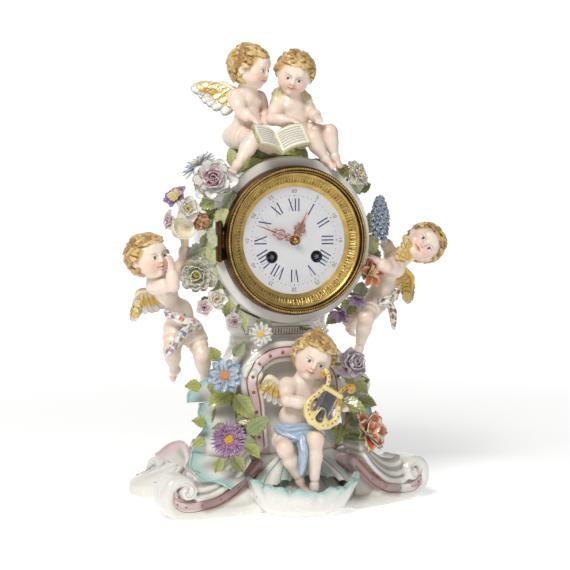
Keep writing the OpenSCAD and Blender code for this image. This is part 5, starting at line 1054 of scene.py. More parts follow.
def bead():
    """A small ball for grains and dots."""
    n, m = 8, 6
    a = full_turn(n)[:, None]
    e = np.linspace(0.02, math.pi - 0.02, m)[None, :]
    p = np.stack([np.sin(e) * np.cos(a), np.sin(e) * np.sin(a), np.cos(e) + 0 * a], -1)
    return p.reshape(-1, 3), grid_faces(n, m, wrap_u=True)[:, ::-1]


BEAD = bead()


def add_pipe(heap, line, radius, colour, n=8, squash=1.0, up=None):
    """A closed tube laid on a heap."""
    v, quads, tris = pipe(line, radius, n, squash, up)
    start = heap.n
    heap.add(v, quads, colour)
    heap.f.append(tris + start)


def put_stem(heap, at, face, r, foot):
    """A stem from a flower's back to its foot, and five sepals. Its ends are hidden and open."""
    girth = 1.5
    root = np.asarray(at) - unit(face) * r * 0.12
    foot = np.asarray(foot, float)
    mid = mix(root, foot, 0.5) - unit(face) * r * 0.12
    line = smooth_line([root + unit(face) * r * 0.02, root - unit(face) * r * 0.2, mid, foot], 14)
    v, quads, _ = pipe(line, np.r_[r * 0.3, r * 0.26, np.full(13, girth)], 10)
    heap.add(v, quads, LEAF)
    turn = axes(face)
    put_row(heap, root, turn, r, dict(n=5, reach=0.5, width=0.34, shape=SPIKY, rise=0.25,
                                      curl=-0.3, cup=0.3, paint=(LEAF, LEAF, LEAF_LIGHT),
                                      start=0.1, lift=-0.04, thick=0.6), 5)


def foot_of(p, base):
    """Where a flower's stem reaches the drum or the pedestal."""
    if not base:
        return v3(0, -17, DIAL_HIGH) + unit([p[0], 0, p[2]]) * DRUM * 0.97
    return on_base((0, 0, p[2])) + v3(0, OVAL_BACK, 0) + unit([p[0], p[1], 0]) * WAIST * base


def row(n, reach, width, rise, curl, cup, paint, **more):
    """One ring of petals for put_row: how many, their sizes in radii, their bend and colours."""
    return dict(n=n, reach=reach, width=width, rise=rise, curl=curl, cup=cup, paint=paint, **more)


CREAM = rgb(240, 232, 206)
BUTTER = rgb(232, 214, 150)
ROSE_GREEN = rgb(214, 222, 178)
LILAC = rgb(206, 176, 206)
MAUVE = rgb(150, 120, 158)
SLATE = rgb(120, 136, 164)
RED = rgb(150, 40, 48)
SKY = rgb(150, 178, 212)
# Each flower's rings of petals, from outside in, with three colours: root, body and edge
rows = {
    "rose": [row(5, 1.04, 1.2, 0.1, -0.22, 0.24, (PINK, WHITE, WHITE), lift=-0.12),
             row(5, 0.88, 1.06, 0.42, -0.15, 0.32, (PINK_DEEP, WHITE, WHITE), turn=0.5),
             row(5, 0.74, 0.98, 0.8, 0.2, 0.5, (PINK_DEEP, PINK, WHITE), turn=0.2, lift=0.02),
             row(5, 0.62, 0.84, 1.0, 0.5, 0.7, (PLUM, PINK_DEEP, PINK), turn=0.7),
             row(4, 0.5, 0.66, 1.15, 0.7, 0.9, (PLUM, PINK, PINK), turn=0.1, start=0.04),
             row(3, 0.38, 0.5, 1.3, 0.9, 1.0, (PLUM, PINK_DEEP, PINK), turn=0.4, start=0.03)],
    "white_rose": [row(5, 1, 1.12, 0.1, -0.3, 0.25, (BUTTER, WHITE, CREAM), lift=-0.1),
                   row(5, 0.84, 1.0, 0.4, -0.4, 0.35, (BUTTER, CREAM, WHITE), turn=0.5),
                   row(5, 0.66, 0.84, 0.75, -0.5, 0.45, (YELLOW, CREAM, WHITE), turn=0.2),
                   row(5, 0.52, 0.7, 1.05, -0.45, 0.6, (YELLOW, BUTTER, CREAM), turn=0.7),
                   row(4, 0.42, 0.5, 1.3, -0.3, 0.8, (ORANGE_PALE, BUTTER, CREAM), start=0.04)],
    "aster": [row(17, 1, 0.2, 0.06, -0.1, 0.5, (GREY, BLUE_PALE, WHITE), shape=SPIKY,
                  fine=(9, 5), vein=0.2),
              row(15, 0.86, 0.2, 0.36, -0.1, 0.5, (GREY, BLUE_PALE, WHITE), shape=SPIKY, turn=0.4,
                  fine=(9, 5), vein=0.2),
              row(12, 0.68, 0.18, 0.7, -0.05, 0.5, (YELLOW, WHITE, BLUE_PALE), shape=SPIKY,
                  fine=(8, 5)),
              row(9, 0.5, 0.16, 1.05, 0, 0.5, (YELLOW, CREAM, WHITE), shape=SPIKY, fine=(7, 5))],
    "mum": [row(11, 1, 0.62, 0.15, 0.35, 0.4, (LEAF, CREAM, WHITE), lift=-0.12, fine=(9, 7),
                point=0.1),
            row(11, 0.92, 0.58, 0.45, 0.45, 0.4, (LEAF, CREAM, WHITE), turn=0.5, fine=(9, 7),
                point=0.1),
            row(10, 0.82, 0.52, 0.72, 0.55, 0.45, (BROWN, ROSE_GREEN, WHITE), turn=0.2,
                fine=(9, 7), point=0.1),
            row(8, 0.7, 0.46, 0.95, 0.65, 0.5, (BROWN, ROSE_GREEN, CREAM), turn=0.6,
                fine=(9, 7), point=0.1),
            row(6, 0.56, 0.42, 1.15, 0.75, 0.6, (BROWN, LEAF_LIGHT, YELLOW), turn=0.1,
                fine=(8, 7), point=0.1)],
    "bud": [row(5, 1.0, 0.98, 0.42, -0.5, 0.4, (BUTTER, WHITE, CREAM), ruffle=0.07),
            row(5, 0.74, 0.8, 0.8, -0.4, 0.5, (YELLOW, CREAM, WHITE), turn=0.5, ruffle=0.05),
            row(4, 0.56, 0.6, 1.15, -0.3, 0.7, (ORANGE_PALE, BUTTER, CREAM), start=0.05)],
    "pink_bud": [row(5, 1.0, 0.98, 0.42, -0.5, 0.4, (PINK_DEEP, PINK, WHITE), ruffle=0.07),
                 row(5, 0.74, 0.8, 0.8, -0.4, 0.5, (PINK_DEEP, PINK, WHITE), turn=0.5),
                 row(4, 0.56, 0.6, 1.15, -0.3, 0.7, (PLUM, PINK_DEEP, PINK), start=0.05)],
    "pansy": [row(5, 1.0, 1.0, 0.3, -0.2, 0.35, (YELLOW, MAUVE, LILAC), ruffle=0.08, vein=0.5),
              row(4, 0.7, 0.8, 0.7, -0.2, 0.4, (YELLOW, BUTTER, WHITE), turn=0.5, ruffle=0.06,
                  vein=0.4)],
    "daisy": [row(12, 1, 0.4, 0.08, -0.12, 0.4, (GREY, WHITE, WHITE), shape=NARROW,
                  fine=(9, 7), vein=0.18),
              row(11, 0.84, 0.34, 0.3, -0.2, 0.4, (GREY, WHITE, WHITE), shape=NARROW, turn=0.5,
                  fine=(9, 7), vein=0.18)],
    "blue_daisy": [row(11, 1, 0.52, 0.22, -0.06, 0.5, (BLUE_DEEP, BLUE_PALE, SKY),
                       shape=ROUND, fine=(9, 7), vein=0.35),
                   row(10, 0.86, 0.46, 0.42, -0.1, 0.5, (BLUE_DEEP, BLUE_PALE, WHITE),
                       shape=ROUND, turn=0.5, fine=(9, 7), vein=0.35)],
    "magenta": [row(n, reach, width, rise, 0.02, 0.5, (root, MAGENTA, LILAC), shape=NARROW,
                    fine=(steps, 5), vein=vein, turn=turn)
                for n, reach, width, rise, root, steps, vein, turn in (
                    (30, 1, 0.15, 0.06, PLUM, 8, 0.2, 0), (28, 0.9, 0.14, 0.24, PLUM, 8, 0.2, 0.5),
                    (26, 0.76, 0.13, 0.44, PLUM, 7, 0.12, 0.3),
                    (22, 0.6, 0.12, 0.7, RED, 7, 0.12, 0))],
    "lily": [row(3, 1.02, 0.56, 0.5, -1.0, 0.45, (YELLOW, ORANGE, ORANGE_PALE), shape=NARROW,
                 vein=0.3, ruffle=0.05, fine=(13, 9)),
             row(3, 1.0, 0.62, 0.62, -0.95, 0.45, (YELLOW, ORANGE, ORANGE_PALE), shape=NARROW,
                 turn=0.5, vein=0.3, ruffle=0.05, fine=(13, 9)),
             row(4, 0.62, 0.34, 1.0, -0.4, 0.6, (YELLOW, ORANGE_PALE, CREAM), shape=NARROW,
                 turn=0.2, ruffle=0.05)],
    "bell": [row(6, 1.15, 0.72, 1.05, -0.75, 0.35, (PLUM, MAUVE, LILAC), shape=ROUND,
                 ruffle=0.05, start=0.12, lift=-0.3)],
    "peony": [row(5, 1.0, 1.1, 0.2, -0.1, 0.4, (MAUVE, LILAC, WHITE), ruffle=0.06, lift=-0.2),
              row(5, 0.96, 1.04, 0.5, 0.25, 0.5, (MAUVE, LILAC, WHITE), turn=0.5, ruffle=0.06),
              row(5, 0.92, 0.94, 0.8, 0.5, 0.6, (MAUVE, LILAC, WHITE), turn=0.2, ruffle=0.06),
              row(5, 0.84, 0.8, 1.0, 0.65, 0.7, (PLUM, MAUVE, WHITE), turn=0.6, ruffle=0.06),
              row(4, 0.72, 0.6, 1.15, 0.7, 0.8, (PLUM, LILAC, WHITE), turn=0.3, start=0.04),
              row(3, 0.6, 0.46, 1.3, 0.7, 0.9, (PLUM, PINK_DEEP, WHITE), start=0.04)],
    "tulip": [row(3, 1.12, 0.82, 0.35, -0.5, 0.4, (ORANGE, ORANGE, CREAM), ruffle=0.12, waves=5,
                  teeth=3, vein=0.35, fine=(15, 13), shape=NARROW, point=0.3),
              row(3, 1.05, 0.8, 0.7, -0.7, 0.45, (YELLOW, ORANGE, CREAM), turn=0.5, ruffle=0.14,
                  waves=5, teeth=3, vein=0.35, fine=(15, 13), shape=NARROW, point=0.3),
              row(4, 0.78, 0.6, 1.05, -0.6, 0.5, (RED, ORANGE, CREAM), turn=0.3, ruffle=0.12,
                  waves=4, teeth=3, fine=(13, 11), shape=NARROW, point=0.3)]}
# The flowers' hearts: their width and height in radii, and their colour
hearts = {"aster": (0.17, 0.5, YELLOW), "mum": (0.16, 0.6, LEAF_LIGHT),
          "pansy": (0.15, 0.2, YELLOW), "daisy": (0.32, 0.22, YELLOW),
          "blue_daisy": (0.28, 0.26, rgb(228, 158, 84)),
          "magenta": (0.34, 0.3, rgb(222, 176, 50)), "bell": (0.2, 0.1, PLUM),
          "lily": (0.12, 0.3, YELLOW), "tulip": (0.16, 0.3, YELLOW)}


def bloom(heap, kind, at, face, r, foot, seed, twist):
    """A whole flower: its rings of petals from outside in, its heart and its stem."""
    face = unit(face)
    turn = axes(face, (math.cos(twist), 0.01, math.sin(twist)))
    for k, one in enumerate(rows[kind]):
        put_row(heap, at, turn, r, one, seed * 31 + k)
    if kind in hearts:
        wide, high, colour = hearts[kind]
        dome(heap, at + face * r * 0.03, turn, r * wide, r * high * 0.6, colour)
    put_stem(heap, at, face, r, foot)


def flower_piece(node, slot, flowers):
    """One flower node's picture: kind, place, facing, radius and where its stem stands."""
    heap = Heap()
    for k, (kind, p, face, r, base) in enumerate(flowers):
        at = on_base(p) if base else on_drum(p)
        bloom(heap, kind, at, face, r, foot_of(p, base), len(node) * 7 + k, 0.5 * k)
    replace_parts(heap.make(node + "_petals", "case", BLOOM, slot), node)


flower_piece("rose_pink", "pink_glaze", [("rose", (-0.98, -0.5, 0.7), (-0.35, -1, 0.3), 18, 0)])
flower_piece("aster_blue", "blue_glaze",
             [("aster", (-1.06, -0.2, 0.86), (-0.6, -0.1, 0.8), 15, 0)])
flower_piece("mum_green", "leaf_green",
             [("mum", (-1.13, -0.4, -0.37), (-0.55, -1, -0.1), 15.5, 0)])
flower_piece("bouquet_left", "orange_glaze",
             [("bud", (-1.3, -0.57, 0.37), (0, -1, 0.2), 10.5, 0),
              ("pansy", (-1.36, -0.3, 0.5), (-0.6, -0.5, 0.6), 10.5, 0),
              ("pink_bud", (-1.48, -0.5, 0.24), (-1, -0.3, 0.1), 8.4, 0),
              ("lily", (-1.15, -0.48, 0.24), (0.2, -1, 0), 8.4, 0)])
flower_piece("small_roses", "yellow_glaze",
             [("bud", (-0.94, -0.5, -0.66), (-0.3, -1, -0.1), 9, 0),
              ("pink_bud", (-0.72, -0.45, -0.92), (-0.1, -1, -0.4), 7.2, 0),
              ("pink_bud", (-1.06, -0.42, -0.76), (-0.6, -0.8, 0), 7.2, 0)])
flower_piece("waist_daisies", "porcelain",
             [("daisy", (-0.285, -0.37, 0.95), (-0.3, -1, -0.1), 9.5, 0.75),
              ("daisy", (0.17, -0.4, 0.96), (0.2, -1, -0.1), 9.5, 0.75)])
flower_piece("blue_daisy", "blue_glaze",
             [("blue_daisy", (-0.61, -0.5, 0.66), (-0.35, -1, 0.3), 14, 0.75)])
flower_piece("purple_aster", "purple_glaze",
             [("magenta", (-0.62, -0.62, 0.2), (-0.15, -1, 0.05), 14, 1)])
flower_piece("white_rose", "yellow_glaze",
             [("white_rose", (0.79, -0.48, 0.76), (0.75, -0.75, 0.4), 14, 0)])
flower_piece("orange_lily", "orange_glaze",
             [("lily", (1, -0.38, -0.4), (0.35, -1, 0.1), 14, 0)])
flower_piece("bellflowers", "purple_glaze",
             [("bell", (0.8, -0.46, -0.7), (-0.45, -0.75, -0.75), 8.5, 0),
              ("bell", (0.62, -0.42, -0.88), (-0.55, -0.75, -0.7), 8.5, 0)])
flower_piece("peony", "pink_glaze", [("peony", (0.42, -0.46, 0.7), (0.35, -1, 0.3), 14, 0.75)])
flower_piece("parrot_tulip", "orange_glaze",
             [("tulip", (0.52, -0.56, 0.18), (0.45, -1, 0.35), 17, 1)])


def hyacinth_spike():
    """Florets of six small petals round a stem."""
    heap, florets = Heap(), 64
    at = on_drum((1.12, -0.33, 0.23))
    base = v3(0, -16, DIAL_HIGH) + unit([1, 0, 0.2]) * DRUM
    add_pipe(heap, smooth_line([base, mix(base, at, 0.6), at + v3(0, 0, -10), at + v3(0, 0, 14)],
                               16), np.linspace(2.2, 1.0, 17), LEAF, 8)
    for k in range(florets):
        s = (k + 0.5) / florets
        a = k * GOLDEN_ANGLE
        out = unit(v3(math.cos(a), math.sin(a), 0.15 + 0.7 * s ** 3))
        p = at + v3(2, 0, (s - 0.5) * 34) + out * (7.4 * math.sin(0.5 + 2.3 * s) - 1.2)
        tone = dict(rows["bell"][0], n=6, reach=1.2 - 0.3 * s, width=0.5, rise=0.75, curl=-0.7,
                    paint=(INK, SLATE, rgb(206, 216, 226)), start=0.1, lift=0, fine=(6, 5),
                    thick=0.4)
        put_row(heap, p, axes(out, (0.1, 0.2, 1)), 3.9, tone, 400 + k)
    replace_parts(heap.make("hyacinth_florets", "case", BLOOM, "blue_glaze"), "hyacinth")


hyacinth_spike()


def leaf_sheet(heap, at, along, face, length, seed, light=LEAF_LIGHT, dark=LEAF_DARK,
               teeth=7, wide=0.72):
    """A serrated leaf folded along its midrib, with side veins and a drooping tip."""
    local = np.random.default_rng(seed)
    nu, nv = 36, 13
    s = np.linspace(0, 1, nu)[:, None]
    t = np.linspace(-1, 1, nv)[None, :]
    half = np.interp(s, [0, 0.08, 0.25, 0.42, 0.7, 0.9, 1], [0.06, 0.4, 0.86, 1, 0.72, 0.32, 0.02])
    saw = (s * teeth) % 1
    half = half * (1 - 0.2 * (1 - saw) * (s > 0.1)) * length * wide / 2
    a = np.abs(t)
    x = s * length + 0.06 * length * a * (1 - s)
    droop = local.uniform(0.1, 0.2)
    veins = np.cos((s * teeth - a * 1.6) * 2 * math.pi)
    z = -droop * length * s ** 2 + 0.3 * half * a ** 1.3 + 0.16 * veins * (a > 0.06) * (a < 0.95)
    z = z - 0.35 * np.exp(-(t / 0.1) ** 2) + 0.03 * length * np.sin(5 * s + seed) * t
    face = unit(face)
    along = unit(np.array(along, float))
    side = unit(np.cross(face, along))
    face = np.cross(along, side)
    p = np.asarray(at) + x[..., None] * along + (half * t)[..., None] * side + z[..., None] * face
    c = mix(dark, light, np.clip(0.25 + 0.75 * a ** 0.8 * (0.6 + 0.4 * veins) + 0 * s, 0,
                                 1)[..., None])
    c = mix(c, light * 0.9, np.exp(-(t / 0.07) ** 2)[..., None] + 0 * c)
    v, f = thick(p, 0.8)
    heap.add(v, f, np.vstack([c.reshape(-1, 3), c.reshape(-1, 3) * 0.8]))


def leaves():
    """The leaves and bare twigs that climb the pedestal."""
    heap = Heap()
    base = [((-0.5, -0.34, 0.52), (-0.8, -0.3, -0.3), (-0.3, -1, 0.5), 1.1),
            ((-0.5, -0.36, 0.5), (0.5, -0.4, -0.7), (-0.2, -1, 0.1), 1.2),
            ((-0.5, -0.4, 0.2), (-0.8, -0.4, 0.4), (-0.4, -0.5, 1), 1.1),
            ((-0.42, -0.42, 0.2), (0.5, -0.5, 0.5), (0, -1, 0.5), 1.1),
            ((-0.45, -0.42, 0.12), (0.3, -0.7, -0.2), (0, -0.4, 1), 1),
            ((0.4, -0.3, 0.62), (0.7, -0.4, -0.5), (0.4, -1, 0.3), 1.3),
            ((0.36, -0.34, 0.4), (0.6, -0.6, -0.2), (0.2, -1, 0.6), 1.2),
            ((0.38, -0.4, 0.12), (0.8, -0.5, 0), (0, -0.4, 1), 1.3)]
    stems = [((-0.45, -0.2, -0.06), (-0.56, -0.45, 0.2), 1.2),
             ((-0.42, -0.25, -0.06), (-0.47, -0.44, 0.12), 1.2),
             ((-0.35, -0.2, 0.1), (-0.52, -0.38, 0.5), 1.2),
             ((0.36, -0.2, -0.06), (0.42, -0.44, 0.3), 1.4),
             ((0.2, -0.2, 0.4), (0.37, -0.36, 0.4), 1.4),
             ((0.28, -0.2, 0.5), (0.42, -0.34, 0.62), 1.4)]
    tan = rgb(150, 118, 72)
    for a, b, girth in stems:
        a, b = on_base(a), on_base(b)
        add_pipe(heap, smooth_line([a, mix(a, b, 0.5) + v3(0, -2, 1), b], 10),
                 np.linspace(girth * 1.3, girth * 0.8, 11), tan)
    shades = [(rgb(216, 220, 130), LEAF), (rgb(222, 222, 140), LEAF), (LEAF_LIGHT, LEAF_DARK),
              (rgb(186, 198, 130), rgb(128, 140, 116))]
    low = [(-79, -40, 106, -1.0, 0.1, 1.0), (-70, -38, 99, 0.2, 1, 1.1),
           (-58, -40, 112, 0.7, 0.8, 1), (-56, -36, 96, 0.8, -0.4, 1.2),
           (-76, -44, 76, -0.9, 0.3, 0.9), (-78, -46, 64, -1, -0.4, 0.8),
           (-52, -46, 76, 1, 0.5, 1.0), (-50, -48, 62, 0.9, -0.3, 1.1),
           (-66, -48, 48, -0.3, -0.9, 0.9), (-56, -50, 50, 0.5, -0.8, 1.1),
           (-64, -34, 88, -0.2, -0.9, 1.2), (-50, -32, 128, 0.5, 0.7, 1),
           (-62, -30, 124, -0.5, 0.8, 1), (52, -34, 100, 0.9, 0.3, 1.1),
           (58, -36, 88, 1, -0.3, 1.1), (46, -40, 80, 0.6, -0.8, 1.2),
           (40, -42, 70, -0.2, -0.9, 1.2), (50, -44, 60, 0.8, -0.5, 1.2),
           (36, -40, 92, -0.5, 0.5, 1), (60, -42, 66, 1, 0.1, 0.9), (48, -34, 118, 0.7, 0.6, 1),
           (34, -36, 112, -0.5, 0.6, 1)]
    for k, (p, along, face, size) in enumerate(base):
        light, dark = shades[k % 4]
        leaf_sheet(heap, on_base(p), along, face, 22 * size, 50 + k, light, dark)
    local = np.random.default_rng(31)
    for k, (x, y, z, ax, az, size) in enumerate(low):
        # Leaves right of the middle are painted darker: painted shade on the side away from the key
        # lamp
        light, dark = shades[k % 4] if x < 0 else (shades[k % 4][0] * 0.75, LEAF_DARK)
        leaf_sheet(heap, (x, y + 5, z), (ax, -0.35, az), (0.3 * local.normal(), -1, 0.4),
                   15 * size, 150 + k, light, dark, 6, 0.8)
    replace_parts(heap.make("base_foliage", "case", GREEN, "leaf_green"), "base_leaves")


leaves()

# The base: scroll feet on a mound, the waisted pedestal and the shell basin

def placed_axes(origin, turn_deg, side):
    """Side view of a scroll: X outwards, Y into the clock, Z up."""
    a = math.radians(-turn_deg)
    x = v3(math.cos(a), math.sin(a), 0)
    y = v3(-math.sin(a), math.cos(a), 0)
    return np.array(origin, float), np.stack([x * side, y, v3(0, 0, 1)], 1)


def rounded(flat, depth, deep0, deep1, round_by):
    """The distance to a form drawn through from deep0 to deep1, its edges rounded."""
    across = np.abs(depth - (deep0 + deep1) / 2) - (deep1 - deep0) / 2
    a, b = flat + round_by, across + round_by
    outside = np.hypot(np.maximum(a, 0), np.maximum(b, 0))
    return outside + np.minimum(np.maximum(a, b), 0) - round_by


def side_box(low, high, origin, turn, deep0, deep1):
    """The lowest and highest places in the clock of a box in side view."""
    corners = np.array([[x, y, z] for x in (low[0], high[0]) for y in (deep0, deep1)
                        for z in (low[1], high[1])]) @ turn.T + origin
    return corners.min(0), corners.max(0)


def to_bar(u, w, a, b):
    """The distance in side view to a straight line from a to b, and the share along it."""
    d = b - a
    t = np.clip(((u - a[0]) * d[0] + (w - a[1]) * d[1]) / max(float(d @ d), 1e-9), 0, 1)
    return np.hypot(u - a[0] - t * d[0], w - a[1] - t * d[1]), t


def chain(points, radii, origin, turn, deep0, deep1, round_by):
    """A line of given girths in side view, drawn through from deep0 to deep1."""
    points = np.array(points, np.float32)
    radii = np.broadcast_to(np.array(radii, np.float32), len(points))
    origin, turn = np.array(origin, np.float32), np.array(turn, np.float32)
    low, high = points.min(0) - radii.max(), points.max(0) + radii.max()

    def measure(p):
        q = (p - origin) @ turn
        u, w = q[..., 0], q[..., 2]
        best = np.full(u.shape, 1e3, np.float32)
        for a, b, ra, rb in zip(points[:-1], points[1:], radii[:-1], radii[1:]):
            far, t = to_bar(u, w, a, b)
            best = np.minimum(best, far - (ra + (rb - ra) * t))
        return rounded(best, q[..., 1], deep0, deep1, round_by)
    return (measure, *side_box(low, high, origin, turn, deep0, deep1))


def slab(outline, origin, turn, deep0, deep1, round_by):
    """A filled outline in side view, from deep0 to deep1."""
    outline = np.array(outline, np.float32)
    origin, turn = np.array(origin, np.float32), np.array(turn, np.float32)

    def measure(p):
        q = (p - origin) @ turn
        u, w = q[..., 0], q[..., 2]
        best = np.full(u.shape, 1e3, np.float32)
        inside = np.zeros(u.shape, bool)
        for a, b in zip(outline, np.roll(outline, -1, 0)):
            best = np.minimum(best, to_bar(u, w, a, b)[0])
            cross = (a[1] > w) != (b[1] > w)
            inside ^= cross & (u < (b[0] - a[0]) * (w - a[1]) / (b[1] - a[1] + 1e-12) + a[0])
        return rounded(np.where(inside, -best, best), q[..., 1], deep0, deep1, round_by)
    return (measure, *side_box(outline.min(0), outline.max(0), origin, turn, deep0, deep1))


# A scroll foot in side view, in shares of its height from its eye on the table
rim_line = smooth_line([(-1.55, 0.14), (-1.1, 0.1), (-0.5, 0.115), (0.08, 0.13), (0.37, 0.21),
                        (0.52, 0.4), (0.53, 0.62), (0.43, 0.8), (0.26, 0.88), (0.08, 0.84),
                        (-0.02, 0.72), (0.02, 0.59), (0.13, 0.56), (0.19, 0.65), (0.13, 0.7)], 60)
rim_girth = spread(61, [0, 0.3, 0.5, 0.62, 0.8, 1], [0.13, 0.115, 0.14, 0.12, 0.085, 0.05])
band_line = smooth_line([(0.4, 0.6), (0.4, 0.5), (0.3, 0.38), (0.1, 0.31), (-0.25, 0.32),
                         (-0.66, 0.4), (-1.06, 0.6), (-1.4, 0.9), (-1.6, 1.1)], 30)
inner_line = smooth_line([(-0.04, 0.62), (-0.08, 0.52), (-0.3, 0.48), (-0.62, 0.56), (-0.95, 0.78),
                          (-1.2, 1.02), (-1.36, 1.22)], 24)
web_line = smooth_line([(-1.5, 0.05), (-0.5, 0.03), (0.3, 0.08), (0.58, 0.35), (0.58, 0.65),
                        (0.4, 0.88), (0.1, 0.88), (-0.1, 0.7), (-0.5, 0.62), (-1, 0.85),
                        (-1.5, 1.2)], 40)
GROUND = rgb(236, 234, 228)
# A warm grey painted as shade in recesses: the feet's webs and flutes, the flanges' hollows and the
# shell's grooves
SHADE_GREY = rgb(178, 172, 162)
BRONZE = rgb(146, 96, 48)


def put_scroll(clay, origin, turn, high, deep, front):
    """A foot: its web, five swept ridges, a pink band and the coiled rim. The web and every other
    ridge are painted grey as shade.
    """
    rim, band, inner = rim_line * high, band_line * high, inner_line * high
    # The web behind the coils is painted grey: painted shade
    clay.put(slab(web_line * high, origin, turn, deep * 0.24, deep, 2.0), 2.0, SHADE_GREY)
    for k in range(5):
        swept = inner + np.stack([-0.03 * k * high + 0 * inner[:, 0],
                                  (0.06 + 0.105 * k) * high + 0 * inner[:, 0]], 1)
        # Every other ridge is painted grey: painted shade in the flutes
        clay.put(chain(swept[3:], 0.05 * high, origin, turn, deep * (0.13 + 0.03 * k), deep, 1.0),
                 1.0, GROUND if k % 2 else SHADE_GREY)
    clay.put(chain(band, 0.115 * high, origin, turn, deep * 0.1, deep, 1.2), 1.2, PINK)
    clay.put(chain(inner, 0.055 * high, origin, turn, 0.5, deep, 1.4), 1.2)
    clay.put(chain(rim, rim_girth * high, origin, turn, 0, deep, 0.11 * high), 1.6)
    clay.put(chain(rim[44:], rim_girth[44:] * high, origin, turn, -0.07 * high, deep,
                   0.05 * high), 1.5)
    dusk = chain(band[16:], 0.15 * high, origin, turn, -3, deep * 0.4, 0.1)
    clay.stain(dusk, PLUM, 4.0, 0.7 if front else 0.2)


def on_scroll(origin, turn, line):
    """Places in side view to places in the clock."""
    line = np.asarray(line, float)
    return origin + np.stack([line[:, 0], 0 * line[:, 0], line[:, 1]], 1) @ turn.T


def draw(heap, clay, line, way, girth, colour, over=0.15):
    """A painted line laid on the glaze where lines of sight along way meet it."""
    met = land(clay, line, way, over)
    if len(met) > 3:
        for _ in range(2):
            met[1:-1] = (met[:-2] + 2 * met[1:-1] + met[2:]) / 4
        add_pipe(heap, met, girth if np.ndim(girth) == 0 else np.asarray(girth)[:len(met)],
                 colour, 6)


def gild_scroll(heap, clay, origin, turn, high, front):
    """Gold on both edges of a foot's pink band, dots along it and a line in its coil."""
    way = turn[:, 1]
    for shift in (0.1, -0.1):
        line = smooth_line(on_scroll(origin, turn, band_line * high + [0, shift * high]), 80)
        girth = spread(81, [0, 0.45, 0.6, 1], [0.22, 0.3, 0.8, 0.9])
        draw(heap, clay, line, way, girth if front else 0.3, BRONZE)
    coil = on_scroll(origin, turn, rim_line[36:] * high * [0.97, 0.985] + [0, 0.2])
    draw(heap, clay, smooth_line(coil, 80), way, 0.2, rgb(190, 140, 120))
    for p in land(clay, on_scroll(origin, turn, band_line[3:24:4] * high), way):
        v, q = ball_mesh(p, 1.0, 0.4)
        heap.add(v, q, BRONZE)


def mound_shape():
    """The mound that the feet carry, from the same circles as the solids."""
    middle = 17.5
    feet = [(s * a, b, 27.0) for s in (-1, 1) for a, b in
            ((85, -23), (91.8, 58), (46.75, -23), (34, 51.25))] + [(0, middle, 60.0)]
    angles = np.linspace(-math.pi, math.pi, 361)
    far = np.zeros(361)
    for x, y, r in feet:
        d = x * np.cos(angles) + (y - middle) * np.sin(angles)
        off2 = x * x + (y - middle) ** 2 - d * d
        far = np.maximum(far, np.where(off2 < r * r, d + np.sqrt(np.maximum(r * r - off2, 0)), 0))
    far = np.convolve(np.r_[far[-13:-1], far, far[1:13]], np.hanning(25) / np.hanning(25).sum(),
                      "valid")
    oval = (np.abs(np.cos(angles) / 72) ** 2 + np.abs(np.sin(angles) / 54) ** 2) ** -0.5

    def measure(p):
        x, y, z = p[..., 0], p[..., 1] - middle, p[..., 2]
        a = np.arctan2(y, x)
        lean = np.interp(z / MOUND, [0, 0.06, 0.22, 0.36, 0.5, 0.7, 1],
                         [0.03, -0.01, -0.01, 0.12, 0.42, 0.76, 1])
        r = np.interp(a, angles, far) * (1 - lean) + np.interp(a, angles, oval) * lean
        wave = 1.1 * np.sin(a * 9 + z * 0.12) * np.clip(lean, 0, 1)
        flat = (np.hypot(x, y) - r - wave) * 0.72
        return np.maximum(flat, np.abs(z - MOUND / 2) - MOUND / 2)
    return measure, v3(-125, -52, 0), v3(125, 88, MOUND)


def ruffle(heap, inner, outer, waves, deep, edge):
    """A ruffled shell flange from a root line to an edge line, painted at its edge, with painted
    shade in the hollows of its waves.
    """
    thin, face = 2.4, (0, -1, 0.2)
    nu, nv = 20 * max(len(outer), 6), 22
    a, b = smooth_line(inner, nu - 1), smooth_line(outer, nu - 1)
    s = np.linspace(0, 1, nv)[None, :, None]
    u = np.linspace(0, 1, nu)[:, None, None]
    wave = np.sin(u * waves * 2 * math.pi + 0.8)
    grid = mix(a[:, None], b[:, None], s) + unit(face) * (
        deep * wave * s ** 1.6 + 5.0 * np.sin(math.pi * s) * 0.6 + 3.0 * s ** 4)
    # Painted shade: grey in the hollows of the waves, most midway across the flange
    c = mix(GROUND, SHADE_GREY, np.clip(-wave * 0.5 + 0.3, 0, 1) * np.sin(math.pi * s) ** 0.7)
    c = mix(c, edge, np.clip((s - 0.62) / 0.26, 0, 1))
    c = mix(c, edge * 0.8, np.clip((s - 0.9) / 0.1, 0, 1) * 0.5)
    v, f = thick(grid, thin - 1.0 * np.linspace(0, 1, nv)[None, :] + 0 * u[..., 0])
    flat = c.reshape(-1, 3)
    heap.add(v, f, np.vstack([flat, flat]))
    rim = b + unit(face) * (deep * wave[:, 0] + 3.0)
    add_pipe(heap, rim, thin * 0.36, edge * 0.9)


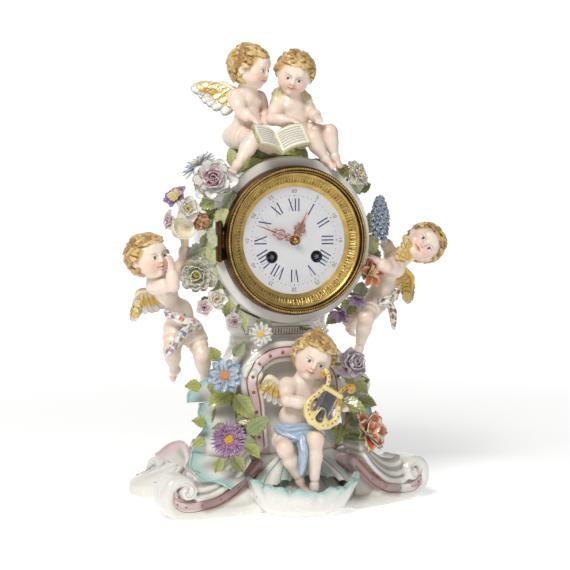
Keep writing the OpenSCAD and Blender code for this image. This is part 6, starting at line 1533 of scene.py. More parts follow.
def plinth():
    """The mound on four scroll feet, with the shell's ribs, gold lines and two flanges."""
    clay = Clay((-143, -60, -2), (143, 90, 56), 1.15)
    clay.put(mound_shape(), 1.0)
    places = [((-91.8, -53), -6, 1.0, -1), ((102.5, -39.5), -20, 1.0, 1),
              ((-94, 56), 72, 0.84, -1), ((96.9, 59), -72, 0.86, 1)]
    foot_high, foot_deep = 37, 25.65
    feet = [placed_axes((x, y, 0), turned, side) + (foot_high * share, y < 0)
            for (x, y), turned, share, side in places]
    for origin, turn, _, _ in feet[:2]:
        clay.put(slab([(-62, 0), (30, 0), (30, 44), (-62, 44)], origin, turn, -24, 3, 0.5), 0.6,
                 cut=True)
    for origin, turn, high, front in feet:
        put_scroll(clay, origin, turn, high, foot_deep, front)
    # The shell's ribs fan out from under the seat into the basin
    fan = []
    for k in range(-5, 6):
        a = math.radians(17 * k)
        line = smooth_line([(3 + 7 * math.sin(a), -32, 50), (3 + 20 * math.sin(a), -42, 42),
                            (3.6 + 34 * math.sin(a), -42 - 14 * math.cos(a), 29),
                            (3.6 + 40 * math.sin(a), -42 - 26 * math.cos(a), 19)], 12)
        fan.append(line)
        for i in range(12):
            clay.put(limb(line[i], line[i + 1], 2.4 + 0.3 * i, 2.7 + 0.3 * i), 1.0,
                     GROUND if k % 2 else mix(GROUND, TURQUOISE, 0.8))
    clay.put((lambda p: p[..., 2], v3(-150, -100, -3), v3(150, 100, 3)), 0.6, cut=True)
    v, q, c = clay.skin(GROUND, soft=0.7, relax=2, fold_shade=0.75)
    v[:, 2] = np.maximum(v[:, 2], 0)
    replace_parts(piece("scroll_plinth", v, q, "case", PORCELAIN, c), "plinth")
    heap = Heap()
    for origin, turn, high, front in feet:
        gild_scroll(heap, clay, origin, turn, high, front)
    for a, b in zip(fan[::2], fan[2::2]):
        draw(heap, clay, smooth_line(mix(a, b, 0.25)[2:], 40), (0, 0.8, -0.6), 0.35, BRONZE, 0.1)
    # The ruffled flange under the left flowers, and the pink curl behind it
    ruffle(heap, [(-50, -30, 47), (-49, -34, 42), (-47, -40, 38), (-45, -42, 34), (-42, -42, 32)],
           [(-89, -36, 52), (-90.5, -40, 42), (-84, -44, 32), (-71, -47, 30), (-60, -50, 24)],
           2.2, 1.6, TURQUOISE)
    ruffle(heap, [(-76, 0, 30), (-80, -2, 36), (-84, -6, 38), (-86, -10, 34)],
           [(-108, 8, 44), (-97, 0, 54), (-88, -8, 56), (-83, -12, 46)], 1.4, 1.4, PINK)
    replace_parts(heap.make("plinth_gilding_and_flanges", "case", PORCELAIN, "porcelain"), "plinth")


def clear_of_drum(v, radius, front, back):
    """Moves points between two depths, where they lie too near the drum's axis, out from it."""
    r = np.hypot(v[:, 0], v[:, 2] - DIAL_HIGH)
    inside = (r < radius) & (v[:, 1] > front) & (v[:, 1] < back)
    k = np.where(inside, radius / np.maximum(r, 1), 1)
    v[:, 0] *= k
    v[:, 2] = DIAL_HIGH + (v[:, 2] - DIAL_HIGH) * k


def pedestal():
    """The waisted pedestal: shoulders, volutes, arch, mouldings, gold lines and flanges."""
    clay = Clay((-96, -50, 45), (76, 60, 176), 1.05)

    def body(p):
        x, y = p[..., 0], p[..., 1] - OVAL_BACK
        z = (p[..., 2] - MOUND) / NECK
        share = np.interp(z, [0, 0.14, 0.34, 0.5, 0.62, 0.76, 0.84, 0.9, 0.93, 1.2],
                          [0, 0.35, 0.75, 0.6, 0.6, 0.9, 1.15, 1.2, 0.95, 0.75])
        wide = FOOT_WIDE + (WAIST - FOOT_WIDE) * share
        square = 2.3
        r = (np.abs(x / wide) ** square + np.abs(y / (wide * OVAL)) ** square) ** (1 / square)
        side = (r - 1) * wide * 0.7
        return np.maximum(side, np.abs(p[..., 2] - 110.5) - 64.5)
    clay.put((body, v3(-62, -30, 45), v3(62, 58, 176)), 1.0)
    shoulders = [((0.62, -0.12, 0.5), 0.22, (0.4, 0.05, 0.35), 0.28),
                 ((0.62, -0.12, 0.5), 0.22, (0.36, -0.08, 0.8), 0.14),
                 ((0.58, -0.12, 0.14), 0.2, (0.5, -0.1, 0.42), 0.22)]
    for s in (-1, 1):
        for a, ra, b, rb in shoulders:
            clay.put(limb(on_base((s * a[0], a[1], a[2])), on_base((s * b[0], b[1], b[2])),
                          WAIST * ra * 0.95, WAIST * rb * 0.95), 5.0)
        eye = on_base((s * 0.6, -0.16, 0.5))
        spiral = [eye + v3(s * 7.5 * f * math.cos(w), -4.5 + 1.2 * f, 7.5 * f * math.sin(w))
                  for f, w in zip(np.linspace(1.15, 0.15, 26), np.linspace(-1.6, 8.4, 26))]
        for k, (a, b) in enumerate(zip(spiral, spiral[1:])):
            clay.put(limb(a, b, 2.3 - 0.04 * k, 2.3 - 0.04 * k), 0.8)
        clay.stain(limb(on_base((s * 0.56, -0.2, 0.2)), on_base((s * 0.5, -0.16, 0.42)), 6, 5),
                   PINK, 2.5, 0.6)
    # The moulded arch behind the lyre player: a white rim, then a pink band edged in gold
    arch = [(-0.3, -0.34, 0.08), (-0.32, -0.3, 0.4), (-0.34, -0.27, 0.62), (-0.22, -0.27, 0.76),
            (-0.05, -0.28, 0.8), (0.14, -0.27, 0.76), (0.3, -0.27, 0.6), (0.32, -0.3, 0.4)]
    line = smooth_line([on_base(p) for p in arch], 60)
    clay.trace(line, 5.6, 2.0, PINK)
    edges = []
    for shift in (6.2, -6.2):
        out = np.cross(tangents(line), v3(0, 1, 0))
        rim = line + out * shift + v3(0, -1.2, 0)
        clay.trace(rim, 2.3, 1.0, GROUND)
        edges.append(line + out * shift * 0.64)
    c = v3(-34, -34, 113)
    for w, r in zip(np.linspace(0, 7.6, 22), np.linspace(8, 1.2, 22)):
        p0 = c + v3(-r * math.cos(w), 0, r * math.sin(w))
        w1, r1 = w + 0.36, r - 0.32
        p1 = c + v3(-r1 * math.cos(w1), 0, r1 * math.sin(w1))
        clay.put(limb(p0, p1, 2.4, 2.3), 0.9, GROUND)
    for k in range(7):
        z = 50 + 16 * k
        for s in (-1, 1):
            a, b = v3(s * (66 - 2.4 * k), -14, z + 6), v3(s * (30 - 1.5 * k), -28, z - 4)
            clay.put(limb(a, b, 1.6, 1.0), 1.5, cut=True)
    # Mouldings of the neck
    for z, r in ((133, 1.8), (137.5, 2.6), (142, 1.6)):
        wide = np.interp((z - MOUND) / NECK, [0.76, 0.84, 0.9, 0.93], [42.9, 38.2, 37.2, 42])
        ring_line = [v3(wide * math.cos(w), OVAL_BACK + wide * OVAL * math.sin(w), z)
                     for w in np.linspace(0, 2 * math.pi, 73)]
        clay.trace(ring_line, r, 0.8, GROUND)
    v, q, c = clay.skin(GROUND, soft=0.7, relax=2, fold_shade=0.8)
    clear_of_drum(v, 69.6, -31, 60)
    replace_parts(piece("scrolled_pedestal", v, q, "case", PORCELAIN, c), "pedestal")
    heap = Heap()
    for edge in edges:
        draw(heap, clay, smooth_line(edge, 160), (0, 1, 0), 0.62, BRONZE)
    for p in land(clay, line[2:58:5], (0, 1, 0)):
        v, q = ball_mesh(p, 1.5, 0.5)
        heap.add(v, q, BRONZE)
    # A frieze of gilt dashes under the drum, between two lines
    for x in np.arange(-36, 37, 2.4):
        dash = land(clay, [v3(x, -16, 144.5), v3(x, -16, 148.5)], (0, 1, 0))
        if len(dash) == 2:
            add_pipe(heap, dash, 0.5, rgb(120, 92, 50), 6)
    for z in (143.4, 149.6):
        row_line = [v3(x, -16, z) for x in np.linspace(-38, 38, 60)]
        draw(heap, clay, np.array(row_line), (0, 1, 0), 0.4, rgb(150, 112, 60))
    # Two flanges up the left side, the upper one curled, and a smaller one on the right
    ruffle(heap, [(-40, -14, 116), (-44, -20, 108), (-47, -24, 98), (-49, -27, 92)],
           [(-58, -16, 112), (-73, -18, 108), (-86, -21, 100), (-88, -23, 91)],
           0.7, 1.0, TURQUOISE)
    ruffle(heap, [(-48, -25, 95), (-50, -29, 84), (-50, -32, 72), (-50, -34, 60), (-50, -36, 48)],
           [(-79, -25, 90), (-80, -28, 82), (-77, -30, 70), (-84, -33, 62), (-89, -36, 50)],
           2.6, 1.5, TURQUOISE)
    ruffle(heap, [(46, -14, 104), (46, -20, 84), (46, -26, 62)],
           [(66, -16, 102), (70, -22, 82), (74, -28, 60)], 2.0, 1.6, TURQUOISE)
    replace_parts(heap.make("pedestal_gilding_and_flanges", "case", PORCELAIN, "porcelain"),
                "pedestal")


def shell():
    """The shell basin: ribbed inside, smooth outside, with a ruffled turquoise rim."""
    n, ribs = 216, 12
    cx, cy, R, H = 3.6, -39.2, 45.0, 34.0
    a = full_turn(n)[None, :]
    rise = np.abs(np.sin(a * ribs / 2))

    def rings(shares, inset):
        out = []
        for sr, sz, deep in shares:
            w = 0.06 * sz
            r = R * sr * (1 + w * rise * (1 + 0.4 * deep)) - inset
            r = r + deep * (0.9 * np.sin(a * 29 + 1) + 0.7 * np.sin(a * 17))
            z = H * sz * (1 - 2 * w * (1 - rise)) * (1 + 0.22 * np.sin(a))
            z = z + deep * 0.9 * np.sin(a * 23 + 2)
            out.append(np.stack([r * np.cos(a) + cx, r * np.sin(a) + cy, z + 0 * a], -1)[0])
        return out
    outer = smooth_line([(0.6, 0, 0), (0.72, 0.07, 0), (0.84, 0.2, 0), (0.92, 0.4, 0),
                         (0.96, 0.55, 0.1), (1.0, 0.8, 0.5), (1.03, 0.97, 1)], 26)
    inner = smooth_line([(1.0, 1.0, 1), (0.965, 0.96, 0.8), (0.93, 0.85, 0.3), (0.84, 0.62, 0),
                         (0.6, 0.47, 0), (0.3, 0.42, 0)], 26)
    rows_out, rows_in = rings(outer, 0), rings(inner, 2.2)
    lip = [mix(rows_out[-1], rows_in[0], 0.5) + v3(0, 0, 0.9)]
    centre = [np.tile(v3(cx, cy, H * 0.42), (n, 1))]
    foot = [np.tile(v3(cx, cy, 0), (n, 1))]
    grid = np.stack(foot + rows_out + lip + rows_in + centre)
    m = len(grid)
    colour = np.tile(GROUND, (m, n, 1))
    s = np.r_[0, np.linspace(0, 1, 27), 1, np.linspace(1, 0, 27), 0]
    inside = np.arange(m) > 28
    rim = np.clip((s - 0.74) / 0.16, 0, 1)[:, None, None]
    patch = (0.75 + 0.25 * np.sin(a * 5 + 1) * np.sin(a * 11))[..., None]
    colour = mix(colour, TURQUOISE, rim * patch)
    colour = mix(colour, TURQUOISE_DEEP, (np.clip((s - 0.93) / 0.07, 0, 1)[:, None, None]) * 0.5)
    # Painted shade: the grooves between the ribs inside the basin are painted darker grey
    groove_shade = (1 - rise) ** 3
    deep = inside[:, None, None] * groove_shade[..., None]
    colour = mix(colour, SHADE_GREY * 0.8, deep * 0.65)
    colour = mix(colour, TURQUOISE, inside[:, None, None] * (rise[..., None] ** 2)
                 * (np.sin(a * 3)[..., None] > 0) * 0.5)
    for k in range(ribs):
        mid = (k + 0.5) * 2 * math.pi / ribs
        near = np.exp(-((a - mid) * R / 0.7) ** 2)[..., None]
        length = inside[:, None, None] * (s[:, None, None] > 0.25) * (s[:, None, None] < 0.9)
        colour = mix(colour, GOLD_PAINT, near * length * (0.75 if k % 2 else 0.2))
    f = grid_faces(m, n, wrap_v=True)
    obj = piece("shell_dish", grid.reshape(-1, 3), f, "case", PORCELAIN,
                colour.reshape(-1, 3))
    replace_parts(obj, "shell_basin")


plinth()
pedestal()
shell()

# Wings, cloth, the music book, the lyre, the cup and the leaves round the drum

def feather(length, width, tone, edge, seed):
    """A bent feather with its quill and barbs, as places and their colours."""
    fine, bend = (12, 7), 0.12
    grid = petal(length, width, (0.4, 0.85, 1.0, 1.0, 0.95, 0.7), 0.0, bend, 0.25, 0.0, 3, 0.5, 0,
                 fine)
    nu, nv = fine
    s = np.linspace(0, 1, nu)[:, None, None]
    t = np.linspace(-1, 1, nv)[None, :, None]
    barb = 0.93 + 0.07 * np.cos(18 * s + 5 * np.abs(t) + seed)
    c = mix(tone, edge, np.clip(s * 1.3 - 0.2, 0, 1) + 0 * t) * barb
    c = c * (1 - 0.3 * np.exp(-(t / 0.12) ** 2) * (1 - s))
    grid[..., 2] += 0.25 * np.exp(-(np.linspace(-1, 1, nv)[None, :] / 0.2) ** 2)
    return grid, c.reshape(-1, 3)


def wing(heap, seat, places, across, seed, tones):
    """Three rows of feathers fanned from a leading edge, and an arm that carries them."""
    local = np.random.default_rng(seed)
    line = smooth_line([seat + TORSO * np.array(p, float) for p in places], 24)
    span = np.linalg.norm(np.diff(line, axis=0), axis=1).sum()
    lead = unit(across)
    along = unit(line[-1] - line[0])
    lead = unit(lead - along * lead.dot(along))
    face = np.cross(along, lead)
    wide = 0.25 * TORSO
    girth = spread(25, [0, 0.4, 1], [0.11, 0.13, 0.05]) * TORSO
    ahead = spread(25, [0, 0.45, 1], [0.2, 0.75, 0.1])[:, None]
    edge = line + lead * ahead * wide * 0.75
    add_pipe(heap, edge, girth * 0.62, tones[0], 12, 0.7, face)
    for layer, (count, reach, broad) in enumerate(
            ((8, 0.62, 0.27), (7, 0.42, 0.25), (8, 0.24, 0.2))):
        for k in range(count):
            t = (k + 0.5) / count
            root = edge[int(t * 22)] - lead * wide * (0.15 + 0.12 * (2 - layer))
            fan = mix(1.25, 0.18, t ** 0.8) + local.uniform(-0.06, 0.06)
            d = unit(along * math.cos(fan) - lead * math.sin(fan))
            length = span * reach * (0.72 + 0.35 * math.sin(math.pi * min(t + 0.2, 1)))
            grid, c = feather(length, span * broad, tones[layer] if layer < 2 else tones[0],
                              tones[2] if layer == 0 else tones[1], seed + k)
            for flip in (1, -1):
                z = face * flip
                y = np.cross(z, d)
                turn = np.stack([d, y, z], 1)
                lift = z * (0.5 + 0.55 * layer + 0.12 * (k % 2))
                v, f = thick(grid @ turn.T + root + lift, 0.5)
                heap.add(v, f, np.vstack([c, c]))


# Colours of the near feathers, the middle row's tips and the long feathers' tips
WHITE_TIP = (rgb(250, 238, 204), rgb(238, 200, 96), WHITE)
GOLD_TIP = (rgb(232, 186, 84), rgb(238, 206, 120), rgb(246, 226, 168))
# Each wing's leading edge in torso lengths and the way its feathers point from it
wings = {
    "putto_reader": ([([(0.04, 0.06, 1), (-0.4, 0.4, 1.15), (-0.75, 0.6, 1.25)], (0, 0.3, 1))],
                     WHITE_TIP),
    "putto_left": ([([(-0.7, 0.1, 0.95), (-0.95, 0.3, 0.8), (-1.12, 0.4, 0.38)],
                     (-0.8, -0.1, 0.5))], WHITE_TIP),
    "putto_right": ([([(0.72, -0.05, 0.9), (0.98, 0.2, 0.6), (1.12, 0.4, 0.1)], (0.3, -1, 0.3)),
                     ([(0.62, -0.5, 1.1), (0.62, -0.6, 1.35), (0.6, -0.62, 1.6)], (1, 0, 0))],
                    GOLD_TIP),
    "putto_lyre": ([([(-0.1, 0.25, 1.1), (-0.4, 0.32, 1.2), (-0.65, 0.4, 0.9)], (0, -0.2, 1))],
                   WHITE_TIP)}
for k, (name, (pairs, tones)) in enumerate(wings.items()):
    heap = Heap()
    for i, (places, across) in enumerate(pairs):
        wing(heap, putti[name]["seat"], places, across, 60 + 9 * k + i, tones)
    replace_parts(heap.make(name + "_wings", "case", BLOOM, "yellow_glaze"), name)


def cloth(node, name, seat, bands, tone, seed, sprigs=()):
    """Draped porcelain: flattened rolls with folds along them."""
    local = np.random.default_rng(seed)
    places = np.array([seat + TORSO * np.array(p, float) for b in bands for p in b[0]])
    clay = Clay(places.min(0) - 14, places.max(0) + 14, 0.6)
    lines = []
    for pts, girths, flat, across in bands:
        line = smooth_line([seat + TORSO * np.array(p, float) for p in pts], 18)
        girth = spread(19, np.linspace(0, 1, len(girths)), girths) * TORSO
        t = tangents(line)
        u = unit(across) - t * (t @ unit(across))[:, None]
        u /= np.linalg.norm(u, axis=1, keepdims=True)
        w = np.cross(t, u)
        # The cloth is thin along u, which is nearly across, and broad along w
        for k in range(18):
            clay.put(limb(line[k], line[k + 1], girth[k] * 0.8, girth[k + 1] * 0.8,
                          max(flat, 0.35), u[k]), 1.5, tone)
        for j in range(9):
            a0 = 2 * math.pi * (j + local.uniform(-0.2, 0.2)) / 9
            drift = local.uniform(-0.5, 0.5)
            ridge = []
            for k in range(19):
                a = a0 + drift * k / 18 + 0.18 * math.sin(k * 0.6 + j)
                r = girth[k] * (0.92 + 0.08 * math.sin(k * 0.8 + 2 * j))
                ridge.append(line[k] + r * (math.cos(a) * w[k]
                                            + max(flat, 0.35) * math.sin(a) * u[k]))
            clay.trace(ridge, 0.14 * girth + 0.3, 0.5, tone)
            lines.append(np.array(ridge))
    for ridge in lines:
        for k in range(0, 18, 3):
            if sprigs:
                p = ridge[k] + local.normal(size=3) * 1.2
                c = sprigs[local.integers(len(sprigs))]
                clay.stain(ball(p + local.normal(size=3) * 1.8, 1.2), LEAF, 0.7, 0.8)
                clay.stain(ball(p, local.uniform(1.1, 2.2)), c, 0.7, 0.9)
                clay.stain(ball(p + [0, -1.2, 0], 0.6), BUTTER, 0.5, 0.9)
    v, q, c = clay.skin(tone, soft=0.5, relax=1, fold_shade=1.0)
    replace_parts(piece(name, v, q, "case", PORCELAIN, c), node)


drape = [([(-0.42, -0.3, 0.25), (-0.25, -0.5, 0.12), (0.05, -0.62, 0.1), (0.4, -0.6, 0.05),
           (0.62, -0.45, -0.1)], [0.12, 0.24, 0.28, 0.26, 0.12], 0.8, (0, 0, 1)),
         ([(0, -0.8, 0.05), (-0.02, -1, -0.35), (-0.06, -0.95, -0.8)], [0.15, 0.16, 0.08], 0.5,
          (1, 0, 0))]
cloth("lyre_drapery", "blue_drapery", putti["putto_lyre"]["seat"], drape, rgb(172, 192, 216),
      3)
SPRIGS = (RED, BLUE_DEEP, MAUVE, ORANGE)
cloth("sash_left", "flowered_sash_left", putti["putto_left"]["seat"],
      [([(-0.5, -0.35, 0.45), (-0.2, -0.5, 0.3), (0.1, -0.4, 0.15), (0.2, -0.15, 0)],
        [0.12, 0.2, 0.2, 0.12], 0.6, (0, 0, 1)),
       ([(0.1, -0.4, 0.15), (-0.35, -0.7, -0.2), (-0.6, -0.75, -0.5)], [0.16, 0.22, 0.14], 0.4,
        (1, 0, 0))], WHITE, 4, SPRIGS)
cloth("sash_right", "flowered_sash_right", putti["putto_right"]["seat"],
      [([(0.45, -0.3, 0.3), (0.15, -0.45, 0.1), (-0.2, -0.35, 0)], [0.1, 0.18, 0.14], 0.6,
        (0, 0, 1)),
       ([(0.15, -0.45, 0.1), (0.3, -0.4, -0.2), (0.35, -0.35, -0.6)], [0.14, 0.16, 0.08], 0.4,
        (1, 0, 0))], WHITE, 5, (PLUM, RED, BROWN))
cloth("putto_listener", "yellow_shawl", putti["putto_listener"]["seat"],
      [([(-0.62, -0.34, 0.82), (-0.52, -0.08, 1.0), (-0.2, 0.08, 1.1), (0.14, -0.04, 1.0),
         (0.24, -0.3, 0.8)], [0.09, 0.15, 0.16, 0.15, 0.09], 0.8,
        (0, 0, 1))], rgb(246, 238, 196), 6)


def music_book():
    """Two bent pages of staves on a thin cover."""
    wide, tall = 24, 23
    foot, lean = on_drum((-0.2, -0.66, 1)), (-0.05, 0.74, 0.67)
    heap = Heap()
    nu, nv = 130, 116
    s, h = np.linspace(-0.03, 1, nu)[:, None], np.linspace(0, 1, nv)[None, :]
    bend = smooth_line([(-0.04, 0.01, 0), (0.3, -0.1, 0), (0.68, -0.08, 0), (1, 0.02, 0)], 60)
    curve = np.interp(s, bend[:, 0], bend[:, 1])
    for side in (-1, 1):
        turn = axes(lean, (1, -side * 0.32, side * 0.4))
        ink = np.zeros((nu, nv))
        for stave in range(7):
            for line in range(5):
                z = 0.12 + 0.118 * stave + 0.013 * line
                ink = np.maximum(ink, np.exp(-((h - z) / 0.0042) ** 2) * (s > 0.1) * (s < 0.92)
                                 * 0.75)
            for k in range(11):
                x = 0.14 + 0.071 * k + 0.012 * math.sin(k * 5 + stave)
                tune = 0.5 + 0.5 * math.sin(k * 2.3 + 3 * stave + side)
                z = 0.125 + 0.118 * stave + 0.05 * tune
                dot = np.exp(-(((s - x) / 0.013) ** 2 + ((h - z) / 0.011) ** 2) ** 2)
                stem = np.exp(-((s - x - 0.011) / 0.004) ** 2) * (h > z) * (h < z + 0.045)
                ink = np.maximum(ink, np.maximum(dot, stem * 0.8))
        paper = mix(rgb(246, 242, 226), rgb(226, 218, 150),
                    (np.clip(1 - np.minimum(np.minimum(h, 1 - h), 1.03 - s) / 0.05, 0, 1)
                     * 0.7)[..., None])
        paper = mix(paper, INK, np.clip(ink, 0, 1)[..., None] * 0.85)
        for layer, (lift, grow, tone, t) in enumerate(
                ((-1.5, 0.0, None, 0.35), (-1.0, 0.0, rgb(232, 226, 190), 0.35),
                 (-0.5, 0.004, rgb(236, 230, 200), 0.35), (0.0, 0.0, rgb(232, 226, 190), 0.35),
                 (0.5, 0.004, rgb(236, 230, 200), 0.35), (1.0, 0.012, rgb(196, 188, 96), 0.8))):
            p = np.stack([side * wide * s * (1 + grow) + 0 * h, wide * curve + lift + 0 * h,
                          tall * h * (1 + grow) + 0 * s], -1)
            p[..., 1] += 0.25 * np.sin(9 * h + 3 * s + layer) * (layer < 5)
            c = paper if layer == 0 else np.broadcast_to(tone, paper.shape)
            if layer:
                p, c = p[::3, ::5], c[::3, ::5]
            c = c.reshape(-1, 3)
            v, f = thick(foot + p @ turn.T, t)
            heap.add(v, f, np.vstack([c, c]))
    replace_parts(heap.make("open_music_book", "case", PORCELAIN, "porcelain"), "music_book")


def lyre():
    """A gilt lyre: two horns, a bowl, a crossbar and four strings over a grey board."""
    foot = putti["putto_lyre"]["seat"] + TORSO * v3(0.22, -1.1, 0.35)
    turn = axes((0.6, 0.12, 0.95), (1, -0.1, -0.4))
    tall = 44

    def at(x, y, z):
        return foot + turn @ (tall * v3(x, y, z))
    clay = Clay(foot - 34, foot + v3(42, 34, 58), 0.55)
    horn = [(0.08, 0.05), (0.24, 0.16), (0.3, 0.34), (0.22, 0.55), (0.14, 0.75), (0.2, 0.92),
            (0.3, 0.98)]
    pale = rgb(238, 218, 150)
    for side in (-1, 1):
        line = smooth_line([(side * x, 0, z) for x, z in horn], 26)
        girth = spread(27, np.linspace(0, 1, 7),
                       [0.08, 0.07, 0.052, 0.04, 0.034, 0.036, 0.045]) * tall
        for k in range(26):
            clay.put(limb(at(*line[k]), at(*line[k + 1]), girth[k], girth[k + 1]), 0.8,
                     GOLD_PAINT if side > 0 and k > 12 else pale)
        for w in np.linspace(0, 5.5, 14):
            r = 0.075 * (1 - w / 7)
            clay.put(ball(at(side * 0.28 + side * r * math.sin(w), 0, 0.93 - r * math.cos(w)),
                          1.5), 0.6, GOLD_PAINT)
        for k in range(1, 24, 2):
            clay.stain(ball(at(*line[k]) - turn @ v3(0, girth[k], 0), 0.75), BROWN, 0.5, 0.85)
    for a, b, r in (((0, 0.08), (0.13, 0.14), 0.075), ((0, 0.08), (-0.13, 0.14), 0.075),
                    ((0.13, 0.14), (0, 0.28), 0.065), ((-0.13, 0.14), (0, 0.28), 0.065),
                    ((0, 0.08), (0, 0.28), 0.08)):
        clay.put(limb(at(a[0], 0, a[1]), at(b[0], 0, b[1]), tall * r, tall * r), 2.0, pale)
    clay.put(limb(at(0, -0.085, 0.16), at(0, -0.07, 0.27), 3.0, 2.2), 1.0, cut=True)
    clay.stain(limb(at(0, -0.07, 0.15), at(0, -0.07, 0.28), 3.6, 2.8), rgb(92, 92, 98), 0.8, 0.9)
    clay.put(limb(at(-0.19, 0, 0.7), at(0.19, 0, 0.7), 1.9, 1.9), 0.8, GOLD_PAINT)
    for t in np.linspace(-0.17, 0.17, 8):
        clay.put(ball(at(t, -0.02, 0.7), 2.1), 0.5, pale)
    for k in range(9):
        a = at(0.26 * math.cos(math.pi * (1 + k / 8)), -0.055, 0.2 + 0.2 * math.sin(
            math.pi * (1 + k / 8)) * 0.8)
        clay.stain(ball(a, 0.8), BROWN, 0.5, 0.8)
    v, q, c = clay.skin(pale, soft=0.4, relax=1, fold_shade=0.9)
    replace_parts(piece("gilt_lyre", v, q, "case", PORCELAIN, c), "lyre")
    heap = Heap()
    board = np.stack([at(x, 0.012, z) for x in np.linspace(-0.16, 0.16, 6)
                      for z in np.linspace(0.18, 0.69, 12)]).reshape(6, 12, 3)
    v, f = thick(board, 1.2)
    heap.add(v, f, rgb(128, 128, 132))
    for k in range(4):
        x = (k - 1.5) * 0.055
        add_pipe(heap, [at(x, -0.04, 0.2), at(x, -0.035, 0.45), at(x, -0.03, 0.7)], 0.42,
                 rgb(70, 68, 70), 8)
    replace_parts(heap.make("lyre_strings", "case", BLOOM, "yellow_glaze"), "lyre")


def cup():
    """The small footed cup that holds the left bouquet."""
    at, turn = on_drum((-1.36, -0.58, 0.16)), axes((0.3, -0.9, 0.4))
    line = smooth_line([(0.0, -0.38, 0), (0.12, -0.38, 0), (0.2, -0.32, 0), (0.26, -0.25, 0),
                        (0.33, -0.08, 0), (0.345, 0, 0), (0.375, 0.05, 0), (0.35, 0.065, 0),
                        (0.3, 0.02, 0), (0.26, -0.08, 0), (0.1, -0.14, 0), (0.0, -0.14, 0)], 60)
    size, around = 27, 72
    a = full_turn(around)[None, :]
    r = size * line[:, 0][:, None] + 0 * a
    p = np.stack([r * np.cos(a), r * np.sin(a), size * line[:, 1][:, None] + 0 * a], -1)
    n = len(line)
    s = np.linspace(0, 1, n)[:, None, None]
    level = np.ones((1, around, 1))
    # Painted shade: the cup's inside turns darker and yellower towards its bottom
    c = mix(rgb(244, 238, 220), BUTTER, np.clip(s * 1.6 - 1, 0, 0.5) * level)
    c = mix(c, GOLD_PAINT, 0.6 * np.exp(-((s - 0.6) / 0.02) ** 2) * level)
    obj = piece("oval_cup", at + p.reshape(-1, 3) @ turn.T, grid_faces(n, around, wrap_v=True),
                "case", PORCELAIN, c.reshape(-1, 3))
    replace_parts(obj, "flower_cup")


def drum_foliage():
    """Leaves round the drum, and the moss under the two readers."""
    heap = Heap()
    shades = [(LEAF_LIGHT, LEAF_DARK), (rgb(216, 218, 130), LEAF), (LEAF_LIGHT, LEAF)]
    for k, deg in enumerate((-126, -108, -92, -76, -28, 26, 64, 88, 112)):
        a = math.radians(deg)
        turned = np.array([[math.cos(a), math.sin(a), 0], [-math.sin(a), math.cos(a), 0],
                           [0, 0, 1]])

        def world(p):
            q = turned @ np.array(p, float)
            return v3(q[0], -q[2], q[1])
        light, dark = shades[k % 3]
        leaf_sheet(heap, DIAL + world((-8.8, 69.4, 12.4)), world((1, 0.1, 0.7)),
                   world((0, 1, 0.4)), 22, 90 + k, light, dark)
    pale, tip, deep = rgb(206, 212, 178), rgb(222, 226, 140), rgb(112, 122, 84)
    extra = [(-50, -33, 262, -0.5, -0.9, 1.0), (-58, -33, 250, -0.3, -1, 1.1),
             (-66, -30, 256, -1, -0.5, 0.9), (-63, -31, 236, -0.35, -1, 1.2),
             (-70, -29, 240, -1, -0.4, 1.0), (-66, -30, 222, -0.2, -1, 1.2),
             (-73, -26, 218, -0.9, -0.5, 1.0), (-66, -28, 205, -0.3, -1, 1.0),
             (-62, -28, 186, -0.3, -1, 1.0), (-66, -24, 176, -0.8, -0.6, 0.9),
             (-54, -28, 176, -0.2, -1, 0.9), (-44, -26, 164, 0.3, -1, 0.9),
             (-30, -26, 156, 0.9, -0.3, 0.9), (-20, -26, 152, -0.8, -0.6, 0.8),
             (40, -27, 284, 0.7, -0.7, 0.9), (52, -27, 272, 0.6, -0.9, 0.9),
             (71, -22, 244, 0.1, -1, 1.0), (73, -21, 226, 0.0, -1, 1.1),
             (74, -18, 214, 0.5, -0.9, 0.9), (71, -20, 204, -0.2, -1, 1.0),
             (78, -14, 236, 0.9, -0.4, 0.9), (66, -20, 186, -0.3, -0.9, 1.0),
             (58, -20, 172, -0.6, -0.8, 1.1), (46, -22, 160, -0.9, -0.5, 0.9),
             (-66, -24, 268, -0.8, 0.6, 1.0), (-46, -20, 282, -0.3, 1, 0.9),
             (60, -22, 262, 0.9, 0.5, 0.8)]
    local = np.random.default_rng(77)
    for k, (x, y, z, ax, az, size) in enumerate(extra):
        # Leaves right of the middle are painted darker: painted shade on the side away from the key
        # lamp
        shade = 1.0 if x < 0 else 0.72
        leaf_sheet(heap, (x, y, z), (ax, -0.15, az), (0.35 * local.normal() - 0.1, -1, 0.25),
                   17 * size, 200 + k, (tip if k % 3 else pale) * shade,
                   (pale if k % 2 else deep) * shade * 0.8, 6, 0.85)
    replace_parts(heap.make("drum_foliage", "case", GREEN, "leaf_green"), "drum_leaves")
    a, b = on_drum((-0.46, 0.06, 0.98)), on_drum((0.18, 0.06, 0.98))
    clay = Clay(a - 18, b + 18, 0.8)
    clay.put(limb(a, b, 13, 13), 1.0)
    local = np.random.default_rng(8)
    for k in range(150):
        t = local.uniform(-0.2, 1.2)
        d = unit(local.normal(size=3) * [0.5, 1, 1] + [0, -0.5, 0.3])
        p = mix(a, b, np.clip(t, 0, 1)) + d * 12.4
        tone = mix(LEAF_LIGHT, LEAF, local.random()) if local.random() < 0.7 else LEAF_DARK
        clay.put(ball(p, local.uniform(1.0, 1.9)), 0.6, tone)
    v, q, c = clay.skin(LEAF, soft=0.4, relax=1, fold_shade=0.9)
    clear_of_drum(v, 69.9, -30, math.inf)
    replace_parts(piece("mossy_seat", v, q, "case", GREEN, c), "drum_leaves")


music_book()
lyre()
cup()
drum_foliage()

# The dial's painting, the hands and the bezel's tooling

# How far in front of the drum's middle the enamel and the two hands lie
FACE_AT, HAND_AT = 35.0, {"hour_hand": 36.6, "minute_hand": 39.0}
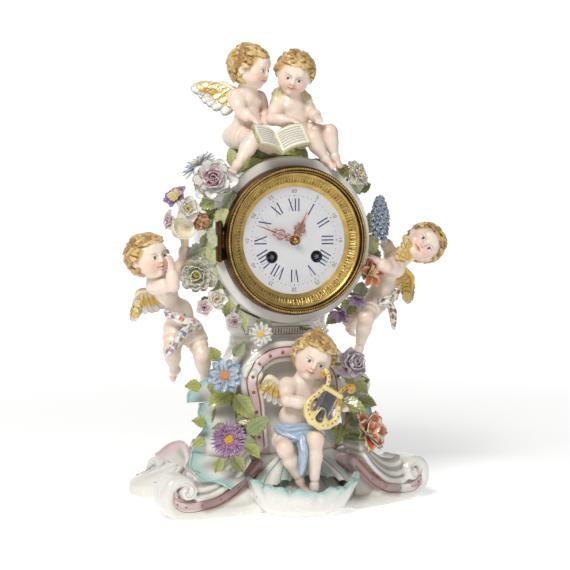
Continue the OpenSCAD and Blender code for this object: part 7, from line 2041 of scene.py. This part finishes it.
# Radii of the dial where numerals, five-minute figures and minute marks are painted
NUMERALS_AT, FIGURES_AT, MARKS_AT = 24, 38.8, 36.6
NUMERAL_BLUE, COPPER_TONE = rgb(44, 58, 140), rgb(214, 150, 112)


def dial_axes(angle):
    """The ways across and outwards at degrees clockwise from the top."""
    a = math.radians(angle)
    return v3(math.cos(a), 0, -math.sin(a)), v3(math.sin(a), 0, math.cos(a))


def ink_line(heap, line, width, angle, radius, colour=INK):
    """A painted stroke: line is (across, outward) from a place at a radius."""
    line = np.asarray(line, float)
    t = tangents(line)
    side = np.stack([-t[:, 1], t[:, 0]], 1) * np.broadcast_to(width, len(line))[:, None] / 2
    across, out = dial_axes(angle)
    grid = np.stack([line - side, line + side], 1)
    grid[..., 1] += radius
    v = grid[..., :1] * across + grid[..., 1:] * out + v3(0, -FACE_AT - 0.02, DIAL_HIGH)
    v, f = thick(v, 0.05)
    heap.add(v, f, colour)


BAR, HAIR_LINE, TALL = 1.05, 0.22, 10.0
# Each letter's width, and its bars as two ends in heights of a letter and a girth
strokes = {"I": (3.0, [((0, 0), (0, 1), BAR)]),
           "V": (4.6, [((0, 0), (-0.17, 1), BAR), ((0, 0), (0.17, 1), HAIR_LINE)]),
           "X": (4.8, [((0.18, 0), (-0.18, 1), BAR), ((-0.18, 0), (0.18, 1), HAIR_LINE)])}


def arc(cx, cy, rx, ry, a, b):
    return [(cx + rx * math.cos(t), cy + ry * math.sin(t))
            for t in np.radians(np.linspace(a, b, 15))]


# Figures as lines in a box of one by one
digits = {"0": [arc(0.5, 0.5, 0.38, 0.5, 0, 360)],
          "1": [[(0.3, 0.8), (0.5, 1), (0.5, 0)]],
          "2": [arc(0.5, 0.72, 0.36, 0.28, 170, -40) + [(0.12, 0), (0.88, 0)]],
          "3": [arc(0.45, 0.75, 0.34, 0.25, 160, -90) + arc(0.45, 0.26, 0.4, 0.26, 90, -160)],
          "4": [[(0.68, 0), (0.68, 1), (0.1, 0.3), (0.92, 0.3)]],
          "5": [[(0.82, 1), (0.26, 1), (0.2, 0.56)] + arc(0.48, 0.32, 0.36, 0.32, 130, -150)],
          "6": [arc(0.5, 0.3, 0.36, 0.3, 0, 360), [(0.15, 0.36), (0.3, 0.75), (0.72, 1)]]}


def dial_painting():
    """Roman hours in blue, and five-minute figures and marks in black, upright to the rim."""
    blue, black = Heap(), Heap()
    for hour, text in enumerate(("XII", "I", "II", "III", "IIII", "V", "VI", "VII", "VIII", "IX",
                                 "X", "XI")):
        wide = sum(strokes[c][0] for c in text)
        at = -wide / 2
        for c in text:
            step, bars = strokes[c]
            for (x0, y0), (x1, y1), w in bars:
                x = at + step / 2
                line = [(x + TALL * mix(x0, x1, t), TALL * mix(y0, y1, t))
                        for t in np.linspace(0, 1, 3)]
                ink_line(blue, line, w, hour * 30, NUMERALS_AT, NUMERAL_BLUE)
                for xe, ye in (line[0], line[-1]):
                    ink_line(blue, [(xe - w * 0.75, ye), (xe + w * 0.75, ye)], HAIR_LINE,
                             hour * 30, NUMERALS_AT, NUMERAL_BLUE)
            at += step
        figure = str(hour * 5 or 60)
        for k, c in enumerate(figure):
            x = (k - (len(figure) - 1) / 2) * 2.3 - 0.95
            for line in digits[c]:
                ink_line(black, [(x + 1.9 * u, 2.9 * v) for u, v in line], 0.36, hour * 30,
                         FIGURES_AT)
    for minute in range(60):
        big = minute % 5 == 0
        for turn in (0, 90):
            w = 0.62 if big else 0.42
            line = [(-w, 0), (0, 0), (w, 0)] if turn else [(0, -w), (0, 0), (0, w)]
            ink_line(black, line, (0.1, w * 1.3, 0.1), minute * 6, MARKS_AT)
    blue.make("hour_numerals", "case", INK_BLUE, "enamel")
    black.make("minute_figures", "case", INK_BLACK, "enamel")


def turned_ring(name, body, look, profile, count, middle=(0, 0), ripple=None, paint=None):
    """A turned ring. profile is (radius, forward); ripple(angle, s) lifts it along its normal,
    and paint(angle, s) gives its tone."""
    p = np.array(profile, float)
    s = np.arange(len(p))[:, None] / (len(p) - 1)
    a = full_turn(count)[None, :]
    r, f = p[:, 0][:, None] + 0 * a, p[:, 1][:, None] + 0 * a
    if ripple is not None:
        t = tangents(p)
        lift = ripple(a, s)
        r, f = r - t[:, 1][:, None] * lift, f + t[:, 0][:, None] * lift
    v = np.stack([middle[0] + r * np.sin(a), -f, DIAL_HIGH + middle[1] + r * np.cos(a)], -1)
    tone = None if paint is None else np.repeat(paint(a, s).reshape(-1, 1), 3, 1)
    return piece(name, v.reshape(-1, 3), grid_faces(len(p), count, wrap_u=True, wrap_v=True),
                 body, look, tone)


def palmettes(a, s):
    """A chased band: a palmette in each cell and a small ring between two."""
    x = (a * 40 / (2 * math.pi)) % 1 - 0.5
    y = np.clip((s - 0.16) / 0.5, 0, 1)
    on = np.sin(math.pi * y) ** 0.5
    leaf = np.exp(-(x / 0.1) ** 2) * np.sin(math.pi * y)
    side = np.exp(-((np.abs(x) - 0.2 - 0.13 * y) / 0.06) ** 2) * on
    eye = np.exp(-((np.hypot((np.abs(x) - 0.5) * 1.5, y - 0.3) - 0.2) / 0.07) ** 2) * on
    grain = 0.12 * np.sin(160 * x) * np.sin(90 * y)
    return np.where((s > 0.14) & (s < 0.68),
                    -(0.42 * np.maximum(np.maximum(leaf, side), eye) + grain * on * 0.3), 0)


def chased_tone(a, s):
    """Painted shade: darker in the ground between the palmettes and rings."""
    band = np.clip(np.minimum(s - 0.14, 0.68 - s) / 0.06, 0, 1)
    return 1 - 0.6 * band * (1 - np.clip(-palmettes(a, s) / 0.2, 0, 1))


def tube_ring(radius, forward, tube):
    """The profile of a round bead."""
    return [(radius + tube * math.cos(t), forward + tube * math.sin(t)) for t in full_turn(14)]


def dial_metal():
    """The chased ring round the dial, rings at the winding holes and two beads of the bezel."""
    slope = [(55.8, 33.4), (55.8, 41.2)] + [
        (mix(54.4, 44, t), mix(41.5, 35.8, t) - 0.5 * math.sin(math.pi * t))
        for t in np.linspace(0, 1, 46)] + [(44, 35.1), (46.2, 35.1), (46.2, 33.4)]
    slope.reverse()
    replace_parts(turned_ring("chased_sight_ring", "case", CHASED, slope, 1200,
                            ripple=lambda a, s: -palmettes(a, 1 - s),
                            paint=lambda a, s: chased_tone(a, 1 - s)), "sight_ring")
    for sign in (-1, 1):
        turned_ring("winding_hole_" + ("left", "right")[sign > 0], "case", INK_BLACK,
                    [(4.05, 32.6), (4.05, 34.9), (4.4, 35.35), (5.0, 35.2), (5.05, 35.0),
                     (4.3, 35.0), (4.16, 34.8), (4.16, 32.6)], 48, (sign * 19.3, -13.4))
    turned_ring("glass_bead", "bezel", MILLED, tube_ring(56.0, 45.5, 0.55), 160)
    turned_ring("milled_bead", "bezel", MILLED, tube_ring(58.2, 45.5, 0.95), 1440,
                ripple=lambda a, s: -0.26 * np.cos(a * 180) + 0 * s)


def hand(node, body, angle, length, girth):
    """A pierced and gilt hand: mirrored scrolls on a stem, a ring and a long beaded tip."""
    f = HAND_AT[node] + 0.4
    across, out = dial_axes(angle)

    def at(x, y, z=0.0):
        return across * x + out * y * length + v3(0, -f - z, DIAL_HIGH)
    heap = Heap()
    for side in (-1, 1):
        for line in (
                [(0.5, 0.06), (1.9, 0.13), (2.2, 0.2), (1.0, 0.25), (1.6, 0.29), (3.2, 0.33),
                 (3.6, 0.42), (2.3, 0.5), (0.9, 0.53), (0.6, 0.6), (0.2, 0.7)],
                [(3.3, 0.35), (4.4, 0.33), (4.9, 0.38), (4.4, 0.43), (3.9, 0.4)],
                [(2.1, 0.19), (3.0, 0.2), (3.2, 0.24), (2.6, 0.26)],
                [(2.2, 0.5), (2.9, 0.53), (2.6, 0.57), (1.9, 0.55)]):
            pts = smooth_line([at(side * x * girth, y) for x, y in line], 5 * len(line))
            add_pipe(heap, pts, np.linspace(0.55, 0.32, len(pts)) * girth, COPPER_TONE, 10)
    loop = [at(1.7 * girth * math.cos(t), 0.4 + 1.9 * girth * math.sin(t) / length, 0.1)
            for t in np.linspace(0, 2 * math.pi, 25)]
    add_pipe(heap, loop, 0.45 * girth, COPPER_TONE, 10)
    stem = [at(0, y) for y in np.linspace(0.02, 1, 30)]
    add_pipe(heap, stem, spread(30, [0, 0.3, 0.55, 0.66, 1], [0.7, 0.4, 0.5, 0.75, 0.16]) * girth,
             COPPER_TONE, 10)
    for y, r in ((0.62, 0.95), (0.68, 0.8), (0.73, 0.65), (0.25, 0.8), (0.4, 0.8)):
        v, q = ball_mesh(at(0, y), r * girth)
        heap.add(v, q, COPPER_TONE)
    v, q = lathe_mesh([(0.0, 0), (2.6, 0), (2.7, 0.4), (2.6, 0.75), (0.0, 0.75)], 40)
    heap.add(v3(0, -f + 0.4, DIAL_HIGH) + v, q, COPPER_TONE)
    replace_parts(heap.make("pierced_" + node, body, COPPER, "copper_gilt"), node)


dial_painting()
dial_metal()
hand("hour_hand", "hour", 24, 26, 1.0)
hand("minute_hand", "minute", 291, 36, 0.86)
verts, faces = lathe_mesh([(0, 39.3), (2.5, 39.3), (3.3, 39.9), (3.4, 40.6), (2.9, 41.4),
                           (1.9, 41.9), (1.7, 42.2), (1.2, 42.6), (0, 42.7)], 48)
piece("hand_boss", verts + v3(0, 0, DIAL_HIGH), faces, "minute", GILT)

# Camera, floor and light

def look_from(obj, place, aim):
    """Stands a camera or a lamp at a place, turned to another."""
    obj.location = Vector(place) * MM
    obj.rotation_euler = (Vector(aim) - Vector(place)).to_track_quat("-Z", "Y").to_euler()


scene = bpy.context.scene
camera = bpy.data.objects.new("camera", bpy.data.cameras.new("camera"))
camera.data.lens, camera.data.sensor_width = 89.1, 36
camera.data.clip_start, camera.data.clip_end = 0.05, 20
scene.collection.objects.link(camera)
look_from(camera, (-380.2, -1121.4, 267.8), (9.1, 15.0, 181.9))
scene.camera = camera

# A paper sweep in metres: half its width, where it starts and turns up, and its height
side, near, deep, high = 3.0, -1.8, 2.6, 3.0
floor = bpy.data.meshes.new("floor")
floor.from_pydata([(-side, near, 0), (side, near, 0), (side, deep, 0), (-side, deep, 0),
                   (side, deep + 0.5, high), (-side, deep + 0.5, high)], [],
                  [(0, 1, 2, 3), (3, 2, 4, 5)])
ground = bpy.data.objects.new("floor", floor)
scene.collection.objects.link(ground)
paper = Tree("white_paper")
far = paper.ramp(paper.vec("LENGTH", paper.place()), 0.35, 1.1)
for key, low, high in (("Base Color", 0.93, 0.0), ("Emission Strength", 0.42, 1.05)):
    value = paper.ramp(far, 0.0, 1.0, low, high)
    paper.feed(paper.shader.inputs[key], value)
paper.feed(paper.shader.inputs["Emission Color"], (1, 1, 1, 1))
floor.materials.append(paper.set(rough=0.9))


def lamp(name, place, aim, power, size, colour=(1, 1, 1)):
    """A square lamp, its size in metres and its power in watts."""
    data = bpy.data.lights.new(name, "AREA")
    data.shape, data.size, data.energy, data.color = "SQUARE", size, power, colour
    obj = bpy.data.objects.new(name, data)
    scene.collection.objects.link(obj)
    look_from(obj, place, aim)


lamp("key", (-700, -900, 1250), (0, 0, 180), 18, 0.5, (1, 0.985, 0.96))
lamp("fill", (1100, -700, 700), (0, 0, 180), 1.2, 0.9, (0.97, 0.98, 1))
lamp("low_front", (-200, -1500, 250), (0, 0, 150), 1.6, 0.9)
world = bpy.data.worlds.new("studio")
world.use_nodes = True
world.node_tree.nodes["Background"].inputs["Color"].default_value = (1, 1, 1, 1)
world.node_tree.nodes["Background"].inputs["Strength"].default_value = 0.13
scene.world = world
scene.view_settings.view_transform = "Standard"
